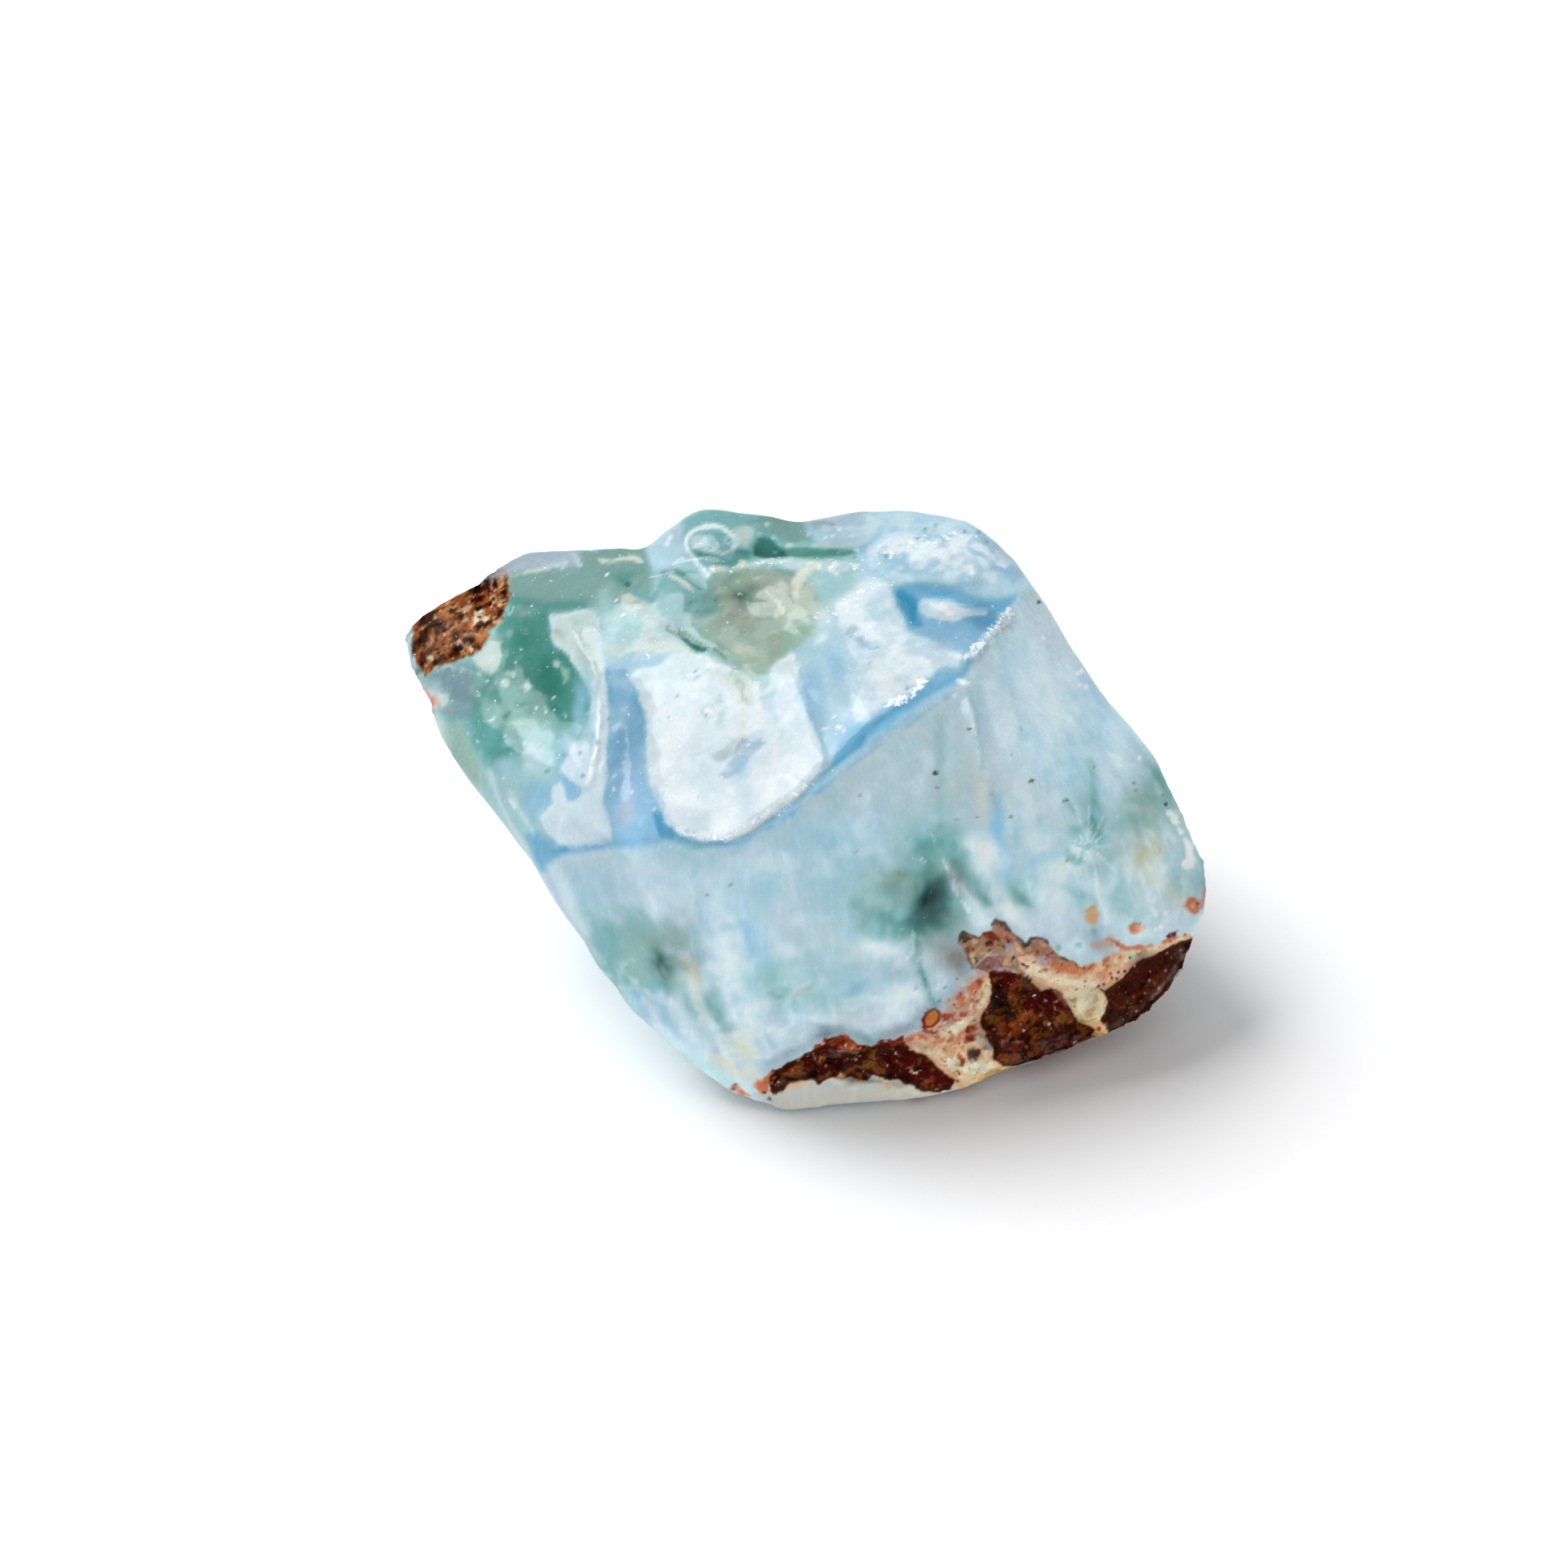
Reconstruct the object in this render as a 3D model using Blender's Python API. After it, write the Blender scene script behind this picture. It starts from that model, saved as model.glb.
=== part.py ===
"""A loose piece of rough larimar, about 50 mm long, with brown host rock left on it.

The stone is one solid. Its corners are laid out as a viewer sees it who stands in
front of it (towards -Y) and looks down at it: u runs to the right, v up and w
towards the viewer, all in millimetres. The hull of those corners gives the
fracture faces. Hollows, ledges, ridges and grooves are then pressed into the
faces along the viewer's line of sight, and chips into the sides that face away.
"""

import math

import bmesh
import bpy
import numpy as np
from mathutils import Vector, noise

MM = 0.001

# How the viewer stands, which fixes what u, v and w mean.
LOOK_DOWN = math.radians(40)
EYE_DISTANCE = 270.0
HEIGHT_OF_MIDDLE = 12.0

# Fineness of the faceted solid.
FIRST_CELL = 0.6
LAST_CELL = 0.62
SMOOTHING_ROUNDS = 5
MOST_TRIANGLES = 9400

# How much is taken off the lowest point, so that it rests on a flat spot.
RESTING_CUT = 0.35

# The stone's own colour where it is neither white nor green.
PALE_BLUE = (0.46, 0.61, 0.68, 1.0)

# Corners on the outline, clockwise from the left end.
OUTLINE_CORNERS = {
    "left end upper": (-25.0, 11.2, -1.5),
    "left end lower": (-24.6, 9.0, -0.5),
    "rock patch top": (-22.4, 13.6, -2.5),
    "left shoulder": (-18.0, 16.0, -1.0),
    "back rim left": (-12.5, 16.8, 0.5),
    "lump top": (-6.2, 18.6, 2.0),
    "rim middle": (-2.8, 18.6, 2.5),
    "rim right": (5.6, 18.6, 2.5),
    "rim shoulder": (9.6, 18.0, 2.5),
    "right shoulder": (12.6, 15.6, 3.0),
    "crease right end": (14.2, 12.9, 3.5),
    "right edge upper": (16.8, 8.5, 2.5),
    "right edge middle": (19.2, 5.4, 2.0),
    "right edge lower": (22.4, 1.1, 1.5),
    "right end upper": (24.2, -2.6, 1.5),
    "right end": (24.7, -5.0, 1.5),
    "right end lower": (23.6, -8.4, 1.5),
    "rock lobe": (22.4, -10.8, 0.5),
    "rock lobe foot": (20.0, -12.9, 0.5),
    "rock underside": (14.6, -15.1, 2.2),
    "foot right": (9.4, -17.2, 3.3),
    "foot middle": (3.0, -18.1, 3.3),
    "foot left": (-1.6, -18.4, 3.5),
    "foot left end": (-4.8, -17.1, 3.4),
    "lower left edge": (-9.2, -14.0, 4.2),
    "left edge low": (-13.1, -9.9, 5.0),
    "left edge middle": (-15.4, -6.2, 6.5),
    "crease left end": (-17.4, -2.6, 6.8),
    "left edge upper": (-22.0, 4.2, 3.0),
}

# Corners on the side that the viewer sees.
FRONT_CORNERS = {
    "crease left": (-13.0, -2.4, 11.5),
    "crease low point": (-5.2, -2.2, 15.7),
    "crease middle": (-0.4, 1.1, 16.0),
    "crease rise": (4.6, 5.5, 14.7),
    "crease bend": (9.7, 8.5, 12.2),
    "crease top": (12.4, 12.6, 6.8),
    "front edge": (10.7, 0.2, 11.6),
    "front middle": (3.0, -7.5, 11.4),
    "front low left": (-6.0, -10.0, 10.4),
    "front low right": (9.0, -9.5, 8.4),
    "right face middle": (17.0, -1.0, 8.4),
    "right face low": (19.0, -8.0, 5.6),
    "rock face": (12.0, -14.0, 4.8),
    "left face": (-19.0, 4.0, 7.0),
    "top left": (-15.0, 11.0, 6.0),
    "top middle": (-5.0, 10.5, 9.6),
    "top right": (5.0, 12.5, 8.4),
}

# Corners on the sides that face away, as x, y, z.
BACK_CORNERS = {
    "back left": (-20.5, 13.5, 14.0),
    "back middle left": (-9.0, 18.6, 14.5),
    "back middle right": (4.5, 19.6, 15.0),
    "back right": (13.5, 14.5, 14.0),
    "back top left": (-13.0, 14.5, 20.0),
    "back top right": (5.0, 15.0, 22.6),
    "back low": (-2.0, 15.0, 5.5),
    "right back low": (18.5, 5.0, 7.0),
    "left back low": (-16.5, 7.5, 7.0),
    "left low": (-12.0, -3.0, 3.0),
    "under left": (-8.0, 0.5, 0.0),
    "under left front": (-4.5, -9.5, 0.0),
    "under front": (2.0, -12.6, 0.0),
    "under right front": (8.5, -10.4, 0.0),
    "under right": (10.5, -2.0, 0.0),
    "under right back": (13.0, 4.0, 2.2),
    "under back": (2.0, 7.5, 0.0),
}

# The outline that the viewer sees, clockwise from the left end.
OUTLINE = [
    (-25.2, 10.0), (-25.0, 11.3), (-24.3, 12.2), (-22.5, 13.2), (-21.0, 14.0),
    (-19.0, 15.4), (-17.0, 16.2), (-13.8, 16.15), (-12.3, 16.4), (-10.3, 16.05),
    (-9.5, 17.0), (-8.2, 17.9), (-7.0, 18.65), (-6.0, 18.8), (-4.6, 18.45),
    (-2.6, 18.3), (-1.0, 17.8), (1.0, 18.2), (3.0, 18.55), (5.7, 18.65),
    (8.3, 18.3), (10.0, 17.7), (11.3, 16.7), (12.5, 15.4), (14.0, 13.6),
    (15.0, 11.3), (16.5, 8.75), (18.3, 6.5), (21.5, 2.0), (22.8, 0.0),
    (24.4, -3.8), (24.4, -5.3), (23.4, -8.0), (23.0, -9.5), (22.0, -11.0),
    (20.5, -12.3), (18.5, -13.3), (14.5, -15.0), (12.5, -15.5), (10.5, -16.4),
    (9.3, -17.3), (5.0, -17.8), (0.0, -18.3), (-1.3, -18.4), (-3.0, -17.9),
    (-5.0, -17.0), (-9.0, -14.0), (-10.5, -12.5), (-13.0, -9.8), (-14.3, -7.5),
    (-15.5, -5.3), (-16.6, -3.5), (-18.0, -1.5), (-21.5, 3.5), (-22.5, 5.0),
    (-23.5, 7.5), (-24.5, 9.0),
]

# Slabs that stand proud of the faces, or beds sunk into them:
# height, width of the edge, outline.
SLABS = {
    "white slab": (0.8, 0.7, [
        (-11.0, 8.3), (-9.0, 9.1), (-8.2, 9.8), (-6.3, 9.6), (-5.0, 9.0), (-2.8, 8.7),
        (-1.2, 9.8), (-0.6, 7.8), (0.7, 3.1), (-2.0, 0.1), (-4.0, -1.2), (-5.5, -1.8),
        (-7.0, -1.7), (-8.0, -1.2), (-9.0, -0.4), (-9.7, 1.5), (-10.0, 4.0), (-10.3, 7.0)]),
    "second slab": (0.6, 0.7, [
        (1.6, 12.8), (3.0, 13.6), (4.5, 14.4), (5.4, 13.0), (5.0, 11.2), (7.0, 10.2),
        (8.5, 9.0), (7.0, 7.9), (5.0, 6.6), (3.0, 5.8), (2.6, 8.5), (2.2, 10.8)]),
    "tongue": (0.5, 0.7, [
        (-16.2, 12.1), (-14.0, 12.5), (-13.1, 11.4), (-12.6, 8.0), (-12.6, 5.0), (-12.7, 2.5),
        (-12.3, -1.9), (-15.0, -1.9), (-16.6, -0.6), (-15.8, 1.0), (-14.2, 2.6), (-13.9, 5.5),
        (-13.8, 7.5), (-14.8, 9.4), (-16.0, 11.0)]),
    "rock patch": (-0.35, 0.7, [
        (-24.4, 11.8), (-21.8, 13.4), (-19.5, 15.0), (-18.5, 13.0), (-19.8, 11.4), (-21.0, 9.6),
        (-23.9, 8.4), (-24.6, 10.0)]),
    "rock bed": (-0.5, 0.8, [
        (-3.5, -16.8), (-1.0, -15.0), (0.8, -14.0), (5.5, -14.2), (8.3, -12.0), (9.8, -10.5),
        (12.0, -9.6), (14.0, -9.8), (16.0, -11.0), (18.0, -10.6), (20.0, -9.0), (23.2, -8.2),
        (22.6, -11.0), (18.5, -13.6), (12.5, -16.0), (9.0, -16.8), (4.0, -16.2)]),
}

# Hollows and lumps: height, half width, half height, tilt in degrees, middle.
HOLLOWS_AND_LUMPS = {
    "green hollow left": (-0.7, 2.4, 3.4, 20, (-16.6, 7.4)),
    "blue trough": (-0.8, 1.2, 5.0, 0, (-11.3, 3.4)),
    "top lump": (0.9, 3.4, 1.7, -8, (-5.9, 16.7)),
    "eye of the lump": (-0.7, 0.8, 0.8, 0, (-3.0, 16.3)),
    "cheek": (0.8, 1.9, 1.5, 20, (-7.8, 13.4)),
    "middle hollow": (-1.7, 2.7, 2.0, -25, (-3.8, 12.0)),
    "hole": (-0.6, 0.8, 0.7, 0, (-4.0, 12.8)),
    "cream lump": (0.5, 1.0, 0.8, 0, (-10.8, 12.9)),
    "scalloped hollow": (-1.9, 3.1, 1.5, 4, (8.4, 12.6)),
    "lens in the hollow": (0.9, 1.7, 0.6, -5, (8.3, 12.7)),
    "recess in the slab": (-0.6, 0.7, 1.6, -55, (-4.6, 3.6)),
    "swirl dent": (-0.35, 0.6, 1.2, 0, (-5.7, 6.4)),
    "front recess": (-1.7, 1.2, 2.6, -12, (7.4, -5.6)),
    "front recess top": (-0.8, 0.9, 1.6, 35, (7.9, -2.6)),
    "green lump": (0.5, 1.8, 1.7, 0, (5.2, -4.8)),
    "small recess": (-0.5, 0.8, 0.9, 0, (9.0, -2.5)),
    "right recess": (-0.5, 1.0, 1.3, 25, (10.8, -4.4)),
    "rock cavity": (-1.5, 2.9, 1.9, -10, (13.2, -12.6)),
    "rock lobe hollow": (-0.7, 2.2, 1.4, 30, (20.4, -10.7)),
    "rock bed hollow": (-0.6, 3.0, 1.0, 0, (3.4, -15.4)),
    "lower left hollow": (-0.5, 2.2, 2.0, 0, (-11.6, -8.2)),
    "star dent": (-0.4, 1.2, 1.2, 0, (17.2, -2.9)),
    "right belly": (0.5, 4.0, 6.0, 25, (15.5, 2.0)),
    "upper right belly": (0.5, 3.4, 1.6, -8, (7.8, 16.2)),
}

# Ridges and grooves: height, half width, line.
RIDGES_AND_GROOVES = {
    "crease groove": (-0.6, 0.5, [
        (-16.7, -3.2), (-13.0, -2.1), (-8.5, -1.9), (-5.8, -2.4), (-4.0, -1.8), (-2.0, -0.1),
        (0.8, 2.2), (3.5, 5.0), (7.0, 7.2), (9.6, 8.4), (11.0, 10.6), (12.7, 13.2)]),
    "crumbly lip": (0.45, 0.5, [(9.3, 9.6), (10.0, 9.7), (11.2, 11.1), (12.2, 12.5)]),
    "tongue ridge": (0.35, 0.4, [(-15.0, 11.8), (-13.7, 9.5), (-13.1, 7.0), (-13.4, 4.2), (-13.9, 1.6)]),
    "cheek groove": (-0.6, 0.5, [(-10.6, 13.9), (-9.0, 14.8), (-8.0, 14.7), (-7.0, 13.9)]),
    "ledge groove": (-0.6, 0.5, [(-8.6, 11.4), (-7.5, 10.7), (-6.5, 10.2), (-5.2, 9.7)]),
    "lump groove": (-0.45, 0.5, [(-8.4, 15.6), (-6.5, 15.6), (-3.5, 15.7), (0.0, 15.8), (2.6, 16.0)]),
    "white crumbs": (0.4, 0.5, [(-5.8, 14.9), (-4.0, 15.1), (-2.0, 15.2), (1.9, 15.1)]),
    "scallop lip": (0.45, 0.6, [(4.9, 13.9), (6.6, 14.4), (9.0, 14.3), (11.4, 13.6)]),
    "slab step": (0.35, 0.4, [(-1.3, 9.8), (-0.5, 7.0), (0.8, 3.3)]),
    "front edge ridge": (0.4, 0.5, [(9.6, 7.4), (10.2, 4.6), (10.8, 2.0), (11.0, 0.0)]),
    "front groove": (-0.3, 0.5, [(8.0, 5.4), (8.0, 2.0), (7.9, -0.6)]),
    "pale ridge": (0.45, 0.6, [(7.5, -1.5), (8.6, -3.4), (9.7, -5.0), (11.0, -6.6)]),
    "crevice": (-0.5, 0.5, [(6.4, -8.0), (6.8, -10.0), (7.2, -11.4)]),
    "rock vein low": (0.5, 0.6, [(9.9, -11.0), (8.4, -13.2), (10.0, -15.8)]),
    "rock vein high": (0.4, 0.6, [(11.0, -7.7), (14.0, -9.3), (16.4, -10.4), (19.0, -9.3), (22.0, -8.0)]),
    "lower left ridge": (0.3, 0.6, [(-7.2, -9.0), (-6.9, -11.5), (-6.0, -13.2), (-3.6, -15.6)]),
}

# Round chips out of the sides that face away: radius, then the middle of the
# ball that would fill the chip, as x, y, z.
CHIPS = {
    "back scoop left": (17.0, (-13.0, 33.0, 16.0)),
    "back scoop right": (14.0, (8.0, 31.0, 15.0)),
    "back top scoop": (12.0, (-4.0, 25.5, 30.0)),
    "back low scoop": (13.0, (-9.0, 24.0, -2.0)),
    "right low scoop": (12.0, (24.0, 11.0, -2.0)),
    "left low scoop": (15.0, (-24.0, -3.0, -3.5)),
    "right back scoop": (13.0, (26.0, 17.0, 18.0)),
}


def seen_point(u, v, w):
    """The place of a point that the viewer sees at u, v, at depth w."""
    near = 1.0 - w / EYE_DISTANCE
    u, v = u * near, v * near
    y = v * math.sin(LOOK_DOWN) - w * math.cos(LOOK_DOWN)
    z = v * math.cos(LOOK_DOWN) + w * math.sin(LOOK_DOWN) + HEIGHT_OF_MIDDLE
    return u, y, z


def as_seen(place):
    """The u, v and w of every point in an array of places."""
    y, z = place[:, 1], place[:, 2] - HEIGHT_OF_MIDDLE
    w = z * math.sin(LOOK_DOWN) - y * math.cos(LOOK_DOWN)
    near = 1.0 - w / EYE_DISTANCE
    return place[:, 0] / near, (y * math.sin(LOOK_DOWN) + z * math.cos(LOOK_DOWN)) / near, w


def eased(value, low, high):
    """Nought below low, one above high, with a soft change between."""
    t = np.clip((value - low) / (high - low), 0.0, 1.0)
    return t * t * (3.0 - 2.0 * t)


def distance_to_line(u, v, line):
    """How far every u, v is from a line of joined stretches."""
    nearest = np.full(u.shape, 1e9)
    for (u0, v0), (u1, v1) in zip(line, line[1:]):
        du, dv = u1 - u0, v1 - v0
        along = np.clip(((u - u0) * du + (v - v0) * dv) / (du * du + dv * dv), 0.0, 1.0)
        nearest = np.minimum(nearest, np.hypot(u - u0 - along * du, v - v0 - along * dv))
    return nearest


def depth_inside(u, v, outline):
    """How far every u, v is inside a closed outline, negative outside it."""
    closed = [*outline, outline[0]]
    inside = np.zeros(u.shape, bool)
    for (u0, v0), (u1, v1) in zip(closed, closed[1:]):
        if v0 != v1:
            crossing = u0 + (v - v0) * (u1 - u0) / (v1 - v0)
            inside ^= ((v0 > v) != (v1 > v)) & (u < crossing)
    return np.where(inside, 1.0, -1.0) * distance_to_line(u, v, closed)


def relief(u, v):
    """How far the surface stands towards the viewer at every u, v."""
    height = np.zeros(u.shape)
    for rise, edge, outline in SLABS.values():
        height += rise * eased(depth_inside(u, v, outline), -0.5 * edge, 0.5 * edge)
    for rise, wide, high, tilt, (u0, v0) in HOLLOWS_AND_LUMPS.values():
        turn = math.radians(tilt)
        across = (u - u0) * math.cos(turn) + (v - v0) * math.sin(turn)
        up = (v - v0) * math.cos(turn) - (u - u0) * math.sin(turn)
        height += rise * np.exp(-((across / wide) ** 2 + (up / high) ** 2))
    for rise, wide, line in RIDGES_AND_GROOVES.values():
        height += rise * np.exp(-((distance_to_line(u, v, line) / wide) ** 2))
    return height


def corner_hull():
    """The closed hull of every corner."""
    form = bmesh.new()
    for corner in (*OUTLINE_CORNERS.values(), *FRONT_CORNERS.values()):
        form.verts.new(seen_point(*corner))
    for corner in BACK_CORNERS.values():
        form.verts.new(corner)
    made = bmesh.ops.convex_hull(form, input=form.verts, use_existing_faces=False)
    spare = {item for key in ("geom_unused", "geom_interior") for item in made[key]
             if isinstance(item, bmesh.types.BMVert)}
    bmesh.ops.delete(form, geom=list(spare), context="VERTS")
    bmesh.ops.recalc_face_normals(form, faces=form.faces)
    mesh = bpy.data.meshes.new("larimar_stone")
    form.to_mesh(mesh)
    form.free()
    return mesh


def after_modifiers(mesh, *steps):
    """The mesh with modifiers worked into it."""
    holder = bpy.data.objects.new("working form", mesh)
    bpy.context.scene.collection.objects.link(holder)
    for kind, settings in steps:
        modifier = holder.modifiers.new(kind.lower(), kind)
        for name, value in settings.items():
            setattr(modifier, name, value)
    bpy.context.view_layer.update()
    ready = holder.evaluated_get(bpy.context.evaluated_depsgraph_get())
    worked = bpy.data.meshes.new_from_object(ready)
    bpy.data.objects.remove(holder)
    return worked


def places_and_normals(mesh):
    """The place and the outward normal of every corner of a mesh."""
    place = np.zeros(len(mesh.vertices) * 3)
    normal = np.zeros(len(mesh.vertices) * 3)
    mesh.vertices.foreach_get("co", place)
    mesh.vertices.foreach_get("normal", normal)
    return place.reshape(-1, 3), normal.reshape(-1, 3)


def fit_outline(place):
    """Draw the rim in or out until the viewer sees the outline above."""
    u, v, w = as_seen(place)
    angle, reach = np.arctan2(v, u), np.hypot(u, v)
    bins = 240
    which = ((angle + math.pi) / (2.0 * math.pi) * bins).astype(int) % bins
    hull_reach = np.zeros(bins)
    np.maximum.at(hull_reach, which, reach)
    middles = (np.arange(bins) + 0.5) / bins * 2.0 * math.pi - math.pi
    corners = np.array(OUTLINE)
    fine = np.concatenate([np.linspace(a, b, 12, endpoint=False)
                           for a, b in zip(corners, np.roll(corners, -1, axis=0))])
    fine_angle, fine_reach = np.arctan2(fine[:, 1], fine[:, 0]), np.hypot(fine[:, 0], fine[:, 1])
    order = np.argsort(fine_angle)
    wanted = np.interp(middles, fine_angle[order], fine_reach[order], period=2.0 * math.pi)
    near_rim = wanted / hull_reach
    # Behind the rim the notches fade out, and the body keeps out of sight.
    behind_rim = sum(np.roll(near_rim, step) for step in range(-9, 10)) / 19.0 * 0.975
    fade = eased(-w, 0.5, 4.0)
    factor = (1.0 - fade) * np.interp(angle, middles, near_rim, period=2.0 * math.pi)
    factor += fade * np.interp(angle, middles, behind_rim, period=2.0 * math.pi)
    outer = eased(reach / np.interp(angle, middles, hull_reach, period=2.0 * math.pi), 0.78, 1.0)
    factor = 1.0 + (factor - 1.0) * outer
    return np.stack(seen_point(u * factor, v * factor, w), axis=1)


def press_relief(place, normal):
    """Press the seen relief in along the line of sight, and wobble every face."""
    u, v, w = as_seen(place)
    eye = np.array(seen_point(0.0, 0.0, EYE_DISTANCE * 0.999))
    sight = eye - place
    sight /= np.linalg.norm(sight, axis=1)[:, None]
    facing = eased((normal * sight).sum(axis=1), 0.05, 0.4)
    place = place + sight * (relief(u, v) * facing)[:, None]
    wobble = np.array([
        0.35 * noise.noise(Vector(p) / 6.0)
        + 0.14 * noise.noise(Vector(p) / 2.2 + Vector((9.0, 0.0, 0.0)))
        for p in place])
    calm = 1.0 - 0.6 * facing
    return place + normal * (wobble * calm)[:, None]


def press_chips(place):
    """Push the surface out of every chip's ball."""
    for radius, middle in CHIPS.values():
        away = place - np.array(middle)
        distance = np.linalg.norm(away, axis=1)
        inside = distance < radius
        place[inside] = np.array(middle) + away[inside] * (radius / distance[inside])[:, None]
    return place


def put_back(mesh, place):
    mesh.vertices.foreach_set("co", place.ravel())
    mesh.update()


def stone_form():
    """The stone's closed mesh in millimetres, resting on z = 0."""
    mesh = after_modifiers(
        corner_hull(),
        ("REMESH", {"mode": "VOXEL", "voxel_size": FIRST_CELL}),
        ("SMOOTH", {"factor": 0.5, "iterations": SMOOTHING_ROUNDS}),
    )
    place, normal = places_and_normals(mesh)
    put_back(mesh, press_chips(place))
    place, normal = places_and_normals(mesh)
    put_back(mesh, fit_outline(press_relief(place, normal)))
    mesh = after_modifiers(
        mesh,
        ("REMESH", {"mode": "VOXEL", "voxel_size": LAST_CELL}),
        ("SMOOTH", {"factor": 0.5, "iterations": 1}),
    )
    place, normal = places_and_normals(mesh)
    print("lowered by", round(float(place[:, 2].min() + RESTING_CUT), 3))
    place[:, 2] = np.maximum(place[:, 2] - place[:, 2].min() - RESTING_CUT, 0.0)
    put_back(mesh, place)
    triangles = sum(len(face.vertices) - 2 for face in mesh.polygons)
    return after_modifiers(mesh, ("DECIMATE", {"ratio": min(1.0, MOST_TRIANGLES / triangles)}))


def make_stone():
    mesh = stone_form()
    place, normal = places_and_normals(mesh)
    place[:, 2] = np.where(place[:, 2] < 0.02, 0.0, place[:, 2])
    middle = (place.max(axis=0) + place.min(axis=0)) / 2.0
    middle[2] = 0.0
    put_back(mesh, (place - middle) * MM)
    mesh.name = "larimar_stone"
    colour = bpy.data.materials.new("larimar")
    colour.use_nodes = True
    surface = colour.node_tree.nodes["Principled BSDF"]
    surface.inputs["Base Color"].default_value = PALE_BLUE
    surface.inputs["Roughness"].default_value = 0.4
    mesh.materials.clear()
    mesh.materials.append(colour)
    stone = bpy.data.objects.new("larimar_stone", mesh)
    bpy.context.scene.collection.objects.link(stone)
    print("middle of the stone before it is centred:", [round(float(m), 3) for m in middle])


def main():
    for old in list(bpy.data.objects):
        bpy.data.objects.remove(old)
    make_stone()


main()
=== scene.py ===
import math

import bmesh
import bpy
import numpy as np
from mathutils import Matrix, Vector, noise


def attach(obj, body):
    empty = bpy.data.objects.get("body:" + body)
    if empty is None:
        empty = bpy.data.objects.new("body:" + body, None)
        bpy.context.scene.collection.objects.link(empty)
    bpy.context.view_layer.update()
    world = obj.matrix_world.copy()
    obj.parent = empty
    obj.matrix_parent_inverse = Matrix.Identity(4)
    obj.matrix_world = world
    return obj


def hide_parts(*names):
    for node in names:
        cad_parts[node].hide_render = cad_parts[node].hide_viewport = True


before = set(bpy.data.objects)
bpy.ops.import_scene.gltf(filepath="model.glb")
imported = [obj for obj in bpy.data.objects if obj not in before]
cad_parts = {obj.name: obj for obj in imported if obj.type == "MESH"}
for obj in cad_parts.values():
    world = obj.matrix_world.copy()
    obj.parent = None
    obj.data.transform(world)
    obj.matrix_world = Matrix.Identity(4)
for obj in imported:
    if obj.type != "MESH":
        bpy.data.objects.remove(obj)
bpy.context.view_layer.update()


# THE STONE'S FORM
# A rough piece of larimar, broken out of the host rock and a little worn.
# Its corners are given as the viewer sees them: u to the right, v up and w
# towards the viewer, in millimetres; the hull of the corners gives the faces.
MM = 0.001
LOOK_DOWN = math.radians(40)
EYE_DISTANCE = 270.0
HEIGHT_OF_MIDDLE = 12.0
MIDDLE_OF_STONE = (-0.336, 2.285, 0.0)
RESTING_CUT = 0.35
FIRST_CELL = 0.43
SMOOTHING_ROUNDS = 7

OUTLINE_CORNERS = {
    "left end upper": (-25.0, 11.2, -1.5),
    "left end lower": (-24.6, 9.0, -0.5),
    "rock patch top": (-22.4, 13.6, -2.5),
    "left shoulder": (-18.0, 16.0, -1.0),
    "back rim left": (-12.5, 16.8, 0.5),
    "lump top": (-6.2, 18.6, 2.0),
    "rim middle": (-2.8, 18.6, 2.5),
    "rim right": (5.6, 18.6, 2.5),
    "rim shoulder": (9.6, 18.0, 2.5),
    "right shoulder": (12.6, 15.6, 3.0),
    "crease right end": (14.2, 12.9, 3.5),
    "right edge upper": (16.8, 8.5, 2.5),
    "right edge middle": (19.2, 5.4, 2.0),
    "right edge lower": (22.4, 1.1, 1.5),
    "right end upper": (24.2, -2.6, 1.5),
    "right end": (24.7, -5.0, 1.5),
    "right end lower": (23.6, -8.4, 1.5),
    "rock lobe": (22.4, -10.8, 0.5),
    "rock lobe foot": (20.0, -12.9, 0.5),
    "rock underside": (14.6, -15.1, 2.2),
    "foot right": (9.4, -17.2, 3.3),
    "foot middle": (3.0, -18.1, 3.3),
    "foot left": (-1.6, -18.4, 3.5),
    "foot left end": (-4.8, -17.1, 3.4),
    "lower left edge": (-9.2, -14.0, 4.2),
    "left edge low": (-13.1, -9.9, 5.0),
    "left edge middle": (-15.4, -6.2, 6.5),
    "crease left end": (-17.4, -2.6, 6.8),
    "left edge upper": (-22.0, 4.2, 3.0),
}
FRONT_CORNERS = {
    "crease left": (-13.0, -2.4, 11.5),
    "crease low point": (-5.2, -2.2, 15.7),
    "crease middle": (-0.4, 1.1, 16.0),
    "crease rise": (4.6, 5.5, 14.7),
    "crease bend": (9.7, 8.5, 12.2),
    "crease top": (12.4, 12.6, 6.8),
    "front edge": (10.7, 0.2, 11.6),
    "front middle": (3.0, -7.5, 11.4),
    "front low left": (-6.0, -10.0, 10.4),
    "front low right": (9.0, -9.5, 8.4),
    "right face middle": (17.0, -1.0, 8.4),
    "right face low": (19.0, -8.0, 5.6),
    "rock face": (12.0, -14.0, 4.8),
    "left face": (-19.0, 4.0, 7.0),
    "top left": (-15.0, 11.0, 6.0),
    "top middle": (-5.0, 10.5, 9.6),
    "top right": (5.0, 12.5, 8.4),
}
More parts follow.
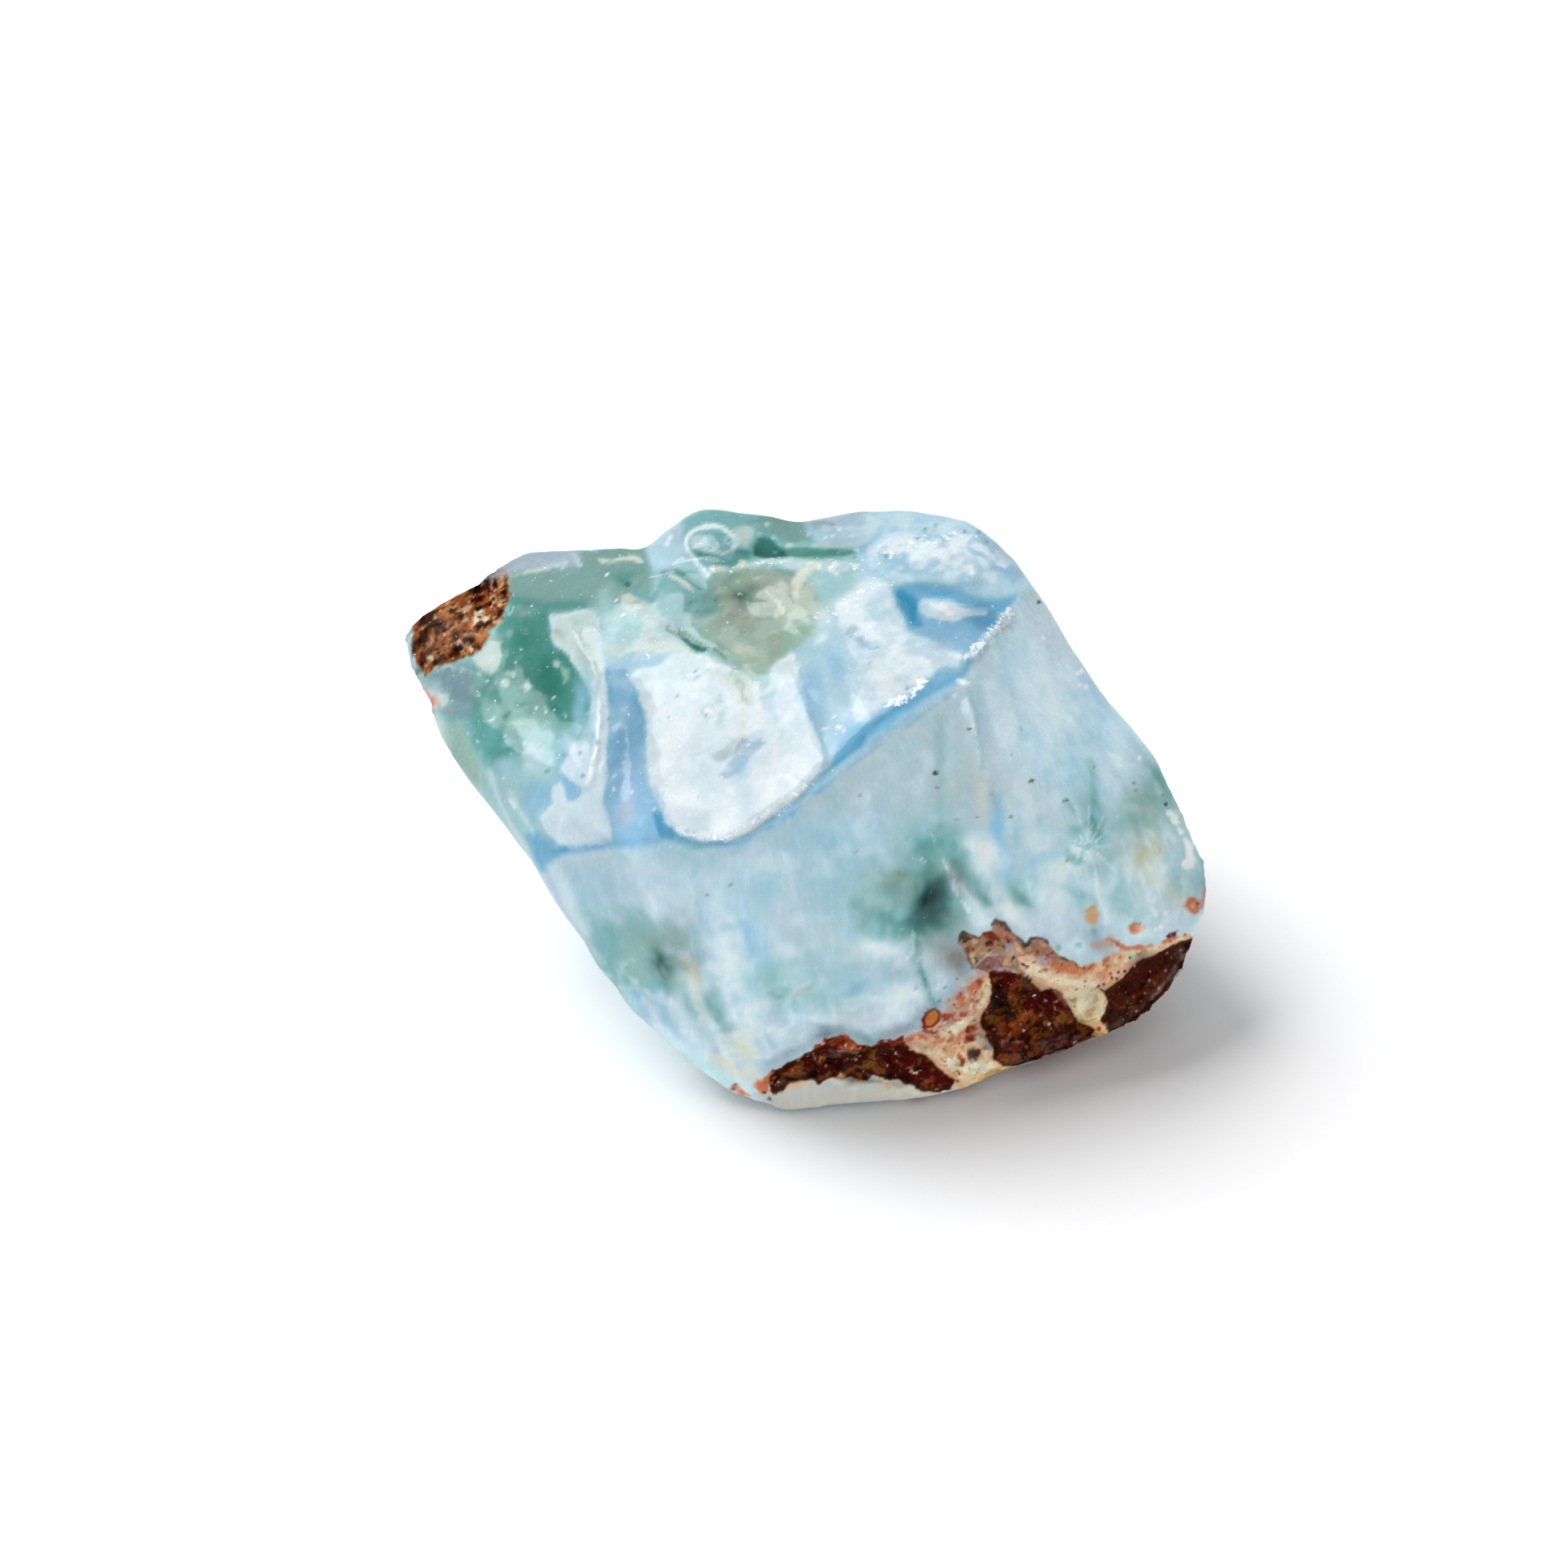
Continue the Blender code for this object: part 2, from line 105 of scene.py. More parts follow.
BACK_CORNERS = {
    "back left": (-20.5, 13.5, 14.0),
    "back middle left": (-9.0, 18.6, 14.5),
    "back middle right": (4.5, 19.6, 15.0),
    "back right": (13.5, 14.5, 14.0),
    "back top left": (-13.0, 14.5, 20.0),
    "back top right": (5.0, 15.0, 22.6),
    "back low": (-2.0, 15.0, 5.5),
    "right back low": (18.5, 5.0, 7.0),
    "left back low": (-16.5, 7.5, 7.0),
    "left low": (-12.0, -3.0, 3.0),
    "under left": (-8.0, 0.5, 0.0),
    "under left front": (-4.5, -9.5, 0.0),
    "under front": (2.0, -12.6, 0.0),
    "under right front": (8.5, -10.4, 0.0),
    "under right": (10.5, -2.0, 0.0),
    "under right back": (13.0, 4.0, 2.2),
    "under back": (2.0, 7.5, 0.0),
}
OUTLINE = [
    (-25.2, 10.0), (-25.0, 11.3), (-24.3, 12.2), (-23.5, 12.8), (-22.5, 13.2), (-21.0, 14.0),
    (-20.0, 14.9), (-19.0, 15.4), (-18.0, 16.0), (-17.0, 16.2), (-15.0, 16.2), (-13.8, 16.15),
    (-12.3, 16.4), (-11.0, 16.2), (-10.3, 16.05), (-10.0, 16.4), (-9.5, 17.0), (-9.0, 17.4),
    (-8.2, 17.9), (-7.8, 18.3), (-7.0, 18.65), (-6.0, 18.8), (-5.3, 18.65), (-4.6, 18.45),
    (-3.9, 18.35), (-3.2, 18.4), (-2.6, 18.3), (-2.0, 18.1), (-1.0, 17.8), (0.0, 18.0),
    (1.0, 18.2), (2.0, 18.45), (3.0, 18.55), (4.5, 18.6), (5.7, 18.65), (7.0, 18.4),
    (8.3, 18.3), (9.2, 18.0), (10.0, 17.7), (10.8, 17.2), (11.3, 16.7), (12.0, 16.1),
    (12.5, 15.4), (13.0, 15.0), (13.5, 14.2), (14.0, 13.4), (15.0, 12.0), (16.0, 10.1),
    (16.9, 8.9), (18.0, 7.2), (19.0, 6.1), (20.0, 5.0), (21.1, 3.6), (21.8, 2.2),
    (22.5, 0.7), (23.3, -1.0), (24.0, -2.6), (24.4, -4.0), (24.3, -5.3), (24.0, -6.8),
    (23.4, -8.0), (22.9, -9.3), (22.4, -10.5), (21.3, -11.8), (20.0, -12.9), (18.5, -13.6),
    (17.0, -14.1), (15.5, -14.8), (13.5, -15.5), (11.4, -16.0), (9.8, -16.9), (8.2, -17.3),
    (6.5, -17.7), (4.0, -17.8), (2.0, -17.95), (0.0, -18.2), (-1.3, -18.4), (-3.0, -17.9),
    (-4.8, -17.3), (-6.2, -16.4), (-7.4, -15.5), (-8.6, -14.4), (-9.7, -13.4), (-11.2, -12.1),
    (-12.0, -10.8), (-12.7, -10.1), (-13.6, -8.8), (-14.2, -7.6), (-15.1, -6.6), (-15.8, -5.6),
    (-16.6, -4.2), (-17.2, -3.1), (-18.2, -1.9), (-19.2, -0.6), (-20.5, 1.1), (-21.3, 2.2),
    (-22.2, 3.1), (-22.9, 4.6), (-23.5, 6.1), (-24.3, 8.2), (-24.8, 9.0),
]

# Slabs that stand proud of the faces, or beds sunk into them:
# height, width of the edge, outline.
SLABS = {
    "white slab": (0.05, 0.6, [
        (-11.0, 8.3), (-9.0, 9.1), (-8.2, 9.8), (-6.3, 9.6), (-5.0, 9.0), (-2.8, 8.7),
        (-1.2, 9.8), (-0.6, 7.8), (0.7, 3.1), (-0.4, 1.6), (-2.0, 0.1), (-4.0, -1.2), (-5.5, -1.75),
        (-7.0, -1.7), (-8.2, -1.25), (-9.0, -0.7), (-9.3, 0.4), (-9.8, 1.6), (-10.0, 4.0),
        (-10.3, 6.4), (-10.6, 7.6)]),
    "second slab": (0.08, 0.9, [
        (1.6, 12.8), (3.0, 13.6), (4.5, 14.4), (5.4, 13.0), (5.0, 11.2), (7.0, 10.2),
        (8.6, 9.2), (7.2, 8.2), (5.8, 6.9), (4.4, 5.9), (3.2, 5.4), (2.6, 7.2), (2.6, 8.5),
        (2.2, 10.8)]),
    "tongue": (0.05, 0.7, [
        (-16.2, 12.1), (-14.0, 12.5), (-13.1, 11.4), (-12.6, 8.0), (-12.6, 5.0), (-12.6, 3.0),
        (-12.8, 0.5), (-12.3, -1.0), (-12.3, -1.9), (-13.7, -2.2), (-15.5, -1.9), (-16.7, -0.6),
        (-15.9, 1.0), (-14.8, 2.6), (-15.2, 3.6), (-14.0, 4.6), (-13.9, 5.5), (-13.8, 7.5),
        (-14.8, 9.4), (-16.0, 11.0)]),
    "rock patch": (-0.2, 0.6, [
        (-24.4, 11.8), (-21.8, 13.4), (-19.5, 15.0), (-18.5, 13.0), (-19.8, 11.4), (-21.0, 9.6),
        (-23.9, 8.4), (-24.6, 10.0)]),
    "rock bed": (-0.45, 0.5, [
        (-2.7, -16.6), (-1.4, -15.4), (0.0, -14.9), (0.8, -14.0), (1.5, -13.8), (3.0, -14.3),
        (5.5, -13.9), (6.8, -13.2), (8.3, -12.2), (9.6, -11.2), (10.9, -9.9), (12.6, -9.9),
        (14.2, -10.7), (15.2, -11.0), (16.0, -12.2), (16.6, -13.1), (18.2, -13.5), (17.9, -12.6),
        (18.2, -11.2), (19.4, -10.0), (20.4, -9.0), (22.2, -8.5), (23.4, -8.0), (22.6, -10.5),
        (20.0, -13.2), (12.5, -16.0), (9.0, -17.0), (6.5, -17.0), (4.0, -16.4), (1.0, -16.4)]),
}

# Hollows and lumps: height, half width, half height, tilt in degrees, middle.
HOLLOWS_AND_LUMPS = {
    "green hollow left": (-0.6, 2.4, 3.4, 20, (-16.6, 7.4)),
    "blue trough": (-0.6, 1.2, 5.0, 0, (-11.3, 3.4)),
    "top lump": (0.9, 3.4, 1.7, -8, (-5.9, 16.7)),
    "eye of the lump": (-0.4, 0.8, 0.8, 0, (-3.0, 16.3)),
    "cheek": (0.5, 1.9, 1.5, 20, (-7.8, 13.4)),
    "middle hollow": (-1.1, 2.7, 2.0, -25, (-3.8, 12.0)),
    "hole": (-0.25, 0.8, 0.7, 0, (-4.0, 12.8)),
    "cream lump": (0.25, 1.0, 0.8, 0, (-10.8, 12.9)),
    "scalloped hollow": (-0.6, 3.1, 1.5, 4, (8.4, 12.6)),
    "lens in the hollow": (0.25, 1.7, 0.6, -5, (8.3, 12.7)),
    "recess in the slab": (-0.15, 0.7, 1.6, -55, (-4.6, 3.6)),
    "swirl dent": (-0.1, 0.6, 1.2, 0, (-5.7, 6.4)),
    "front recess": (-1.2, 1.2, 2.6, -12, (7.4, -5.6)),
    "front recess top": (-0.5, 0.9, 1.6, 35, (7.9, -2.6)),
    "green lump": (0.4, 1.8, 1.7, 0, (5.2, -4.8)),
    "small recess": (-0.25, 0.8, 0.9, 0, (9.0, -2.5)),
    "right recess": (-0.3, 1.0, 1.3, 25, (10.8, -4.4)),
    "rock cavity": (-1.5, 2.9, 1.9, -10, (13.2, -12.6)),
    "rock lobe hollow": (-0.7, 2.2, 1.4, 30, (20.4, -10.7)),
    "rock bed hollow": (-0.6, 3.0, 1.0, 0, (3.4, -15.4)),
    "lower left hollow": (-0.5, 2.2, 2.0, 0, (-11.6, -8.2)),
    "star dent": (-0.4, 1.2, 1.2, 0, (17.2, -2.9)),
    "right belly": (0.5, 4.0, 6.0, 25, (15.5, 2.0)),
    "upper right belly": (0.5, 3.4, 1.6, -8, (7.8, 16.2)),
}

# Ridges and grooves: height, half width, line.
RIDGES_AND_GROOVES = {
    "crease groove": (-0.08, 0.35, [
        (-16.7, -3.2), (-15.4, -2.5), (-13.0, -2.2), (-10.0, -2.0), (-8.5, -1.9), (-7.0, -2.1),
        (-5.4, -2.1), (-4.0, -1.6), (-2.0, -0.1), (0.8, 2.2), (2.2, 3.5), (3.5, 5.0), (5.0, 6.0),
        (7.0, 7.2), (8.8, 8.1), (9.6, 8.6), (11.0, 10.6), (12.0, 12.0), (12.7, 13.2)]),
    "crumbly lip": (0.15, 0.35, [(9.3, 9.6), (10.0, 9.7), (11.2, 11.1), (12.2, 12.5)]),
    "tongue ridge": (0.14, 0.22, [
        (-15.0, 11.8), (-14.2, 10.2), (-13.3, 8.7), (-13.1, 6.3), (-13.3, 4.2), (-13.8, 1.6)]),
    "cheek groove": (-0.2, 0.3, [(-10.6, 13.9), (-9.0, 14.8), (-8.0, 14.7), (-7.0, 13.9)]),
    "ledge groove": (-0.1, 0.3, [(-8.6, 11.4), (-7.5, 10.7), (-6.5, 10.2), (-5.2, 9.7)]),
    "lump groove": (-0.2, 0.35, [(-8.4, 15.6), (-6.5, 15.6), (-3.5, 15.7), (0.0, 15.8), (2.6, 16.0)]),
    "white crumbs": (0.05, 0.3, [(-5.8, 14.9), (-4.0, 15.1), (-2.0, 15.2), (1.9, 15.1)]),
    "scallop lip": (0.08, 0.5, [(4.9, 13.9), (6.6, 14.4), (9.0, 14.3), (11.4, 13.6)]),
    "slab step": (0.03, 0.3, [(-1.3, 9.8), (-0.5, 7.0), (0.8, 3.3)]),
    "front edge ridge": (0.12, 0.45, [(9.6, 7.4), (10.2, 4.6), (10.8, 2.0), (11.0, 0.0)]),
    "front groove": (-0.15, 0.45, [(8.0, 5.4), (8.0, 2.0), (7.9, -0.6)]),
    "pale ridge": (0.25, 0.45, [(7.5, -1.5), (8.6, -3.4), (9.7, -5.0), (11.0, -6.6)]),
    "crevice": (-0.3, 0.3, [(6.4, -8.0), (6.8, -10.0), (7.2, -11.4)]),
    "rock vein low": (0.35, 0.5, [(9.9, -11.0), (8.4, -13.2), (10.0, -15.8)]),
    "rock vein high": (0.3, 0.5, [(11.0, -7.7), (14.0, -9.3), (16.4, -10.4), (19.0, -9.3), (22.0, -8.0)]),
    "lower left ridge": (0.2, 0.5, [(-7.2, -9.0), (-6.9, -11.5), (-6.0, -13.2), (-3.6, -15.6)]),
}
CHIPS = {
    "back scoop left": (17.0, (-13.0, 33.0, 16.0)),
    "back scoop right": (14.0, (8.0, 31.0, 15.0)),
    "back top scoop": (12.0, (-4.0, 25.5, 30.0)),
    "back low scoop": (13.0, (-9.0, 24.0, -2.0)),
    "right low scoop": (12.0, (24.0, 11.0, -2.0)),
    "left low scoop": (15.0, (-24.0, -3.0, -3.5)),
    "right back scoop": (13.0, (26.0, 17.0, 18.0)),
}


def seen_point(u, v, w):
    """The place of a point that the viewer sees at u, v, at depth w."""
    near = 1.0 - w / EYE_DISTANCE
    u, v = u * near, v * near
    y = v * math.sin(LOOK_DOWN) - w * math.cos(LOOK_DOWN)
    z = v * math.cos(LOOK_DOWN) + w * math.sin(LOOK_DOWN) + HEIGHT_OF_MIDDLE
    return u, y, z


def as_seen(place):
    """The u, v and w of every point in an array of places."""
    y, z = place[:, 1], place[:, 2] - HEIGHT_OF_MIDDLE
    w = z * math.sin(LOOK_DOWN) - y * math.cos(LOOK_DOWN)
    near = 1.0 - w / EYE_DISTANCE
    return place[:, 0] / near, (y * math.sin(LOOK_DOWN) + z * math.cos(LOOK_DOWN)) / near, w


def eased(value, low, high):
    """Nought below low, one above high, with a soft change between."""
    t = np.clip((value - low) / (high - low), 0.0, 1.0)
    return t * t * (3.0 - 2.0 * t)


def distance_to_line(u, v, line):
    """How far every u, v is from a line of joined stretches."""
    nearest = np.full(u.shape, 1e9)
    for (u0, v0), (u1, v1) in zip(line, line[1:]):
        du, dv = u1 - u0, v1 - v0
        along = np.clip(((u - u0) * du + (v - v0) * dv) / (du * du + dv * dv), 0.0, 1.0)
        nearest = np.minimum(nearest, np.hypot(u - u0 - along * du, v - v0 - along * dv))
    return nearest


def depth_inside(u, v, outline):
    """How far every u, v is inside a closed outline, negative outside it."""
    closed = [*outline, outline[0]]
    inside = np.zeros(u.shape, bool)
    for (u0, v0), (u1, v1) in zip(closed, closed[1:]):
        if v0 != v1:
            crossing = u0 + (v - v0) * (u1 - u0) / (v1 - v0)
            inside ^= ((v0 > v) != (v1 > v)) & (u < crossing)
    return np.where(inside, 1.0, -1.0) * distance_to_line(u, v, closed)


def oval(u, v, wide, high, tilt, middle):
    """The squared distance from an oval's middle, one at its edge."""
    turn = math.radians(tilt)
    across = (u - middle[0]) * math.cos(turn) + (v - middle[1]) * math.sin(turn)
    up = (v - middle[1]) * math.cos(turn) - (u - middle[0]) * math.sin(turn)
    return (across / wide) ** 2 + (up / high) ** 2


def relief(u, v):
    """How far the surface stands towards the viewer at every u, v."""
    height = np.zeros(u.shape)
    for rise, edge, outline in SLABS.values():
        height += rise * eased(depth_inside(u, v, outline), -0.5 * edge, 0.5 * edge)
    for rise, wide, high, tilt, middle in HOLLOWS_AND_LUMPS.values():
        height += rise * np.exp(-oval(u, v, wide, high, tilt, middle))
    for rise, wide, line in RIDGES_AND_GROOVES.values():
        height += rise * np.exp(-((distance_to_line(u, v, line) / wide) ** 2))
    return height


def places_and_normals(mesh):
    """The place and the outward normal of every corner of a mesh."""
    place = np.zeros(len(mesh.vertices) * 3)
    normal = np.zeros(len(mesh.vertices) * 3)
    mesh.vertices.foreach_get("co", place)
    mesh.vertices.foreach_get("normal", normal)
    return place.reshape(-1, 3), normal.reshape(-1, 3)


def put_back(mesh, place):
    mesh.vertices.foreach_set("co", place.ravel())
    mesh.update()


def sight_of(place):
    """The direction from every place to the viewer's eye."""
    sight = np.array(seen_point(0.0, 0.0, EYE_DISTANCE * 0.999)) - place
    return sight / np.linalg.norm(sight, axis=1)[:, None]


def cloud(place, size, seed):
    """Soft random values between about -0.5 and 0.5 that vary over the size."""
    shift = Vector((seed * 7.31, seed * 3.17, seed * 5.03))
    return np.array([noise.noise(Vector(p) / size + shift) for p in place])


hull = bmesh.new()
for corner in (*OUTLINE_CORNERS.values(), *FRONT_CORNERS.values()):
    hull.verts.new(seen_point(*corner))
for corner in BACK_CORNERS.values():
    hull.verts.new(corner)
made = bmesh.ops.convex_hull(hull, input=hull.verts, use_existing_faces=False)
spare = {item for key in ("geom_unused", "geom_interior") for item in made[key]
         if isinstance(item, bmesh.types.BMVert)}
bmesh.ops.delete(hull, geom=list(spare), context="VERTS")
bmesh.ops.recalc_face_normals(hull, faces=hull.faces)
hull_mesh = bpy.data.meshes.new("corner hull")
hull.to_mesh(hull_mesh)
hull.free()

holder = bpy.data.objects.new("working form", hull_mesh)
bpy.context.scene.collection.objects.link(holder)
cells = holder.modifiers.new("cells", "REMESH")
cells.mode = "VOXEL"
cells.voxel_size = FIRST_CELL
worn = holder.modifiers.new("worn edges", "SMOOTH")
worn.factor = 0.5
worn.iterations = SMOOTHING_ROUNDS
bpy.context.view_layer.update()
stone_mesh = bpy.data.meshes.new_from_object(holder.evaluated_get(bpy.context.evaluated_depsgraph_get()))
bpy.data.objects.remove(holder)

# Round chips come off the sides that face away.
place, normal = places_and_normals(stone_mesh)
for radius, middle in CHIPS.values():
    away = place - np.array(middle)
    distance = np.linalg.norm(away, axis=1)
    inside = distance < radius
    place[inside] = np.array(middle) + away[inside] * (radius / distance[inside])[:, None]
put_back(stone_mesh, place)

# The seen side gets four faces for each one, and the host rock sixteen.
fine = bmesh.new()
fine.from_mesh(stone_mesh)
fine.normal_update()
eye = Vector(seen_point(0.0, 0.0, EYE_DISTANCE * 0.999))
seen_faces = [f for f in fine.faces if f.normal.dot((eye - f.calc_center_median()).normalized()) > -0.12]
seen_edges = list({e for f in seen_faces for e in f.edges})
bmesh.ops.subdivide_edges(fine, edges=seen_edges, cuts=1, use_grid_fill=True)
fine.normal_update()
middles = np.array([f.calc_center_median()[:] for f in fine.faces])
facing = np.array([f.normal[:] for f in fine.faces])
mu, mv, mw = as_seen(middles)
looks_out = (facing * sight_of(middles)).sum(axis=1) > -0.05
ROCK_AND_FRINGE = [
    (-3.4, -17.4), (-2.6, -15.8), (0.4, -13.5), (2.4, -13.4), (5.4, -13.3), (8.4, -11.6), (10.2, -9.6), (8.8, -8.4),
    (9.0, -7.2), (11.2, -6.3), (13.6, -7.3), (16.8, -9.0), (18.2, -8.0), (22.4, -6.7), (23.8, -7.2),
    (23.8, -9.0), (20.5, -13.4), (9.5, -17.6), (-1.0, -17.3)]
rocky = depth_inside(mu, mv, ROCK_AND_FRINGE) > 0.0
rocky |= depth_inside(mu, mv, SLABS["rock patch"][2]) > -0.3
fine.faces.ensure_lookup_table()
rock_faces = [fine.faces[i] for i in np.flatnonzero(rocky & looks_out)]
rock_edges = list({e for f in rock_faces for e in f.edges})
bmesh.ops.subdivide_edges(fine, edges=rock_edges, cuts=1, use_grid_fill=True)
bmesh.ops.smooth_vert(fine, verts=fine.verts, factor=0.5, use_axis_x=True, use_axis_y=True, use_axis_z=True)
fine.to_mesh(stone_mesh)
fine.free()

# Then the relief is pressed in along the line of sight.
place, broad_normal = places_and_normals(stone_mesh)
normal = broad_normal
u, v, w = as_seen(place)
sight = sight_of(place)
facing = eased((normal * sight).sum(axis=1), 0.05, 0.4)
rough_u = u + 0.25 * cloud(place, 0.9, 1)
rough_v = v + 0.25 * cloud(place, 0.9, 2)
rock = np.maximum(depth_inside(u, v, SLABS["rock patch"][2]), depth_inside(u, v, SLABS["rock bed"][2]))
rock = eased(rock, -0.6, 0.3)
pits = cloud(place, 1.6, 3) * 0.8 + cloud(place, 0.6, 4) * 0.5
height = relief(rough_u, rough_v) + rock * pits
place = place + sight * (height * facing)[:, None]
wobble = 0.35 * cloud(place, 6.0, 0) + 0.14 * cloud(place, 2.2, 5)
place += normal * (wobble * (1.0 - 0.6 * facing))[:, None]

# Last, the rim is drawn in or out until the viewer sees the outline.
u, v, w = as_seen(place)
angle, reach = np.arctan2(v, u), np.hypot(u, v)
bins = 300
which = ((angle + math.pi) / (2.0 * math.pi) * bins).astype(int) % bins
hull_reach = np.zeros(bins)
np.maximum.at(hull_reach, which, reach)
bin_middles = (np.arange(bins) + 0.5) / bins * 2.0 * math.pi - math.pi
corners = np.array(OUTLINE)
along = np.concatenate([np.linspace(a, b, 12, endpoint=False)
                        for a, b in zip(corners, np.roll(corners, -1, axis=0))])
along_angle, along_reach = np.arctan2(along[:, 1], along[:, 0]), np.hypot(along[:, 0], along[:, 1])
order = np.argsort(along_angle)
wanted = np.interp(bin_middles, along_angle[order], along_reach[order], period=2.0 * math.pi)
near_rim = wanted / hull_reach
near_rim = sum(np.roll(near_rim, step) for step in range(-2, 3)) / 5.0
behind_rim = sum(np.roll(near_rim, step) for step in range(-11, 12)) / 23.0 * 0.975
fade = eased(-w, 0.5, 4.0)
factor = (1.0 - fade) * np.interp(angle, bin_middles, near_rim, period=2.0 * math.pi)
factor += fade * np.interp(angle, bin_middles, behind_rim, period=2.0 * math.pi)
outer = eased(reach / np.interp(angle, bin_middles, hull_reach, period=2.0 * math.pi), 0.78, 1.0)
factor = 1.0 + (factor - 1.0) * outer
place = np.stack(seen_point(u * factor, v * factor, w), axis=1)
place[:, 2] = np.maximum(place[:, 2] - place[:, 2].min() - RESTING_CUT, 0.0)
put_back(stone_mesh, place)
place, normal = places_and_normals(stone_mesh)


# THE STONE'S COLOURS
# Larimar is pale blue with white clouds, deep blue seams and sea-green hollows.
# Iron from the host rock stains its edges cream, orange and rust red. Each mark
# is laid where the viewer sees it, over broad clouds that run through the stone.
COLOURS = {
    "sky": "#B2D2E1", "ice": "#CBDFE8", "white": "#DFECF4", "snow": "#F4FAFC", "blue": "#8DBCD8",
    "deep": "#5B9FC6", "azure": "#74B2D2", "steel": "#9DBACD", "lilac": "#BCCBD9", "grey blue": "#AFC5CD",
    "lake": "#9EC2D0", "aqua": "#A2C9CC", "mist": "#BFD6DB", "sea": "#79ADAF", "teal": "#5A9591",
    "pine": "#386D67", "ink": "#23443F", "sage": "#9CBAAD", "moss": "#7F9F8F", "khaki": "#AFB79E",
    "straw": "#BDC19F", "sand": "#C9C4AE", "cream": "#D8CFB4", "butter": "#CFC79A", "tan": "#BF9C76",
    "peach": "#D0A283", "rosy": "#B58F80", "mauve": "#A5928F", "salmon": "#B8694B", "rust": "#8E3A22",
    "brick": "#6B2516", "maroon": "#3F0D08", "brown": "#371A10", "umber": "#1F0E08", "amber": "#6E3414",
    "ochre": "#6F4F20", "orange": "#A0602F", "dusk": "#45352F", "stone grey": "#8C8580", "black": "#141412",
    "jade": "#4F9088", "fir": "#37786D", "lichen": "#7FA39F", "celadon": "#93B8AC", "denim": "#6B949E",
    "slate": "#7C919D", "pewter": "#939FA2", "ash": "#A39AA3", "drab": "#A9AFA4", "haze": "#A9BCCB",
    "fog": "#BFD0CC", "pearl": "#D6DDD0", "milk": "#D3E5EE", "foam": "#E6F1F6", "periwinkle": "#A0BCDC",
    "gulf": "#4093B5", "lagoon": "#84B4B8", "under": "#A6A8A2", "sandstone": "#C9A888", "copper": "#B87840", "blood": "#460A06",
    "mauve rock": "#7A544C", "rose rock": "#9A6A5A", "lilac rock": "#A5909E", "hazel": "#94765A",
    "olive": "#8F8048", "copper brown": "#84421C",
}
u, v, w = as_seen(place)
near_grain = cloud(place, 1.3, 6) * 0.7 + cloud(place, 0.4, 7) * 0.5
drift_u = 0.9 * cloud(place, 3.0, 8) + 0.3 * cloud(place, 0.8, 9)
drift_v = 0.9 * cloud(place, 3.0, 10) + 0.3 * cloud(place, 0.8, 11)
colour = np.zeros((len(place), 3))


def mixed(name):
    """A colour's red, green and blue, from nought to one."""
    return np.array([int(COLOURS[name][i:i + 2], 16) for i in (1, 3, 5)]) / 255.0


def lay(name, cover, where=slice(None)):
    """Lay a colour over the stone."""
    colour[where] += (mixed(name) - colour[where]) * np.clip(cover, 0.0, 1.0)[:, None]


def nearby(points, margin):
    """The corners of the mesh that a mark can reach."""
    points = np.array(points)
    low, high = points.min(axis=0) - margin, points.max(axis=0) + margin
    return np.flatnonzero((u > low[0]) & (u < high[0]) & (v > low[1]) & (v < high[1]))


def patch(name, strength, soft, ragged, outline):
    """A mark that fills an outline."""
    at = nearby(outline, soft + ragged)
    depth = depth_inside(u[at], v[at], outline) + ragged * near_grain[at]
    lay(name, strength * eased(depth, -0.5 * soft, 0.5 * soft), at)


def streak(name, strength, wide, soft, line, ragged=0.1):
    """A mark that follows a line."""
    at = nearby(line, wide + soft + ragged)
    far = distance_to_line(u[at], v[at], line) + ragged * near_grain[at]
    lay(name, strength * (1.0 - eased(far, wide - 0.5 * soft, wide + 0.5 * soft)), at)


def glow(name, strength, wide, high, tilt, middle):
    """A soft cloud of colour round a place."""
    reach = 2.6 * max(wide, high) + 0.8
    at = nearby([middle], reach)
    far = oval(u[at] + drift_u[at], v[at] + drift_v[at], wide, high, tilt, middle)
    lay(name, strength * np.exp(-far), at)


def spot(name, strength, size, *middles):
    """Small specks."""
    for middle in middles:
        at = nearby([middle], size * 2.0)
        far = np.hypot(u[at] - middle[0], v[at] - middle[1]) + 0.3 * size * near_grain[at]
        lay(name, strength * (1.0 - eased(far, 0.5 * size, 1.2 * size)), at)


def chalky(strength, wide, line, ragged=0.35):
    """White crumbs along a line; the finish gives them their ragged edges."""
    at = nearby(line, wide + ragged + 0.6)
    far = distance_to_line(u[at], v[at], line) + ragged * near_grain[at]
    chalk[at] = np.maximum(chalk[at], strength * (1.0 - eased(far, 0.4 * wide, wide + 0.25)))


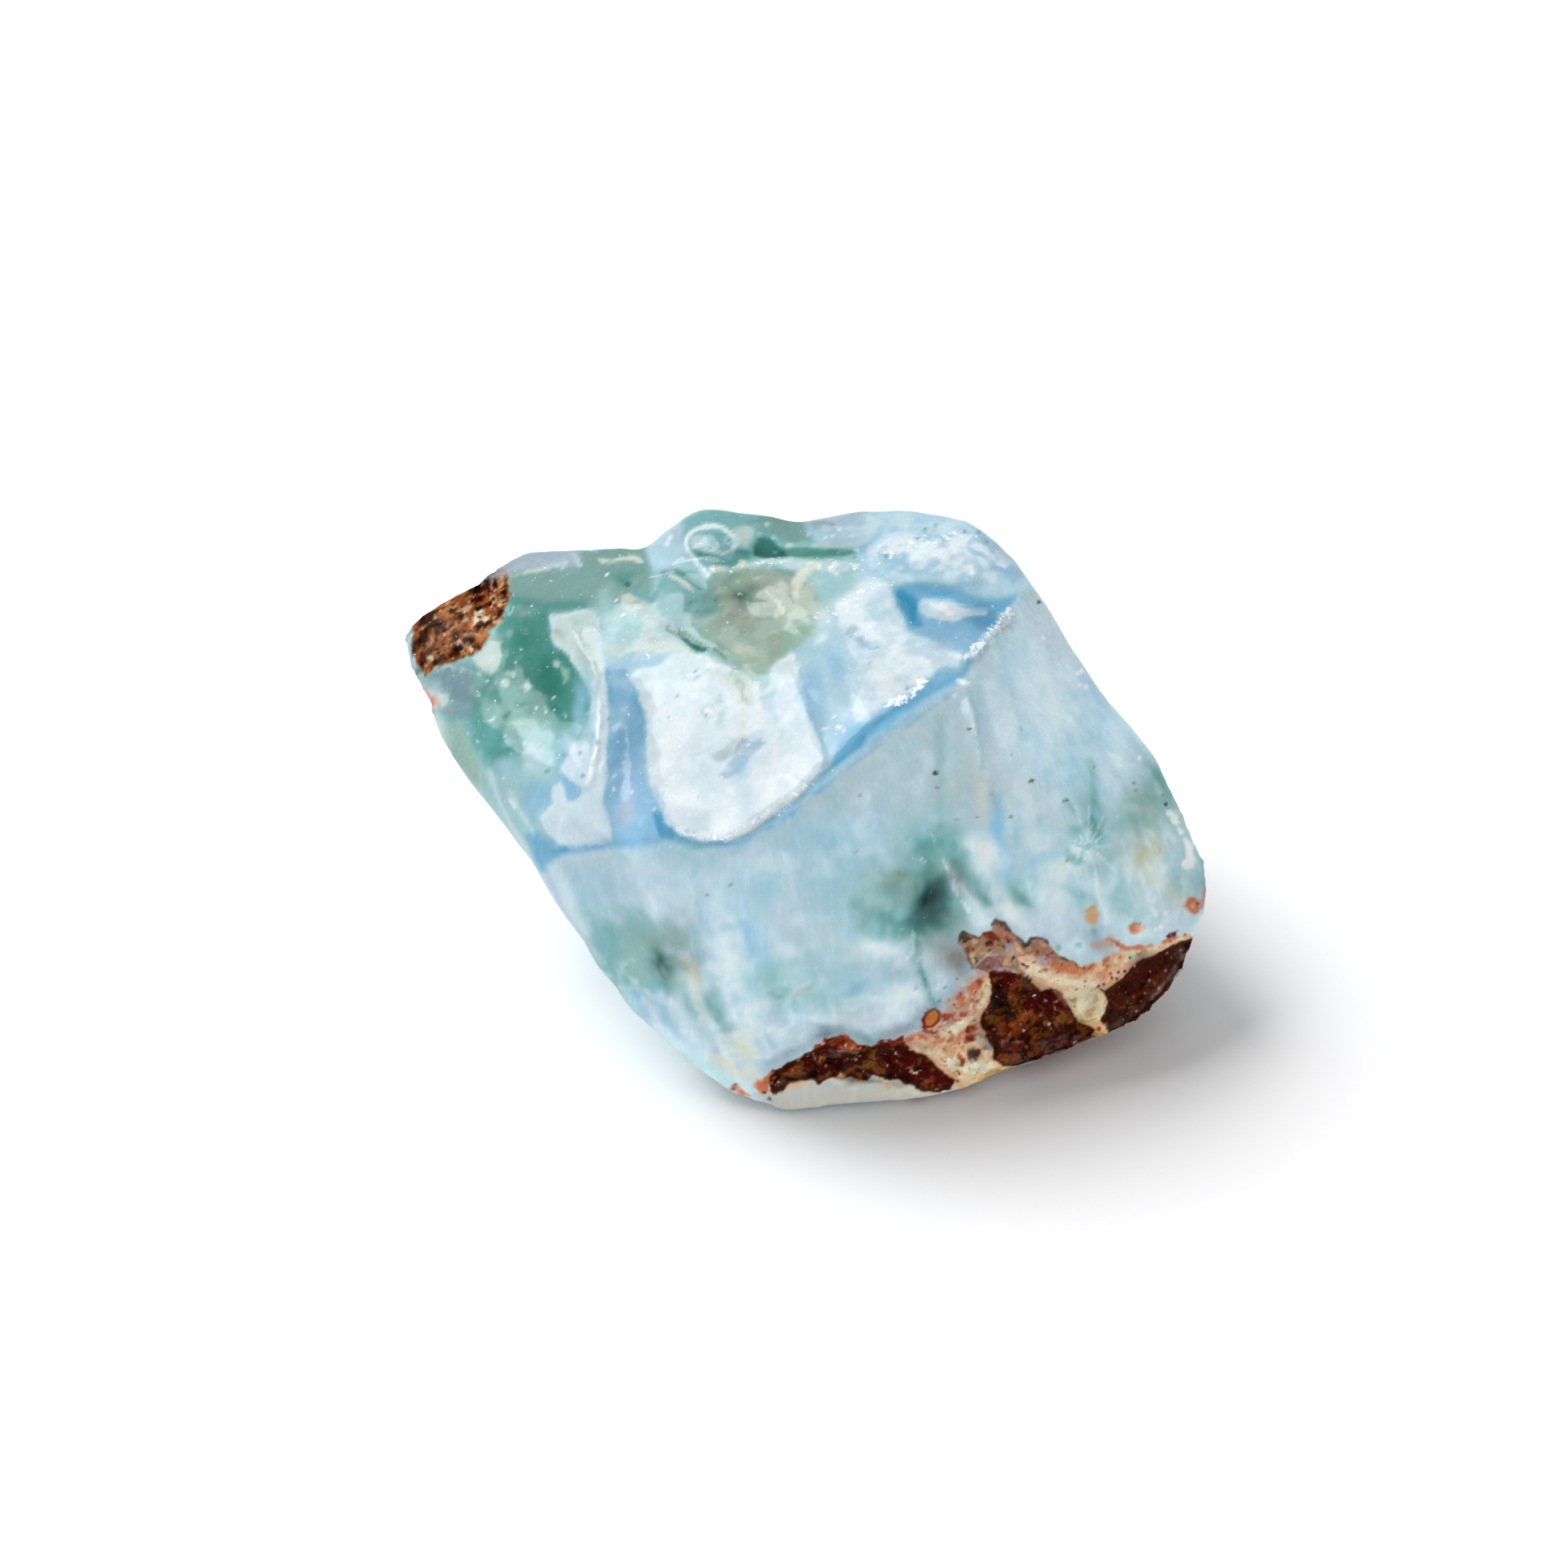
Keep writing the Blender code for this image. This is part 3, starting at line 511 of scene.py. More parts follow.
# Which way the stone's fibres run, in degrees, at places on the seen side.
GRAIN = [
    (-21.0, 4.0, -62), (-18.0, 0.0, -60), (-18.0, 8.0, -50), (-14.5, 6.0, -85), (-11.0, 3.0, -88), (-8.0, 4.0, -84),
    (-6.0, 0.5, -78), (-3.0, 2.5, -80), (0.5, 7.0, -75), (4.5, 9.0, -68), (-13.0, -5.0, -70), (-9.5, -6.0, -60),
    (-11.5, -9.0, -62), (-9.5, -12.0, -62), (-6.5, -12.0, -62), (-4.6, -10.0, -68), (-3.4, -8.0, -64),
    (-3.0, -14.0, -56), (0.0, -12.8, -86), (1.2, -10.6, -50), (3.5, -12.0, -92), (5.6, -12.0, -86),
    (8.2, -10.2, -62), (3.0, -5.0, -78), (6.0, 1.0, -94), (2.0, 1.0, -84), (-1.0, -3.0, -76), (-6.0, -5.0, -70),
    (8.6, -3.2, -64), (10.3, -5.6, -56), (11.8, -2.0, -88), (13.2, -5.0, -72), (15.0, -6.5, -60),
    (11.0, 6.0, -80), (14.0, 9.0, -66), (15.0, 3.0, -56), (18.5, 4.0, -60), (19.0, -5.0, -110), (22.0, -3.0, -95)]


def grain_turn(a, b):
    total, weights = np.zeros(a.shape), np.full(a.shape, 1e-6)
    for grain_u, grain_v, degrees in GRAIN:
        weight = np.exp(-((a - grain_u) ** 2 + (b - grain_v) ** 2) / 8.0)
        total += weight * math.radians(degrees)
        weights += weight
    return total / weights


def fibres(size, stride, seed):
    """A fine noise, smeared along the grain into silky fibres, about -1 to 1."""
    total = np.zeros(len(u))
    for way in (-stride, stride):
        a, b = u.copy(), v.copy()
        for _ in range(5):
            turn = grain_turn(a, b)
            total += np.array([noise.noise(Vector((p / size, q / size, seed))) for p, q in zip(a, b)])
            a += way * np.cos(turn)
            b += way * np.sin(turn)
    return total / (2.2 * total.std())


chalk = np.zeros(len(place))
silk = fibres(0.55, 0.3, 3.7)
ribbons = fibres(1.5, 0.6, 8.2)

# The broad colours of the faces that the viewer sees.
CREASE = [
    (-17.0, -3.3), (-15.3, -2.6), (-13.0, -2.2), (-10.0, -2.0), (-7.3, -1.9), (-5.4, -2.0), (-4.0, -1.4),
    (-2.0, 0.0), (0.9, 2.3), (2.2, 3.6), (3.5, 5.0), (5.0, 6.1), (7.0, 7.3), (8.8, 8.1), (9.6, 8.6),
    (11.0, 10.8), (12.0, 12.1), (12.9, 13.4), (13.8, 13.6)]
lay("grey blue", np.ones(len(place)))
patch("aqua", 1.0, 1.0, 0.0, [*CREASE, (14.0, 20.0), (-26.0, 20.0), (-27.0, 8.0)])

# Front face, from the crease down.
glow("grey blue", 0.8, 5.0, 4.0, 0, (4.0, 2.0))
glow("lake", 0.8, 5.0, 3.0, 0, (0.5, -3.0))
glow("grey blue", 0.6, 2.0, 2.6, 30, (2.8, 2.0))
glow("sky", 0.8, 3.4, 2.2, 0, (-9.5, -3.6))
glow("lilac", 0.7, 1.8, 0.8, 0, (-4.8, -3.2))
glow("lake", 0.6, 2.0, 1.6, 0, (-13.2, -5.0))
glow("sky", 0.8, 3.0, 4.5, 0, (-5.2, -7.0))
glow("lake", 0.7, 2.4, 3.0, 0, (2.0, -5.5))
glow("grey blue", 0.7, 2.6, 2.0, 0, (2.5, -8.6))
glow("mist", 0.5, 3.4, 1.6, 0, (3.2, -12.2))
glow("lilac", 0.6, 1.4, 2.0, 0, (12.2, 4.6))
glow("lilac", 0.7, 1.6, 2.4, 20, (14.3, 10.2))
glow("sky", 0.7, 1.2, 1.6, 0, (12.6, 8.8))
glow("ice", 0.7, 1.6, 2.2, 15, (15.0, 7.4))
glow("sky", 0.9, 2.2, 3.0, 20, (15.0, 3.2))
glow("ice", 0.6, 1.2, 2.0, 20, (12.6, 5.2))
glow("sky", 0.8, 2.0, 2.2, 30, (18.4, 5.0))
glow("sky", 0.6, 1.6, 2.0, 0, (18.3, 1.6))
glow("blue", 0.35, 1.4, 1.6, 0, (17.4, 7.4))
glow("mist", 0.7, 1.8, 2.6, 0, (13.7, -1.8))
glow("mist", 0.6, 2.8, 2.2, 0, (18.8, -4.6))
glow("sky", 0.6, 2.0, 1.4, 0, (14.2, -5.4))
glow("ice", 0.6, 1.6, 1.0, 0, (14.6, -6.4))
glow("grey blue", 0.6, 3.0, 2.2, 0, (8.0, -10.0))

# Silky ribbons and fibres run down the front face from the crease, with white
# cottony tufts and clear blue pools among them, more and more towards the foot.
on_front = 1.0 - eased(depth_inside(u, v, [*CREASE, (14.0, 20.0), (-26.0, 20.0), (-27.0, 8.0)]), -0.6, 0.2)
low_down = 0.35 + 0.65 * (1.0 - eased(v + 0.15 * u, -3.0, 3.0))
tufts = 0.8 * fibres(1.9, 0.45, 3.3) + 0.4 * ribbons + 0.35 * silk
pools = 0.8 * fibres(2.7, 0.6, 9.1) + 0.4 * fibres(1.0, 0.4, 12.7)
lay("blue", on_front * 0.45 * low_down * eased(pools, 0.1, 1.5))
lay("sea", on_front * 0.4 * low_down * eased(-pools, 0.3, 1.6))
lay("white", on_front * 0.65 * low_down * eased(tufts, 0.0, 1.3))
lay("lake", on_front * 0.35 * low_down * eased(-tufts, 0.2, 1.3))

# Lower left of the front face, under the crease.
patch("sea", 0.6, 1.4, 0.9, [
    (-13.8, -6.3), (-11.0, -6.0), (-9.0, -7.0), (-7.6, -8.2), (-7.7, -10.0), (-8.6, -11.2), (-10.2, -11.4),
    (-11.8, -11.0), (-13.2, -9.6), (-13.9, -7.8)])
streak("ice", 0.7, 0.4, 0.9, [(-15.9, -3.5), (-15.1, -5.0), (-14.6, -6.4), (-14.1, -7.6)])
streak("lilac", 0.6, 0.3, 0.6, [(-16.6, -4.2), (-15.5, -6.0), (-14.4, -7.6)])
glow("steel", 0.45, 1.6, 0.8, 0, (-12.9, -4.2))
glow("lilac", 0.5, 1.6, 0.6, 0, (-10.6, -3.6))
glow("lake", 0.6, 0.6, 0.5, 0, (-13.5, -5.3))
glow("aqua", 0.7, 1.2, 0.6, 0, (-13.2, -6.5))
glow("lilac", 0.7, 0.6, 0.4, 0, (-12.2, -6.4))
glow("sea", 0.35, 1.8, 0.7, -15, (-10.6, -6.9))
glow("sea", 0.8, 0.9, 0.7, 0, (-12.6, -8.0))
glow("sea", 0.85, 0.9, 1.2, 20, (-11.8, -9.4))
glow("sea", 0.7, 0.6, 0.8, 30, (-11.1, -10.6))
glow("sage", 0.6, 1.1, 1.4, 0, (-10.3, -9.2))
glow("moss", 0.65, 1.5, 0.8, -20, (-9.6, -8.1))
glow("stone grey", 0.3, 1.4, 0.9, -35, (-8.4, -7.8))
glow("steel", 0.75, 0.7, 0.5, 0, (-7.1, -8.4))
patch("teal", 0.85, 0.9, 0.3, [
    (-9.4, -9.0), (-9.0, -8.7), (-8.5, -8.9), (-8.2, -9.4), (-8.3, -9.9), (-8.9, -10.0), (-9.4, -9.7)])
glow("sea", 0.7, 1.4, 1.2, 0, (-9.2, -9.2))
glow("fir", 0.8, 0.6, 0.6, 0, (-8.9, -9.3))
glow("sea", 0.8, 0.9, 0.5, 0, (-9.2, -10.6))
glow("sage", 0.7, 0.7, 0.7, 0, (-7.8, -10.2))
glow("ice", 0.45, 0.5, 0.9, 30, (-13.6, -8.8))
streak("aqua", 0.8, 0.3, 0.6, [(-11.6, -10.9), (-11.0, -12.0), (-10.2, -13.0)])
streak("blue", 0.6, 0.25, 0.6, [(-10.9, -11.1), (-10.5, -11.7), (-10.2, -12.4)])
streak("blue", 0.6, 0.3, 0.6, [(-9.6, -11.0), (-9.3, -11.8), (-9.0, -12.7), (-8.4, -13.8)])
streak("ice", 0.6, 0.4, 0.8, [(-8.5, -11.8), (-8.0, -12.8), (-7.2, -14.2), (-6.6, -15.0)])
streak("sea", 0.65, 0.2, 0.5, [(-7.8, -11.3), (-7.6, -12.0), (-7.1, -12.6)])
streak("ice", 0.6, 0.35, 0.7, [(-9.3, -13.4), (-8.2, -14.4), (-7.0, -15.3)])
streak("sand", 0.65, 0.3, 0.6, [(-7.9, -9.0), (-7.3, -9.8), (-7.1, -10.6), (-6.9, -11.6), (-6.5, -12.5)])
streak("mist", 0.7, 0.12, 0.4, [(-6.9, -11.4), (-6.6, -12.4), (-5.8, -13.6), (-4.9, -14.6)])
glow("mist", 0.6, 0.6, 0.5, 0, (-6.4, -9.3))
patch("sea", 0.8, 0.8, 0.3, [
    (-6.6, -11.0), (-5.8, -11.0), (-5.3, -11.9), (-5.2, -12.8), (-4.5, -13.4), (-5.2, -13.6), (-6.0, -13.0),
    (-6.5, -12.2)])
glow("teal", 0.45, 0.4, 0.8, 20, (-6.1, -12.1))
glow("sea", 0.5, 0.5, 0.5, 0, (-6.3, -10.3))
glow("cream", 0.4, 1.1, 0.6, -30, (-4.4, -14.8))
streak("sand", 0.6, 0.3, 0.8, [(-6.0, -15.1), (-4.8, -16.0), (-3.4, -16.3)])
streak("aqua", 0.6, 0.5, 0.9, [(-7.6, -15.2), (-6.2, -16.1), (-5.3, -16.8)])
spot("steel", 0.7, 0.3, (-5.85, -14.75), (-4.4, -15.7))

# Middle of the front face, down to the host rock.
patch("ice", 0.75, 1.1, 0.5, [
    (-6.4, -6.4), (-4.8, -6.8), (-4.3, -8.0), (-3.7, -9.4), (-3.0, -10.6), (-2.9, -12.4), (-3.4, -13.8),
    (-4.0, -13.4), (-4.8, -12.2), (-5.4, -10.6), (-6.0, -9.0), (-6.6, -7.6)])
streak("white", 0.5, 0.2, 0.7, [(-5.2, -9.0), (-4.7, -10.4), (-4.2, -11.8), (-3.7, -13.0)])
patch("blue", 0.55, 0.6, 0.2, [
    (-4.4, -6.6), (-3.7, -6.9), (-3.0, -7.6), (-2.5, -8.6), (-2.3, -9.7), (-3.0, -9.9), (-3.6, -9.2),
    (-4.0, -8.3), (-4.3, -7.4)])
streak("blue", 0.75, 0.16, 0.5, [(-4.15, -6.9), (-3.9, -7.9), (-3.5, -8.8)])
glow("aqua", 0.7, 0.5, 0.7, 0, (-2.8, -10.0))
streak("blue", 0.45, 0.2, 0.7, [(-7.0, -5.6), (-6.7, -6.6), (-6.3, -7.4)])
patch("sea", 0.85, 0.45, 0.15, [
    (-2.7, -11.2), (-2.2, -10.85), (-1.6, -10.7), (-1.2, -10.85), (-1.5, -11.3), (-2.0, -11.55), (-2.5, -11.4)])
glow("sea", 0.5, 0.4, 0.9, 0, (-2.2, -12.2))
glow("lilac", 0.5, 1.4, 0.9, 0, (-1.4, -6.3))
patch("sea", 0.8, 0.2, 0.05, [
    (-1.05, -11.5), (-0.8, -11.8), (-0.78, -12.2), (-0.95, -12.5), (-1.25, -12.3), (-1.35, -11.9)])
streak("mist", 0.6, 0.08, 0.25, [(-1.1, -11.3), (-0.6, -11.7), (-0.6, -12.3), (-0.9, -12.75)])
streak("steel", 0.5, 0.2, 0.5, [(-1.8, -12.6), (-1.4, -13.5)])
glow("steel", 0.6, 0.5, 0.4, 0, (-2.6, -12.8))
streak("steel", 0.85, 0.14, 0.3, [(-2.85, -13.8), (-2.55, -14.2), (-2.25, -14.5)])
streak("steel", 0.6, 0.2, 0.5, [(-3.4, -14.1), (-3.1, -14.9), (-2.8, -15.5)])
spot("steel", 0.7, 0.15, (-1.6, -12.3))
spot("white", 0.8, 0.1, (-2.05, -11.75))
streak("tan", 0.85, 0.07, 0.3, [(-0.95, -11.2), (-0.5, -10.98), (-0.1, -10.9)])
streak("sand", 0.5, 0.06, 0.3, [(-0.1, -10.9), (0.5, -10.95)])
glow("sea", 0.4, 1.8, 0.8, 0, (0.6, -9.8))
glow("sea", 0.7, 0.7, 0.5, 0, (2.5, -10.4))
glow("sea", 0.4, 0.6, 0.4, 0, (0.5, -11.4))
glow("mist", 0.7, 1.6, 0.8, 10, (3.6, -8.5))
glow("khaki", 0.25, 1.0, 0.5, 0, (3.2, -8.3))
glow("blue", 0.4, 0.8, 0.9, 0, (4.2, -11.6))
glow("mist", 0.5, 0.9, 0.3, 0, (2.9, -11.4))
streak("mist", 0.6, 0.06, 0.25, [(0.2, -9.7), (1.1, -10.9), (2.2, -12.0)])
glow("mist", 0.5, 0.4, 0.3, 0, (1.3, -9.7))
glow("ice", 0.5, 1.8, 0.7, 0, (0.8, -12.4))
glow("ice", 0.7, 0.6, 0.9, 0, (3.4, -13.2))
glow("ice", 0.6, 0.9, 1.6, 0, (5.6, -11.4))
glow("lilac", 0.4, 1.2, 0.6, 0, (5.0, -12.8))

# The green hollow in the middle of the front, and its pale ridge.
glow("sea", 0.7, 2.6, 2.0, 0, (5.4, -5.0))
glow("sage", 0.6, 1.6, 1.4, 0, (4.2, -4.6))
glow("sea", 0.8, 1.2, 1.0, -30, (9.2, -4.6))
glow("teal", 0.7, 0.5, 0.5, 0, (8.9, -2.5))
patch("teal", 0.6, 1.6, 0.5, [
    (2.6, -5.6), (4.4, -5.9), (6.6, -6.0), (8.4, -5.6), (9.3, -6.4), (9.0, -7.6), (7.0, -7.8), (4.8, -7.8),
    (3.0, -7.0)])
glow("sea", 0.6, 2.6, 2.6, 0, (7.0, -4.6))
glow("teal", 0.85, 1.1, 3.0, -8, (7.4, -4.6))
glow("teal", 0.8, 0.9, 1.3, 30, (7.5, -2.5))
patch("teal", 0.85, 0.8, 0.3, [
    (4.2, -6.3), (5.6, -6.3), (6.8, -5.8), (7.2, -4.6), (8.0, -4.2), (8.8, -5.6), (8.4, -7.2), (6.8, -7.7),
    (5.0, -7.5)])
patch("pine", 0.95, 0.8, 0.3, [
    (7.3, -4.2), (8.0, -3.9), (8.5, -4.8), (8.6, -5.9), (8.0, -6.8), (6.9, -7.3), (5.8, -7.2), (5.4, -6.8),
    (6.3, -6.3), (6.9, -5.6), (7.1, -4.9)])
patch("ink", 0.95, 0.9, 0.3, [
    (7.6, -4.6), (8.1, -5.0), (8.1, -5.8), (7.4, -6.5), (6.6, -7.0), (6.2, -6.8), (6.7, -6.0), (7.2, -5.2)])
patch("moss", 0.85, 0.6, 0.2, [
    (4.3, -3.9), (5.6, -3.6), (6.6, -4.0), (6.75, -5.0), (6.5, -5.8), (5.9, -6.4), (5.1, -5.9), (4.6, -5.2)])
glow("sage", 0.6, 0.7, 0.8, 0, (5.8, -5.0))
streak("straw", 0.75, 0.08, 0.3, [(6.55, -4.3), (6.78, -5.0), (6.65, -5.6), (6.2, -6.1)])
glow("moss", 0.5, 0.8, 0.8, 0, (7.5, -3.6))
patch("teal", 0.8, 0.6, 0.2, [(8.4, -1.9), (9.1, -2.0), (9.3, -2.6), (8.9, -3.0), (8.4, -2.7)])
streak("mist", 0.75, 0.2, 0.6, [(7.3, -1.6), (8.0, -2.9), (8.9, -3.9), (9.4, -5.0), (10.2, -6.2), (10.8, -7.0)])
streak("white", 0.45, 0.08, 0.3, [(7.6, -1.9), (8.3, -3.0), (9.1, -4.1), (9.7, -5.2), (10.5, -6.4)])
streak("sand", 0.4, 0.12, 0.4, [(8.4, -3.2), (9.1, -4.2), (9.3, -5.0)])
streak("teal", 0.6, 0.22, 0.6, [(8.7, -4.2), (9.0, -5.2), (9.3, -6.2)])
glow("ice", 0.8, 0.8, 0.7, 0, (10.6, -2.6))
glow("ice", 0.8, 0.6, 0.6, 0, (10.0, -6.8))
glow("stone grey", 0.35, 0.6, 0.6, 0, (8.7, -6.9))
patch("teal", 0.85, 0.5, 0.15, [
    (10.0, -3.9), (10.3, -4.5), (10.8, -5.2), (11.0, -5.7), (10.6, -5.8), (10.2, -5.2), (10.0, -4.8)])
glow("sea", 0.6, 0.5, 0.5, 0, (10.6, -4.3))
patch("blue", 0.7, 0.7, 0.2, [
    (11.0, 1.2), (11.6, 1.0), (11.8, -0.6), (12.1, -1.8), (12.4, -3.2), (12.3, -4.4), (11.8, -4.2), (11.7, -3.0),
    (11.2, -1.8), (10.9, -0.6)])
patch("sea", 0.8, 0.5, 0.15, [
    (12.1, -4.4), (12.7, -4.8), (13.1, -5.4), (13.2, -6.0), (12.8, -6.3), (12.3, -5.7), (12.0, -5.0)])
glow("teal", 0.5, 0.35, 0.5, 20, (12.8, -5.5))
patch("aqua", 0.8, 0.4, 0.1, [(12.5, -3.7), (13.9, -3.9), (14.1, -4.6), (13.6, -5.3), (13.1, -5.3), (12.6, -4.6)])
glow("blue", 0.5, 0.35, 0.6, 0, (13.3, -2.6))
streak("sea", 0.55, 0.05, 0.2, [(13.1, -5.4), (13.7, -5.35), (14.1, -4.9), (14.2, -4.2)])
glow("ice", 0.7, 0.5, 1.0, 0, (11.5, -5.0))
glow("ice", 0.6, 1.4, 1.2, -20, (14.6, -5.6))
glow("ice", 0.7, 1.2, 0.5, -35, (12.4, -6.5))
streak("steel", 0.7, 0.2, 0.5, [(11.0, -6.2), (11.7, -6.3), (12.2, -6.9)])
streak("steel", 0.7, 0.18, 0.5, [(13.1, -7.3), (13.8, -7.35), (14.5, -7.7), (15.2, -8.3)])
glow("ice", 0.75, 0.5, 0.4, 0, (16.2, -8.4))
spot("sea", 0.8, 0.24, (15.2, -8.4), (16.4, -8.2), (17.4, -7.4))
# The snow-white streak here is a painted glint.
streak("snow", 0.9, 0.06, 0.2, [(6.75, -2.95), (6.95, -3.1)])
patch("aqua", 0.8, 0.15, 0.05, [
    (6.2, -7.3), (6.33, -7.6), (6.33, -8.2), (6.2, -8.7), (5.95, -9.05), (6.05, -8.6), (6.05, -7.9)])
# The bright rim of the crescent and the white specks beside it are painted highlights.
streak("snow", 0.9, 0.04, 0.14, [(6.25, -7.3), (6.36, -7.8), (6.3, -8.4), (6.1, -8.8), (5.9, -9.05)], 0.03)
streak("snow", 0.85, 0.07, 0.15, [(5.35, -7.2), (5.65, -7.22)], 0.05)
streak("snow", 0.7, 0.06, 0.15, [(5.5, -7.4), (5.5, -7.65), (5.3, -7.8)], 0.05)
glow("stone grey", 0.3, 1.0, 0.6, 0, (7.6, -8.2))
glow("fog", 0.4, 0.6, 0.6, 0, (7.6, -9.2))
glow("haze", 0.7, 0.9, 0.8, 0, (8.3, -10.8))
streak("sea", 0.6, 0.16, 0.5, [(6.3, -8.9), (6.7, -9.8), (7.0, -10.6), (7.4, -11.4), (7.8, -11.9)])
streak("teal", 0.75, 0.07, 0.25, [(6.6, -9.8), (7.0, -10.5), (7.3, -11.2), (7.7, -11.8)])
streak("mist", 0.6, 0.2, 0.5, [(6.0, -9.6), (6.4, -10.8), (6.9, -11.8)])
streak("steel", 0.6, 0.06, 0.2, [(8.2, -10.6), (8.7, -10.1), (9.3, -9.5)])
spot("ink", 0.8, 0.11, (6.95, -10.3), (8.95, -10.3), (8.25, -10.85), (7.85, -11.7), (8.45, -11.6), (6.45, -10.85))
spot("steel", 0.8, 0.22, (9.3, -9.4), (9.6, -9.9), (9.2, -11.2))

# The edge that runs down from the crease, and the faint seams beside it.
streak("sea", 0.35, 0.3, 1.0, [(8.0, 5.6), (8.05, 3.0), (8.1, 1.0), (7.9, -0.6)])
glow("lake", 0.5, 0.7, 1.2, 0, (7.4, 0.2))
# The white patch at the top of the edge is a painted highlight on its broken ridge.
patch("white", 0.85, 0.25, 0.15, [
    (9.1, 6.6), (9.3, 6.95), (9.55, 7.15), (9.75, 6.6), (10.0, 5.9), (10.15, 5.1), (10.12, 4.6),
    (9.9, 5.1), (9.7, 5.5), (9.4, 6.0)])
streak("steel", 0.5, 0.1, 0.3, [(9.3, 6.5), (9.6, 6.0), (9.8, 5.6)])
streak("ice", 0.7, 0.12, 0.35, [(10.2, 4.3), (10.35, 3.6), (10.4, 3.0)])
streak("sea", 0.5, 0.12, 0.4, [(9.75, 7.3), (10.1, 6.2), (10.3, 4.6), (10.5, 3.6), (10.5, 2.8)])
streak("steel", 0.5, 0.35, 0.9, [(10.2, 7.2), (10.5, 6.0), (10.8, 4.6)])
streak("stone grey", 0.35, 0.06, 0.3, [(11.0, 2.1), (11.2, 1.3), (11.3, 0.2)])
glow("sand", 0.35, 0.5, 1.2, 0, (10.7, 0.9))
streak("blue", 0.5, 0.3, 0.8, [(11.4, 1.2), (11.5, 0.0), (11.4, -1.0)])
streak("steel", 0.35, 0.12, 0.5, [(11.5, 10.5), (12.2, 8.0), (12.7, 6.0), (12.9, 5.0)])
streak("ice", 0.8, 0.12, 0.35, [(9.0, 8.1), (9.7, 7.9)])
spot("ice", 0.7, 0.14, (8.8, 7.15), (8.85, 7.2))

# Right end, with its fibres and stains, and painted glints on its glassy edges.
for spoke in range(19):
    turn = math.radians(360.0 * spoke / 19.0 + 14.0 * math.sin(7.0 * spoke))
    tip = 2.2 + 1.1 * math.sin(3.3 * spoke)
    streak("ice" if spoke % 2 else "lake", 0.4, 0.05, 0.5, [
        (17.2 + 0.4 * math.cos(turn), -2.7 + 0.4 * math.sin(turn)),
        (17.2 + tip * math.cos(turn), -2.7 + tip * math.sin(turn))])
streak("sea", 0.8, 0.26, 0.8, [(17.2, 3.0), (17.3, 1.5), (17.5, 0.2), (17.5, -1.2)])
streak("teal", 0.6, 0.14, 0.4, [(17.35, 0.4), (17.35, -0.8), (17.45, -1.45)])
patch("sea", 0.8, 0.3, 0.1, [(17.3, -1.2), (18.1, -1.3), (18.2, -1.8), (17.8, -1.9), (17.4, -1.6)])
streak("sea", 0.65, 0.12, 0.4, [(15.6, 0.7), (16.2, 0.0), (16.8, -0.8), (17.1, -1.6)])
streak("mist", 0.7, 0.07, 0.25, [(15.9, 0.9), (16.5, -0.1), (17.0, -1.1)])
glow("sea", 0.55, 0.5, 0.3, -30, (16.0, -0.9))
patch("sea", 0.8, 0.25, 0.1, [
    (15.45, -2.45), (15.9, -2.3), (16.2, -2.35), (16.35, -2.15), (16.8, -2.4), (16.8, -3.2), (16.6, -3.35),
    (16.1, -3.3), (15.95, -3.1), (15.65, -3.05)])
glow("straw", 0.5, 0.4, 0.5, 0, (17.4, -2.4))
streak("mist", 0.85, 0.1, 0.35, [(16.95, -2.2), (16.98, -3.0), (17.0, -3.9)])
glow("mist", 0.6, 0.5, 1.0, 0, (17.3, -5.0))
patch("white", 0.85, 0.25, 0.1, [(16.0, -3.35), (16.75, -3.25), (16.6, -3.9), (16.2, -4.1), (15.9, -3.7)])
glow("sea", 0.5, 0.5, 0.8, 20, (18.4, -3.2))
# These two white specks are painted glints.
spot("snow", 0.95, 0.15, (15.72, -3.33), (15.78, -3.25))
spot("ink", 0.8, 0.13, (15.7, -3.08))
streak("blue", 0.6, 0.18, 0.5, [(16.0, -4.0), (16.3, -4.6), (16.7, -5.2)])
glow("sea", 0.4, 1.2, 1.5, 0, (18.2, -3.0))
glow("sage", 0.75, 1.8, 1.3, 0, (20.8, -0.1))
glow("moss", 0.35, 0.9, 0.6, 0, (20.2, 0.1))
glow("sea", 0.8, 0.7, 1.5, 20, (21.5, 1.6))
glow("teal", 0.6, 0.4, 0.9, 20, (21.6, 2.3))
# This pale shape is a painted glint.
patch("mist", 0.9, 0.25, 0.15, [(21.1, 1.9), (21.35, 1.9), (21.65, 1.2), (21.4, 1.0), (21.15, 1.2)])
glow("aqua", 0.6, 0.9, 1.8, 0, (22.9, -2.6))
glow("straw", 0.8, 1.0, 1.3, 10, (20.7, -3.0))
streak("straw", 0.5, 0.4, 1.0, [(21.0, -3.8), (21.9, -4.7), (22.8, -5.6)])
glow("sea", 0.45, 0.7, 1.0, 0, (23.6, -4.3))
# The white shape at the right end is a painted highlight, and so is the short ice streak after it.
patch("snow", 0.75, 0.3, 0.2, [
    (23.1, -2.0), (23.4, -2.0), (23.45, -2.6), (23.75, -3.0), (23.55, -3.5), (23.2, -3.6), (23.3, -2.8)])
streak("ice", 0.6, 0.12, 0.3, [(22.4, 0.1), (22.6, -0.2)])
streak("sea", 0.5, 0.15, 0.5, [(23.9, -2.0), (24.2, -3.4), (24.2, -4.4)])
patch("salmon", 0.8, 0.35, 0.25, [(23.2, -5.4), (23.6, -5.2), (23.9, -5.6), (23.8, -6.0), (23.3, -6.2), (23.05, -5.8)])
spot("rust", 0.9, 0.16, (23.65, -5.8), (23.75, -5.65))
streak("salmon", 0.7, 0.1, 0.3, [(24.35, -4.5), (24.2, -5.2), (24.0, -6.0)])
streak("mist", 0.7, 0.2, 0.4, [(24.0, -6.2), (23.7, -7.0), (23.2, -7.7)])
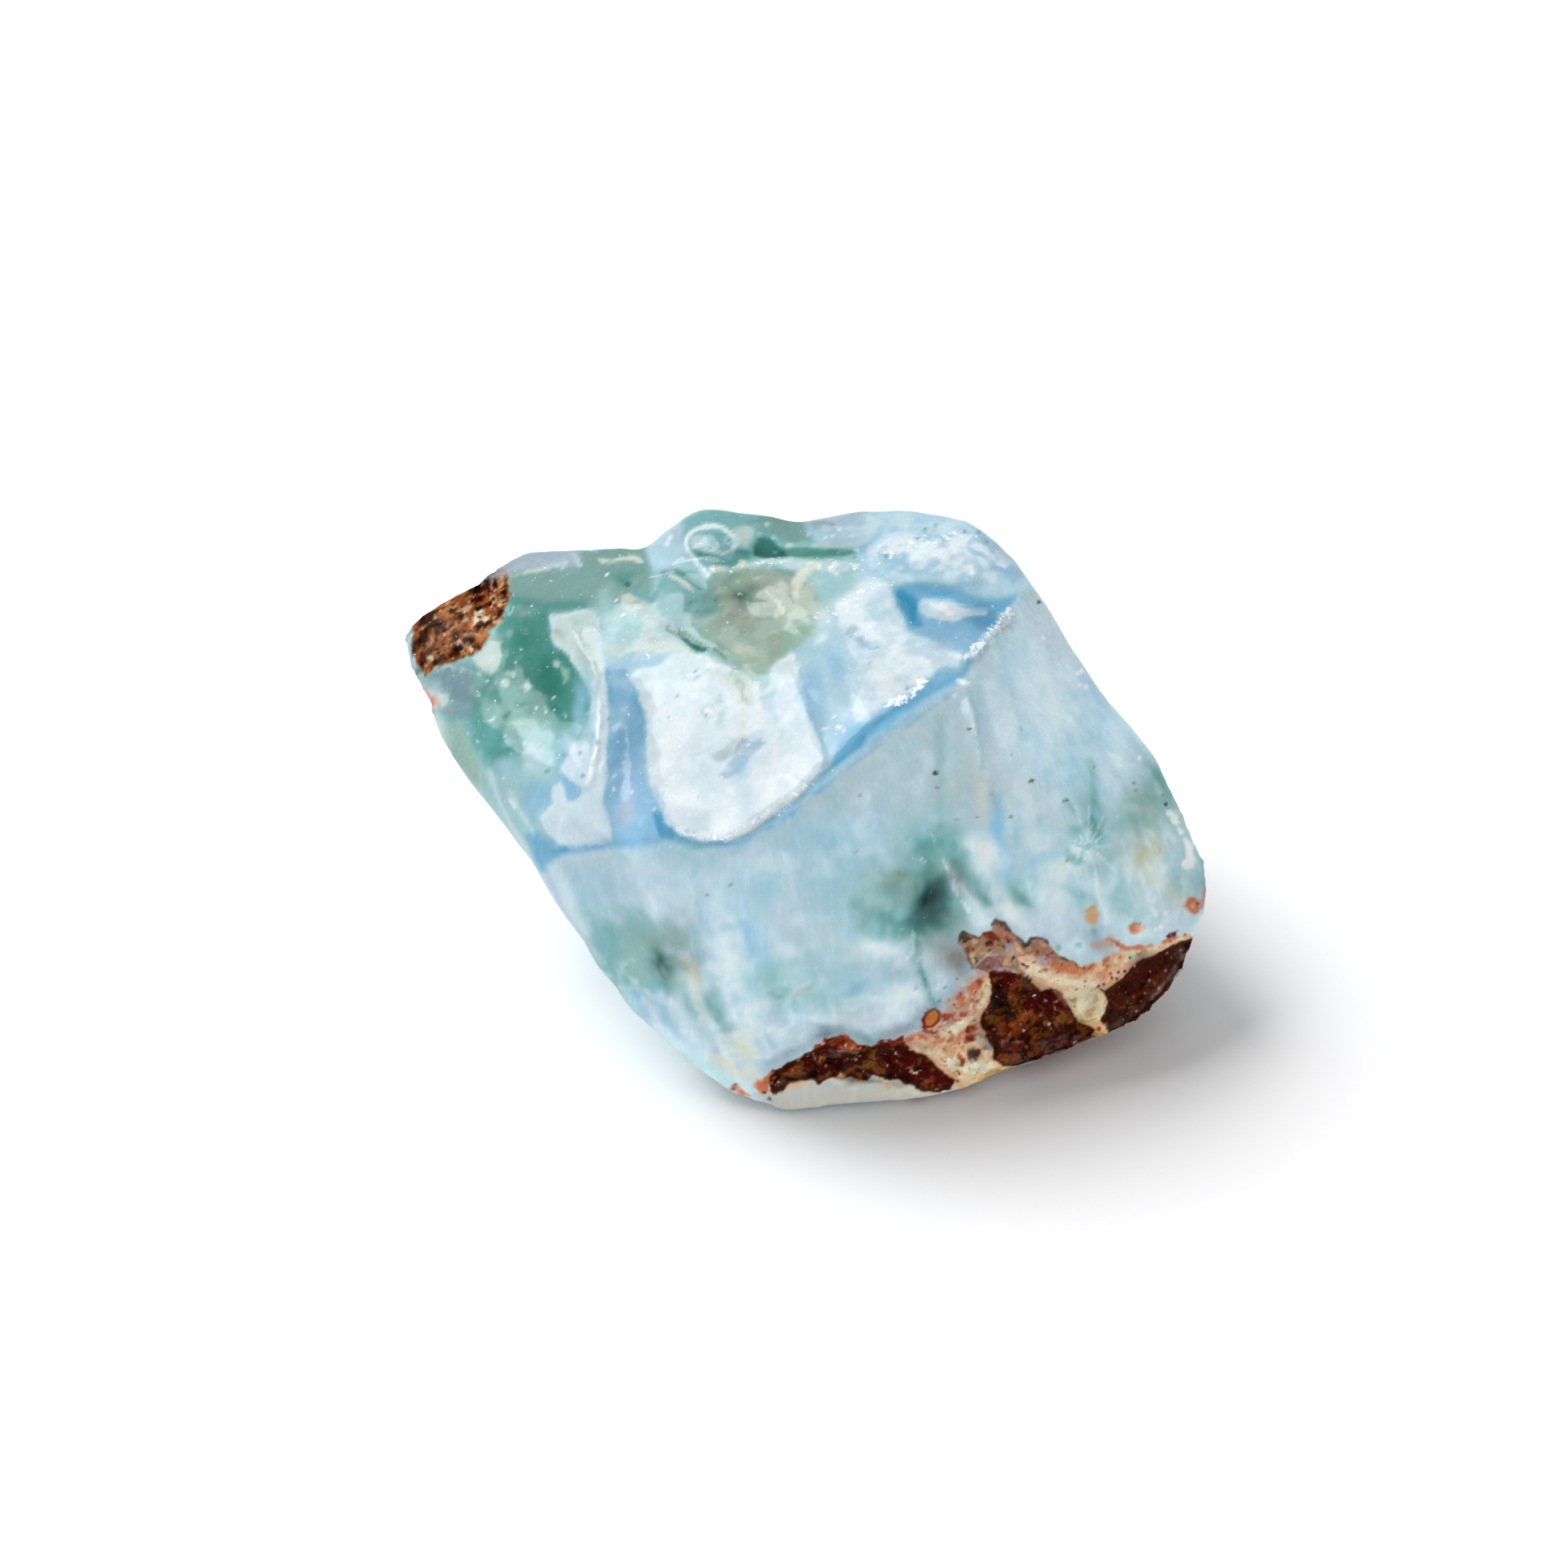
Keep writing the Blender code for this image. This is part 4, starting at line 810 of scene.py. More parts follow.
patch("tan", 0.75, 0.3, 0.25, [
    (17.0, -6.3), (17.3, -5.9), (17.5, -6.3), (18.05, -6.55), (17.8, -6.8), (17.5, -7.05), (17.2, -7.0),
    (17.0, -6.7)])
glow("sea", 0.7, 0.5, 0.5, 0, (16.7, -5.8))
glow("steel", 0.6, 0.6, 0.5, 0, (17.6, -7.5))
glow("sea", 0.5, 0.6, 0.4, 0, (20.0, -6.5))
patch("peach", 0.95, 0.2, 0.15, [(19.6, -7.2), (19.8, -7.0), (20.2, -6.95), (20.5, -7.2), (20.3, -7.5), (19.8, -7.5)])
streak("brick", 0.7, 0.05, 0.2, [(19.55, -7.15), (19.8, -6.95), (20.2, -6.9), (20.5, -7.1)])
spot("snow", 0.9, 0.12, (21.2, -7.25), (21.5, -7.12), (21.8, -6.2))
spot("snow", 0.7, 0.14, (14.25, 10.7), (16.4, 8.5), (16.6, 8.65), (16.5, 7.8), (16.9, 7.7), (20.2, 3.3))
streak("ice", 0.8, 0.1, 0.25, [(18.3, 3.5), (18.7, 3.4), (19.0, 3.25)])
streak("ice", 0.6, 0.12, 0.35, [(19.0, 2.95), (19.8, 2.85)])
streak("steel", 0.5, 0.2, 0.5, [(15.5, 11.4), (16.6, 9.6), (17.2, 8.6), (18.2, 7.0), (19.0, 6.2)])
spot("black", 0.95, 0.16, (13.55, 1.9))
spot("black", 0.9, 0.13, (7.63, 2.37), (14.0, 12.9), (21.85, 0.45))
spot("ink", 0.85, 0.11, (9.72, 5.05), (12.35, -0.27), (15.55, 0.62), (15.72, 0.7))
spot("stone grey", 0.85, 0.1, (7.73, 1.43), (12.25, 3.55), (8.9, -0.45), (5.9, -1.55), (-5.0, -4.45),
     (-6.4, -5.1), (17.4, 2.75), (19.85, 1.75), (11.05, 1.07), (10.15, -0.35), (2.7, -2.45), (0.1, -4.75),
     (3.0, 1.0), (12.9, 5.1), (20.0, 1.3), (21.6, 1.05), (24.1, -2.7), (9.1, -0.5))

# Left face, from the rock patch to the trough: sea green with pale clouds.
patch("sea", 0.9, 1.6, 0.5, [
    (-24.8, 8.6), (-21.0, 10.4), (-18.8, 13.0), (-13.6, 12.4), (-13.2, 6.0), (-13.8, 4.6), (-15.0, 3.4), (-16.2, 2.6),
    (-18.4, 3.0), (-20.2, 2.4), (-21.6, 3.4), (-23.0, 5.6)])
patch("lichen", 0.95, 0.8, 0.4, [
    (-19.0, 13.3), (-18.6, 15.8), (-14.0, 16.2), (-10.3, 16.2), (-9.6, 14.9), (-10.0, 13.4), (-12.0, 12.7),
    (-14.0, 12.6), (-16.4, 12.2), (-18.6, 12.6)])
patch("jade", 0.95, 0.8, 0.5, [
    (-20.9, 8.6), (-19.6, 10.4), (-18.8, 12.2), (-16.3, 12.3), (-15.9, 10.3), (-14.9, 9.6), (-13.9, 7.8),
    (-13.7, 6.2), (-14.2, 5.6), (-14.8, 4.8), (-15.6, 4.6), (-16.2, 5.3), (-17.0, 5.7), (-18.6, 5.8),
    (-18.1, 4.7), (-18.2, 3.9), (-19.0, 3.3), (-20.2, 3.2), (-20.9, 4.2), (-21.1, 5.4), (-21.1, 7.0)])
glow("fir", 0.95, 1.3, 1.2, 0, (-16.1, 7.9))
glow("fir", 0.7, 0.9, 0.6, 0, (-16.9, 8.7))
glow("fir", 0.7, 0.7, 0.5, 0, (-15.8, 6.3))
glow("fir", 0.6, 0.4, 0.7, 0, (-20.4, 4.9))
glow("fir", 0.45, 0.9, 0.7, 0, (-18.0, 10.6))
glow("fir", 0.5, 0.8, 0.5, 0, (-17.9, 6.9))
glow("sea", 0.6, 0.8, 0.6, 0, (-18.8, 7.4))
glow("celadon", 0.6, 0.7, 0.25, -35, (-18.2, 6.4))
glow("celadon", 0.5, 0.4, 0.5, 0, (-19.5, 6.1))
streak("jade", 0.7, 0.3, 0.6, [(-18.5, 13.0), (-16.5, 12.7), (-14.1, 12.7)])
glow("pewter", 0.7, 0.6, 0.3, 0, (-17.9, 12.2))
patch("haze", 0.85, 0.5, 0.3, [
    (-18.9, 14.9), (-18.4, 15.9), (-16.0, 16.3), (-14.2, 16.2), (-14.3, 15.2), (-16.0, 14.9), (-17.6, 14.8)])
patch("mist", 0.8, 0.3, 0.3, [(-16.5, 15.1), (-15.8, 15.5), (-15.0, 15.4), (-15.3, 15.0)])
streak("mist", 0.8, 0.15, 0.3, [(-14.7, 15.9), (-14.3, 15.2)])
streak("pearl", 0.7, 0.08, 0.25, [(-19.0, 14.4), (-18.2, 14.6), (-17.3, 14.8), (-16.2, 15.0)], 0.2)
patch("slate", 0.75, 0.7, 0.3, [(-23.4, 8.4), (-21.2, 9.2), (-20.8, 7.6), (-20.9, 5.8), (-21.8, 5.6), (-22.6, 6.8)])
glow("denim", 0.7, 0.4, 1.1, 10, (-21.6, 6.6))
patch("fog", 0.75, 0.6, 0.3, [(-24.2, 7.0), (-23.3, 6.4), (-22.4, 5.4), (-22.1, 4.4), (-22.8, 4.2), (-23.6, 5.6)])
glow("ash", 0.7, 0.6, 0.6, 0, (-23.6, 7.8))
streak("ash", 0.5, 0.3, 0.6, [(-24.8, 9.0), (-24.3, 8.2), (-23.8, 7.2)])
patch("fog", 0.8, 0.3, 0.3, [(-23.0, 7.3), (-22.4, 7.2), (-22.2, 6.7), (-22.7, 6.5), (-23.0, 6.8)])
streak("fog", 0.7, 0.1, 0.35, [(-23.5, 8.9), (-22.4, 8.9), (-21.4, 8.7), (-20.5, 8.5)], 0.3)
patch("peach", 0.7, 0.6, 0.3, [(-24.2, 7.7), (-23.6, 7.5), (-23.0, 6.9), (-23.1, 6.4), (-23.6, 6.5), (-24.0, 7.0)])
patch("salmon", 0.9, 0.3, 0.3, [(-23.6, 7.2), (-23.1, 7.0), (-23.0, 6.6), (-23.4, 6.6)])
spot("mauve", 0.7, 0.25, (-22.3, 6.2), (-23.4, 6.1))
patch("sage", 0.75, 0.6, 0.3, [
    (-22.6, 5.2), (-21.6, 5.4), (-21.0, 4.4), (-20.4, 3.0), (-19.9, 2.0), (-20.6, 1.6), (-21.4, 2.6), (-22.4, 3.8)])
glow("celadon", 0.6, 0.4, 0.9, 30, (-20.8, 2.9))
streak("khaki", 0.6, 0.1, 0.35, [(-21.8, 5.6), (-21.5, 5.0), (-21.4, 4.2), (-20.9, 2.6), (-20.6, 1.6)], 0.2)
patch("fog", 0.95, 0.3, 0.3, [
    (-20.9, 9.4), (-20.2, 10.2), (-19.8, 10.6), (-19.2, 10.4), (-19.1, 9.6), (-19.3, 8.7), (-19.7, 8.5), (-20.3, 8.7)])
patch("fog", 0.8, 0.25, 0.2, [(-19.1, 8.5), (-18.7, 8.8), (-18.2, 8.6), (-18.1, 8.2), (-18.6, 8.3)])
patch("celadon", 0.9, 0.25, 0.2, [(-15.4, 8.9), (-14.9, 8.8), (-14.9, 8.1), (-15.3, 7.8)])
spot("fog", 0.8, 0.3, (-18.9, 7.9), (-17.5, 7.7), (-15.7, 9.1))
streak("fog", 0.6, 0.05, 0.2, [(-17.9, 7.7), (-17.1, 7.75)])
streak("fog", 0.6, 0.05, 0.2, [(-17.5, 8.1), (-17.45, 7.3)])
streak("azure", 0.6, 0.2, 0.6, [(-14.4, 7.9), (-14.2, 7.1), (-14.3, 6.4), (-14.4, 5.6), (-14.6, 4.8)])
streak("khaki", 0.7, 0.12, 0.35, [(-19.0, 5.6), (-18.5, 5.3), (-17.8, 5.7), (-17.0, 5.6)], 0.2)
patch("aqua", 0.95, 0.3, 0.3, [
    (-18.5, 5.5), (-17.5, 5.6), (-17.0, 5.4), (-16.8, 5.1), (-16.1, 5.0), (-15.9, 4.7), (-16.1, 4.0), (-15.9, 3.3),
    (-16.2, 2.8), (-16.4, 2.4), (-16.2, 1.9), (-17.0, 1.9), (-17.6, 1.8), (-17.6, 2.4), (-17.8, 3.0),
    (-17.8, 3.6), (-17.6, 4.0), (-18.0, 4.6), (-18.3, 5.0)])
glow("celadon", 0.6, 0.7, 0.4, 0, (-17.4, 5.1))
glow("ice", 0.75, 0.7, 0.7, 0, (-16.9, 3.2))
glow("ice", 0.7, 0.4, 0.3, 0, (-17.3, 2.2))
streak("jade", 0.7, 0.15, 0.4, [(-18.5, 5.2), (-18.1, 4.5), (-17.9, 3.9)])
glow("lake", 0.6, 0.4, 0.3, 0, (-18.4, 4.0))
glow("lake", 0.7, 0.5, 0.5, 0, (-14.9, 4.4))
glow("azure", 0.5, 0.4, 1.0, 0, (-15.3, 3.6))
glow("blue", 0.7, 0.7, 1.0, 0, (-15.7, 2.4))
glow("lake", 0.8, 0.9, 0.8, 0, (-18.7, 2.1))
patch("blue", 0.75, 0.8, 0.3, [(-18.0, 1.8), (-16.2, 1.8), (-15.9, 0.4), (-16.8, -0.2), (-17.2, -1.2), (-17.8, 0.4)])
streak("ice", 0.75, 0.18, 0.5, [(-19.8, 2.4), (-19.3, 0.8), (-18.5, -0.8), (-17.8, -2.0), (-17.2, -3.0)])
streak("aqua", 0.8, 0.2, 0.5, [(-20.7, 1.6), (-19.5, -0.4), (-18.5, -1.6), (-17.6, -2.8)])
streak("lake", 0.7, 0.1, 0.3, [(-19.3, 1.9), (-18.9, 0.3), (-18.0, -1.2)])
streak("ice", 0.7, 0.12, 0.4, [(-18.6, 1.2), (-18.0, 0.0), (-17.2, -1.2)])
streak("white", 0.9, 0.1, 0.25, [(-18.6, 0.7), (-18.3, 0.3)])
patch("azure", 0.9, 0.6, 0.3, [
    (-17.5, -1.5), (-16.8, -1.2), (-16.2, -1.6), (-15.7, -2.1), (-15.1, -2.1), (-14.9, -2.4), (-15.4, -2.6),
    (-16.0, -2.9), (-16.2, -3.2), (-16.4, -3.7), (-16.7, -3.8), (-17.0, -3.4), (-17.3, -2.4)])
patch("deep", 0.9, 0.3, 0.15, [(-16.0, -2.5), (-15.2, -2.1), (-14.9, -2.35), (-15.2, -2.55), (-15.8, -2.75)])
spot("ice", 0.85, 0.1, (-19.4, 7.9), (-18.2, 9.2), (-17.0, 6.4), (-19.8, 5.6), (-15.2, 5.9), (-18.9, 4.6),
     (-20.6, 4.3), (-15.65, 4.4), (-17.7, 4.2), (-16.4, 8.7), (-20.5, 7.2), (-15.9, 7.0), (-17.9, 10.0),
     (-13.75, 6.05), (-19.6, 5.75), (-20.0, 8.0), (-18.9, 6.0), (-16.4, 6.2))
spot("denim", 0.8, 0.12, (-16.3, 2.5), (-18.6, 9.0), (-19.9, 7.4))

# The tongue, with its bright ridge.
TONGUE = [
    (-16.2, 12.1), (-15.4, 12.2), (-14.8, 12.3), (-14.2, 12.5), (-13.6, 12.4), (-13.1, 11.9), (-13.0, 11.0),
    (-12.9, 9.8), (-12.7, 8.6), (-12.5, 7.4), (-12.45, 6.5), (-12.4, 5.6), (-12.5, 4.8), (-12.6, 4.0),
    (-12.65, 3.2), (-12.5, 2.6), (-12.6, 1.8), (-12.8, 1.2), (-12.8, 0.6), (-12.6, 0.0), (-12.4, -0.6),
    (-12.3, -1.2), (-12.35, -1.9), (-12.8, -1.95), (-13.2, -2.1), (-13.8, -2.2), (-14.4, -2.1), (-15.0, -2.1),
    (-15.6, -2.0), (-15.9, -1.6), (-16.3, -1.4), (-16.7, -0.6), (-16.8, -0.3), (-16.4, 0.2), (-15.9, 0.5),
    (-16.1, 1.0), (-15.9, 1.5), (-15.5, 1.8), (-15.2, 1.4), (-15.1, 0.9), (-14.8, 0.6), (-14.3, 0.9),
    (-14.0, 1.4), (-14.8, 1.9), (-15.1, 2.2), (-15.45, 2.6), (-15.3, 3.0), (-14.85, 3.6), (-14.95, 3.8),
    (-14.8, 4.2), (-14.3, 4.4), (-13.9, 5.3), (-13.6, 6.4), (-13.6, 7.0), (-13.9, 7.8), (-14.2, 8.4),
    (-14.6, 9.0), (-14.9, 9.5), (-15.2, 9.9), (-15.8, 10.2), (-16.0, 10.8), (-16.1, 11.5)]
patch("ice", 1.0, 0.2, 0.15, TONGUE)
patch("fog", 0.85, 0.6, 0.4, [
    (-16.0, 12.0), (-13.4, 12.4), (-13.2, 10.6), (-13.2, 8.4), (-13.9, 8.2), (-14.8, 9.6), (-15.8, 10.6)])
glow("pewter", 0.55, 0.4, 0.3, 0, (-15.5, 11.0))
glow("aqua", 0.5, 0.5, 0.3, 0, (-14.0, 11.6))
glow("celadon", 0.5, 0.4, 0.3, 0, (-13.5, 10.2))
glow("lake", 0.7, 0.35, 1.0, 15, (-13.8, 5.4))
glow("lilac", 0.7, 0.6, 0.4, 0, (-14.5, 3.9))
glow("sky", 0.5, 0.5, 0.9, 0, (-14.3, 2.7))
glow("lilac", 0.75, 1.4, 0.8, 0, (-14.6, -0.9))
glow("white", 0.5, 0.5, 0.4, 0, (-15.6, 1.0))
glow("periwinkle", 0.6, 0.5, 0.4, 0, (-12.9, -1.3))
streak("white", 0.6, 0.12, 0.35, [(-12.9, 9.0), (-12.7, 6.0), (-12.9, 3.0), (-13.0, 1.0)])
patch("blue", 0.85, 0.3, 0.15, [(-15.3, 2.2), (-14.9, 1.9), (-14.3, 1.5), (-14.2, 1.2), (-14.5, 0.7), (-15.0, 0.6), (-15.1, 1.1)])
# The pearl and white lines along the ridge are a painted highlight.
streak("pearl", 0.85, 0.06, 0.25, [
    (-15.0, 11.9), (-14.9, 11.3), (-14.6, 10.7), (-14.2, 10.2), (-13.9, 9.9), (-13.5, 9.2), (-13.2, 8.3), (-13.1, 7.0)])
streak("snow", 0.95, 0.1, 0.22, [
    (-13.1, 7.4), (-13.05, 6.5), (-13.15, 5.5), (-13.2, 4.5), (-13.35, 3.5), (-13.5, 2.6), (-13.75, 1.8)], 0.05)
spot("slate", 0.8, 0.15, (-14.3, 3.62), (-14.1, 2.2), (-13.2, 4.25), (-12.45, 5.75))

# The blue trough between the tongue and the white slab.
patch("blue", 1.0, 0.25, 0.15, [
    (-12.7, 8.9), (-11.9, 9.3), (-11.4, 8.9), (-11.0, 8.3), (-10.7, 7.4), (-10.3, 6.4), (-10.15, 5.0),
    (-10.1, 3.6), (-10.0, 2.4), (-9.9, 1.4), (-9.4, 0.5), (-9.2, -0.4), (-9.0, -1.1), (-9.2, -1.9), (-10.6, -2.0),
    (-12.2, -2.0), (-12.3, -1.2), (-12.4, -0.6), (-12.6, 0.0), (-12.8, 0.6), (-12.8, 1.2), (-12.6, 1.8),
    (-12.5, 2.6), (-12.65, 3.2), (-12.6, 4.0), (-12.5, 4.8), (-12.4, 5.6), (-12.45, 6.5), (-12.5, 7.6)])
streak("azure", 0.85, 0.22, 0.6, [(-11.1, 7.9), (-10.9, 7.0), (-10.6, 6.0), (-10.4, 5.2), (-10.5, 4.2)])
streak("deep", 0.5, 0.12, 0.4, [(-12.7, 8.7), (-12.5, 7.6), (-12.4, 6.6)])
glow("sky", 0.6, 0.6, 0.9, 0, (-11.9, 5.6))
glow("sky", 0.5, 0.7, 0.5, 0, (-11.7, 8.2))
glow("azure", 0.35, 0.6, 1.0, 0, (-11.8, 4.0))
glow("periwinkle", 0.85, 0.9, 1.6, 0, (-11.3, 1.0))
glow("lilac", 0.6, 0.5, 0.5, 0, (-11.1, -0.2))
glow("mauve", 0.15, 0.4, 0.4, 0, (-11.1, -0.3))
glow("azure", 0.45, 1.0, 0.4, 0, (-10.8, -1.5))
spot("white", 0.85, 0.11, (-11.0, 1.2), (-12.2, 1.35), (-10.1, 0.7), (-9.7, 0.1), (-10.4, 3.3), (-11.6, 3.0))
streak("fog", 0.5, 0.05, 0.2, [(-12.3, 5.3), (-11.7, 5.3)])

# The white slab and its curled hollow.
SLAB = [
    (-11.2, 8.3), (-11.0, 8.6), (-10.6, 8.9), (-9.6, 8.9), (-9.0, 9.4), (-8.5, 9.8), (-8.0, 9.8), (-7.3, 9.7),
    (-6.6, 9.65), (-6.0, 9.5), (-5.5, 9.2), (-5.0, 9.0), (-4.6, 8.7), (-4.1, 8.3), (-3.6, 8.0), (-3.2, 8.0),
    (-2.6, 8.8), (-2.3, 9.3), (-1.8, 9.6), (-1.3, 10.0), (-1.0, 9.6), (-0.9, 8.8), (-0.7, 8.0), (-0.5, 7.2),
    (-0.35, 6.7), (0.2, 4.9), (0.75, 3.2), (0.1, 2.0), (0.0, 1.7), (-0.7, 1.2), (-1.3, 0.6), (-1.8, 0.1),
    (-2.3, -0.3), (-3.0, -0.7), (-3.8, -1.1), (-4.4, -1.5), (-5.0, -1.75), (-5.6, -1.8), (-6.8, -1.8),
    (-7.4, -1.6), (-8.1, -1.4), (-8.5, -1.0), (-9.0, -0.7), (-9.2, 0.2), (-9.5, 1.0), (-9.9, 1.6), (-10.05, 2.4),
    (-10.15, 3.6), (-10.2, 5.0), (-10.35, 6.4), (-10.75, 7.4)]
patch("milk", 1.0, 0.2, 0.25, SLAB)
patch("mist", 0.7, 0.6, 0.3, [
    (-11.0, 8.5), (-9.6, 8.8), (-8.4, 9.7), (-6.6, 9.6), (-5.2, 9.1), (-4.8, 8.2), (-6.4, 8.2), (-8.6, 8.2), (-10.4, 8.0)])
glow("pearl", 0.7, 0.7, 0.25, 0, (-6.6, 9.25))
glow("foam", 0.9, 0.5, 1.1, 0, (-9.8, 6.8))
glow("foam", 0.8, 1.0, 2.2, 0, (-8.8, 2.8))
glow("foam", 0.7, 1.3, 0.9, 0, (-7.6, 0.6))
glow("foam", 0.7, 1.0, 0.8, 20, (-8.6, 5.4))
glow("foam", 0.9, 0.9, 0.8, 30, (-1.0, 2.6))
glow("foam", 0.6, 0.7, 0.8, 0, (-2.4, 1.2))
glow("sky", 0.55, 0.5, 1.4, 10, (-6.7, 3.0))
glow("sky", 0.4, 0.4, 0.9, 0, (-6.5, 0.9))
glow("sky", 0.6, 0.4, 1.0, 10, (-4.0, 0.9))
glow("sky", 0.55, 0.5, 1.2, 0, (-1.6, 5.0))
glow("lilac", 0.4, 0.4, 0.9, 0, (-0.9, 7.2))
streak("snow", 0.9, 0.06, 0.2, [(-5.2, 1.35), (-4.8, 1.05)])
streak("snow", 0.9, 0.15, 0.3, [(-1.4, 2.2), (-1.0, 1.75)])
patch("blue", 0.9, 0.2, 0.1, [(-8.0, 8.15), (-7.6, 8.3), (-7.1, 8.35), (-6.8, 8.45), (-6.9, 8.15), (-7.2, 7.95), (-7.7, 8.0)])
streak("lake", 0.75, 0.18, 0.5, [(-5.7, 7.1), (-5.6, 6.3), (-5.7, 5.3)])
streak("steel", 0.65, 0.05, 0.2, [(-6.75, 6.3), (-6.5, 6.6), (-6.1, 6.6), (-5.9, 6.3), (-6.0, 5.9), (-6.4, 5.75), (-6.7, 6.0), (-6.75, 6.3)])
spot("snow", 0.8, 0.28, (-6.3, 6.2))
spot("slate", 0.85, 0.1, (-6.5, 5.9), (-5.95, 6.8), (-8.8, 5.9), (-8.3, 7.1), (-7.1, 8.6), (-6.5, 8.7))
spot("steel", 0.6, 0.09, (-1.6, 1.5), (-4.2, 1.0), (-9.1, 1.2), (-7.0, 0.9), (-0.5, 4.1), (-2.4, 0.4))
patch("sage", 0.9, 0.3, 0.2, [
    (-5.0, 8.8), (-4.2, 8.3), (-3.6, 8.0), (-3.4, 7.2), (-3.5, 6.6), (-4.0, 6.4), (-4.3, 7.0), (-4.7, 7.8), (-5.4, 8.4)])
streak("fog", 0.85, 0.25, 0.4, [(-5.7, 8.6), (-5.2, 8.2), (-4.9, 7.7)])
streak("pearl", 0.9, 0.14, 0.25, [
    (-6.0, 8.6), (-5.7, 8.25), (-5.2, 7.95), (-4.8, 7.6), (-4.5, 7.1), (-4.3, 6.5), (-4.2, 6.0), (-4.15, 5.2), (-4.3, 4.7)])
streak("pearl", 0.8, 0.12, 0.25, [
    (-4.3, 8.3), (-3.8, 8.0), (-3.5, 7.4), (-3.45, 6.9), (-3.3, 6.5), (-3.05, 6.1), (-3.1, 5.6)])
patch("aqua", 0.9, 0.3, 0.2, [(-3.3, 8.3), (-2.7, 8.6), (-2.2, 7.8), (-2.2, 7.2), (-2.8, 6.6), (-3.2, 6.9), (-3.3, 7.6)])
patch("sky", 0.85, 0.35, 0.15, [(-3.0, 6.8), (-2.3, 7.4), (-2.2, 6.0), (-2.3, 4.6), (-2.8, 4.4), (-2.9, 5.4)])
spot("pearl", 0.9, 0.3, (-1.6, 8.2))
glow("pearl", 0.5, 0.5, 0.5, 0, (-1.9, 9.0))
patch("steel", 0.95, 0.2, 0.1, [
    (-5.75, 2.3), (-5.4, 2.7), (-5.0, 3.1), (-4.75, 3.6), (-4.6, 4.1), (-4.3, 4.5), (-3.8, 4.8), (-3.3, 5.1),
    (-2.9, 5.1), (-2.9, 4.3), (-3.1, 3.9), (-3.5, 3.7), (-3.8, 3.3), (-4.0, 2.9), (-4.4, 2.5), (-4.9, 2.15), (-5.5, 2.0)])
glow("blue", 0.8, 0.5, 0.4, 0, (-3.5, 4.5))
glow("blue", 0.4, 0.5, 0.3, 45, (-4.8, 2.8))
# The white line and specks along the hole's edge are a painted highlight.
streak("snow", 0.9, 0.06, 0.2, [(-5.5, 2.8), (-5.1, 3.3), (-4.85, 3.8), (-4.65, 4.3), (-4.2, 4.75), (-3.4, 5.2)])
spot("snow", 0.8, 0.09, (-4.4, 3.6), (-4.2, 3.2), (-3.9, 4.1))
streak("foam", 0.9, 0.12, 0.3, [(-1.0, 6.6), (-0.6, 6.0), (-0.2, 5.4), (0.1, 4.9), (0.5, 3.9)])
streak("snow", 0.8, 0.08, 0.25, [(-1.3, 9.9), (-1.0, 9.3), (-0.85, 8.5), (-0.5, 7.1), (-0.4, 6.6)])
streak("periwinkle", 0.6, 0.08, 0.25, [(-9.6, 1.5), (-9.15, 0.4), (-8.85, -0.6), (-8.0, -1.15), (-7.3, -1.4)])
patch("foam", 0.9, 0.2, 0.3, [
    (-8.4, -1.0), (-7.0, -1.3), (-5.0, -1.3), (-3.4, -0.4), (-1.8, 0.5), (-0.4, 1.8), (-0.2, 1.5), (-1.3, 0.6),
    (-2.3, -0.3), (-3.8, -1.1), (-5.0, -1.75), (-6.8, -1.8), (-8.1, -1.4)])
chalky(0.35, 0.2, [(-8.2, -1.2), (-7.2, -1.5), (-6.0, -1.6), (-5.0, -1.55), (-3.8, -0.9), (-2.4, -0.1), (-1.2, 0.8), (-0.2, 1.7)])
spot("periwinkle", 0.8, 0.14, (-7.7, -1.2), (-7.3, -1.4), (-4.9, -1.2), (-3.2, -0.3))

# The light blue face and the second slab, right of the white one.
patch("sky", 1.0, 0.25, 0.15, [
    (-1.0, 10.0), (-0.8, 8.8), (-0.45, 7.2), (-0.1, 6.0), (0.3, 4.9), (0.85, 3.2), (1.3, 2.8), (2.2, 3.6),
    (3.2, 4.9), (3.4, 6.4), (3.2, 8.6), (2.4, 10.6), (1.4, 12.2), (0.2, 11.6), (-0.6, 10.8)])
glow("blue", 0.8, 0.6, 1.6, 10, (0.2, 7.2))
glow("blue", 0.55, 0.6, 0.9, 20, (1.0, 4.8))
glow("aqua", 0.7, 0.8, 0.6, 0, (0.3, 9.9))
glow("steel", 0.5, 0.6, 1.0, 0, (1.6, 8.4))
streak("azure", 0.45, 0.1, 0.35, [(-0.3, 6.5), (0.3, 5.1), (0.9, 3.8)])
SECOND_SLAB = [
    (1.3, 12.6), (1.6, 13.0), (2.4, 13.2), (3.2, 13.5), (3.6, 14.0), (4.2, 14.3), (4.8, 14.1), (5.0, 13.5),
    (5.5, 12.8), (5.5, 12.4), (5.8, 11.9), (5.9, 11.5), (6.3, 11.0), (7.2, 10.6), (8.2, 10.2), (9.2, 9.6),
    (9.0, 9.0), (7.8, 8.8), (7.4, 8.2), (6.7, 7.7), (6.0, 7.1), (5.2, 6.7), (4.4, 6.0), (3.3, 5.4), (2.7, 5.6),
    (2.7, 6.6), (3.0, 7.2), (3.0, 8.0), (2.8, 8.8), (2.5, 9.5), (2.1, 10.2), (2.0, 10.9), (1.6, 11.6)]
patch("milk", 1.0, 0.25, 0.3, SECOND_SLAB)
glow("foam", 0.9, 1.8, 1.1, 30, (4.8, 7.9))
glow("foam", 0.8, 0.9, 0.5, 20, (3.7, 13.7))
glow("mist", 0.7, 0.7, 0.4, 0, (4.3, 12.6))
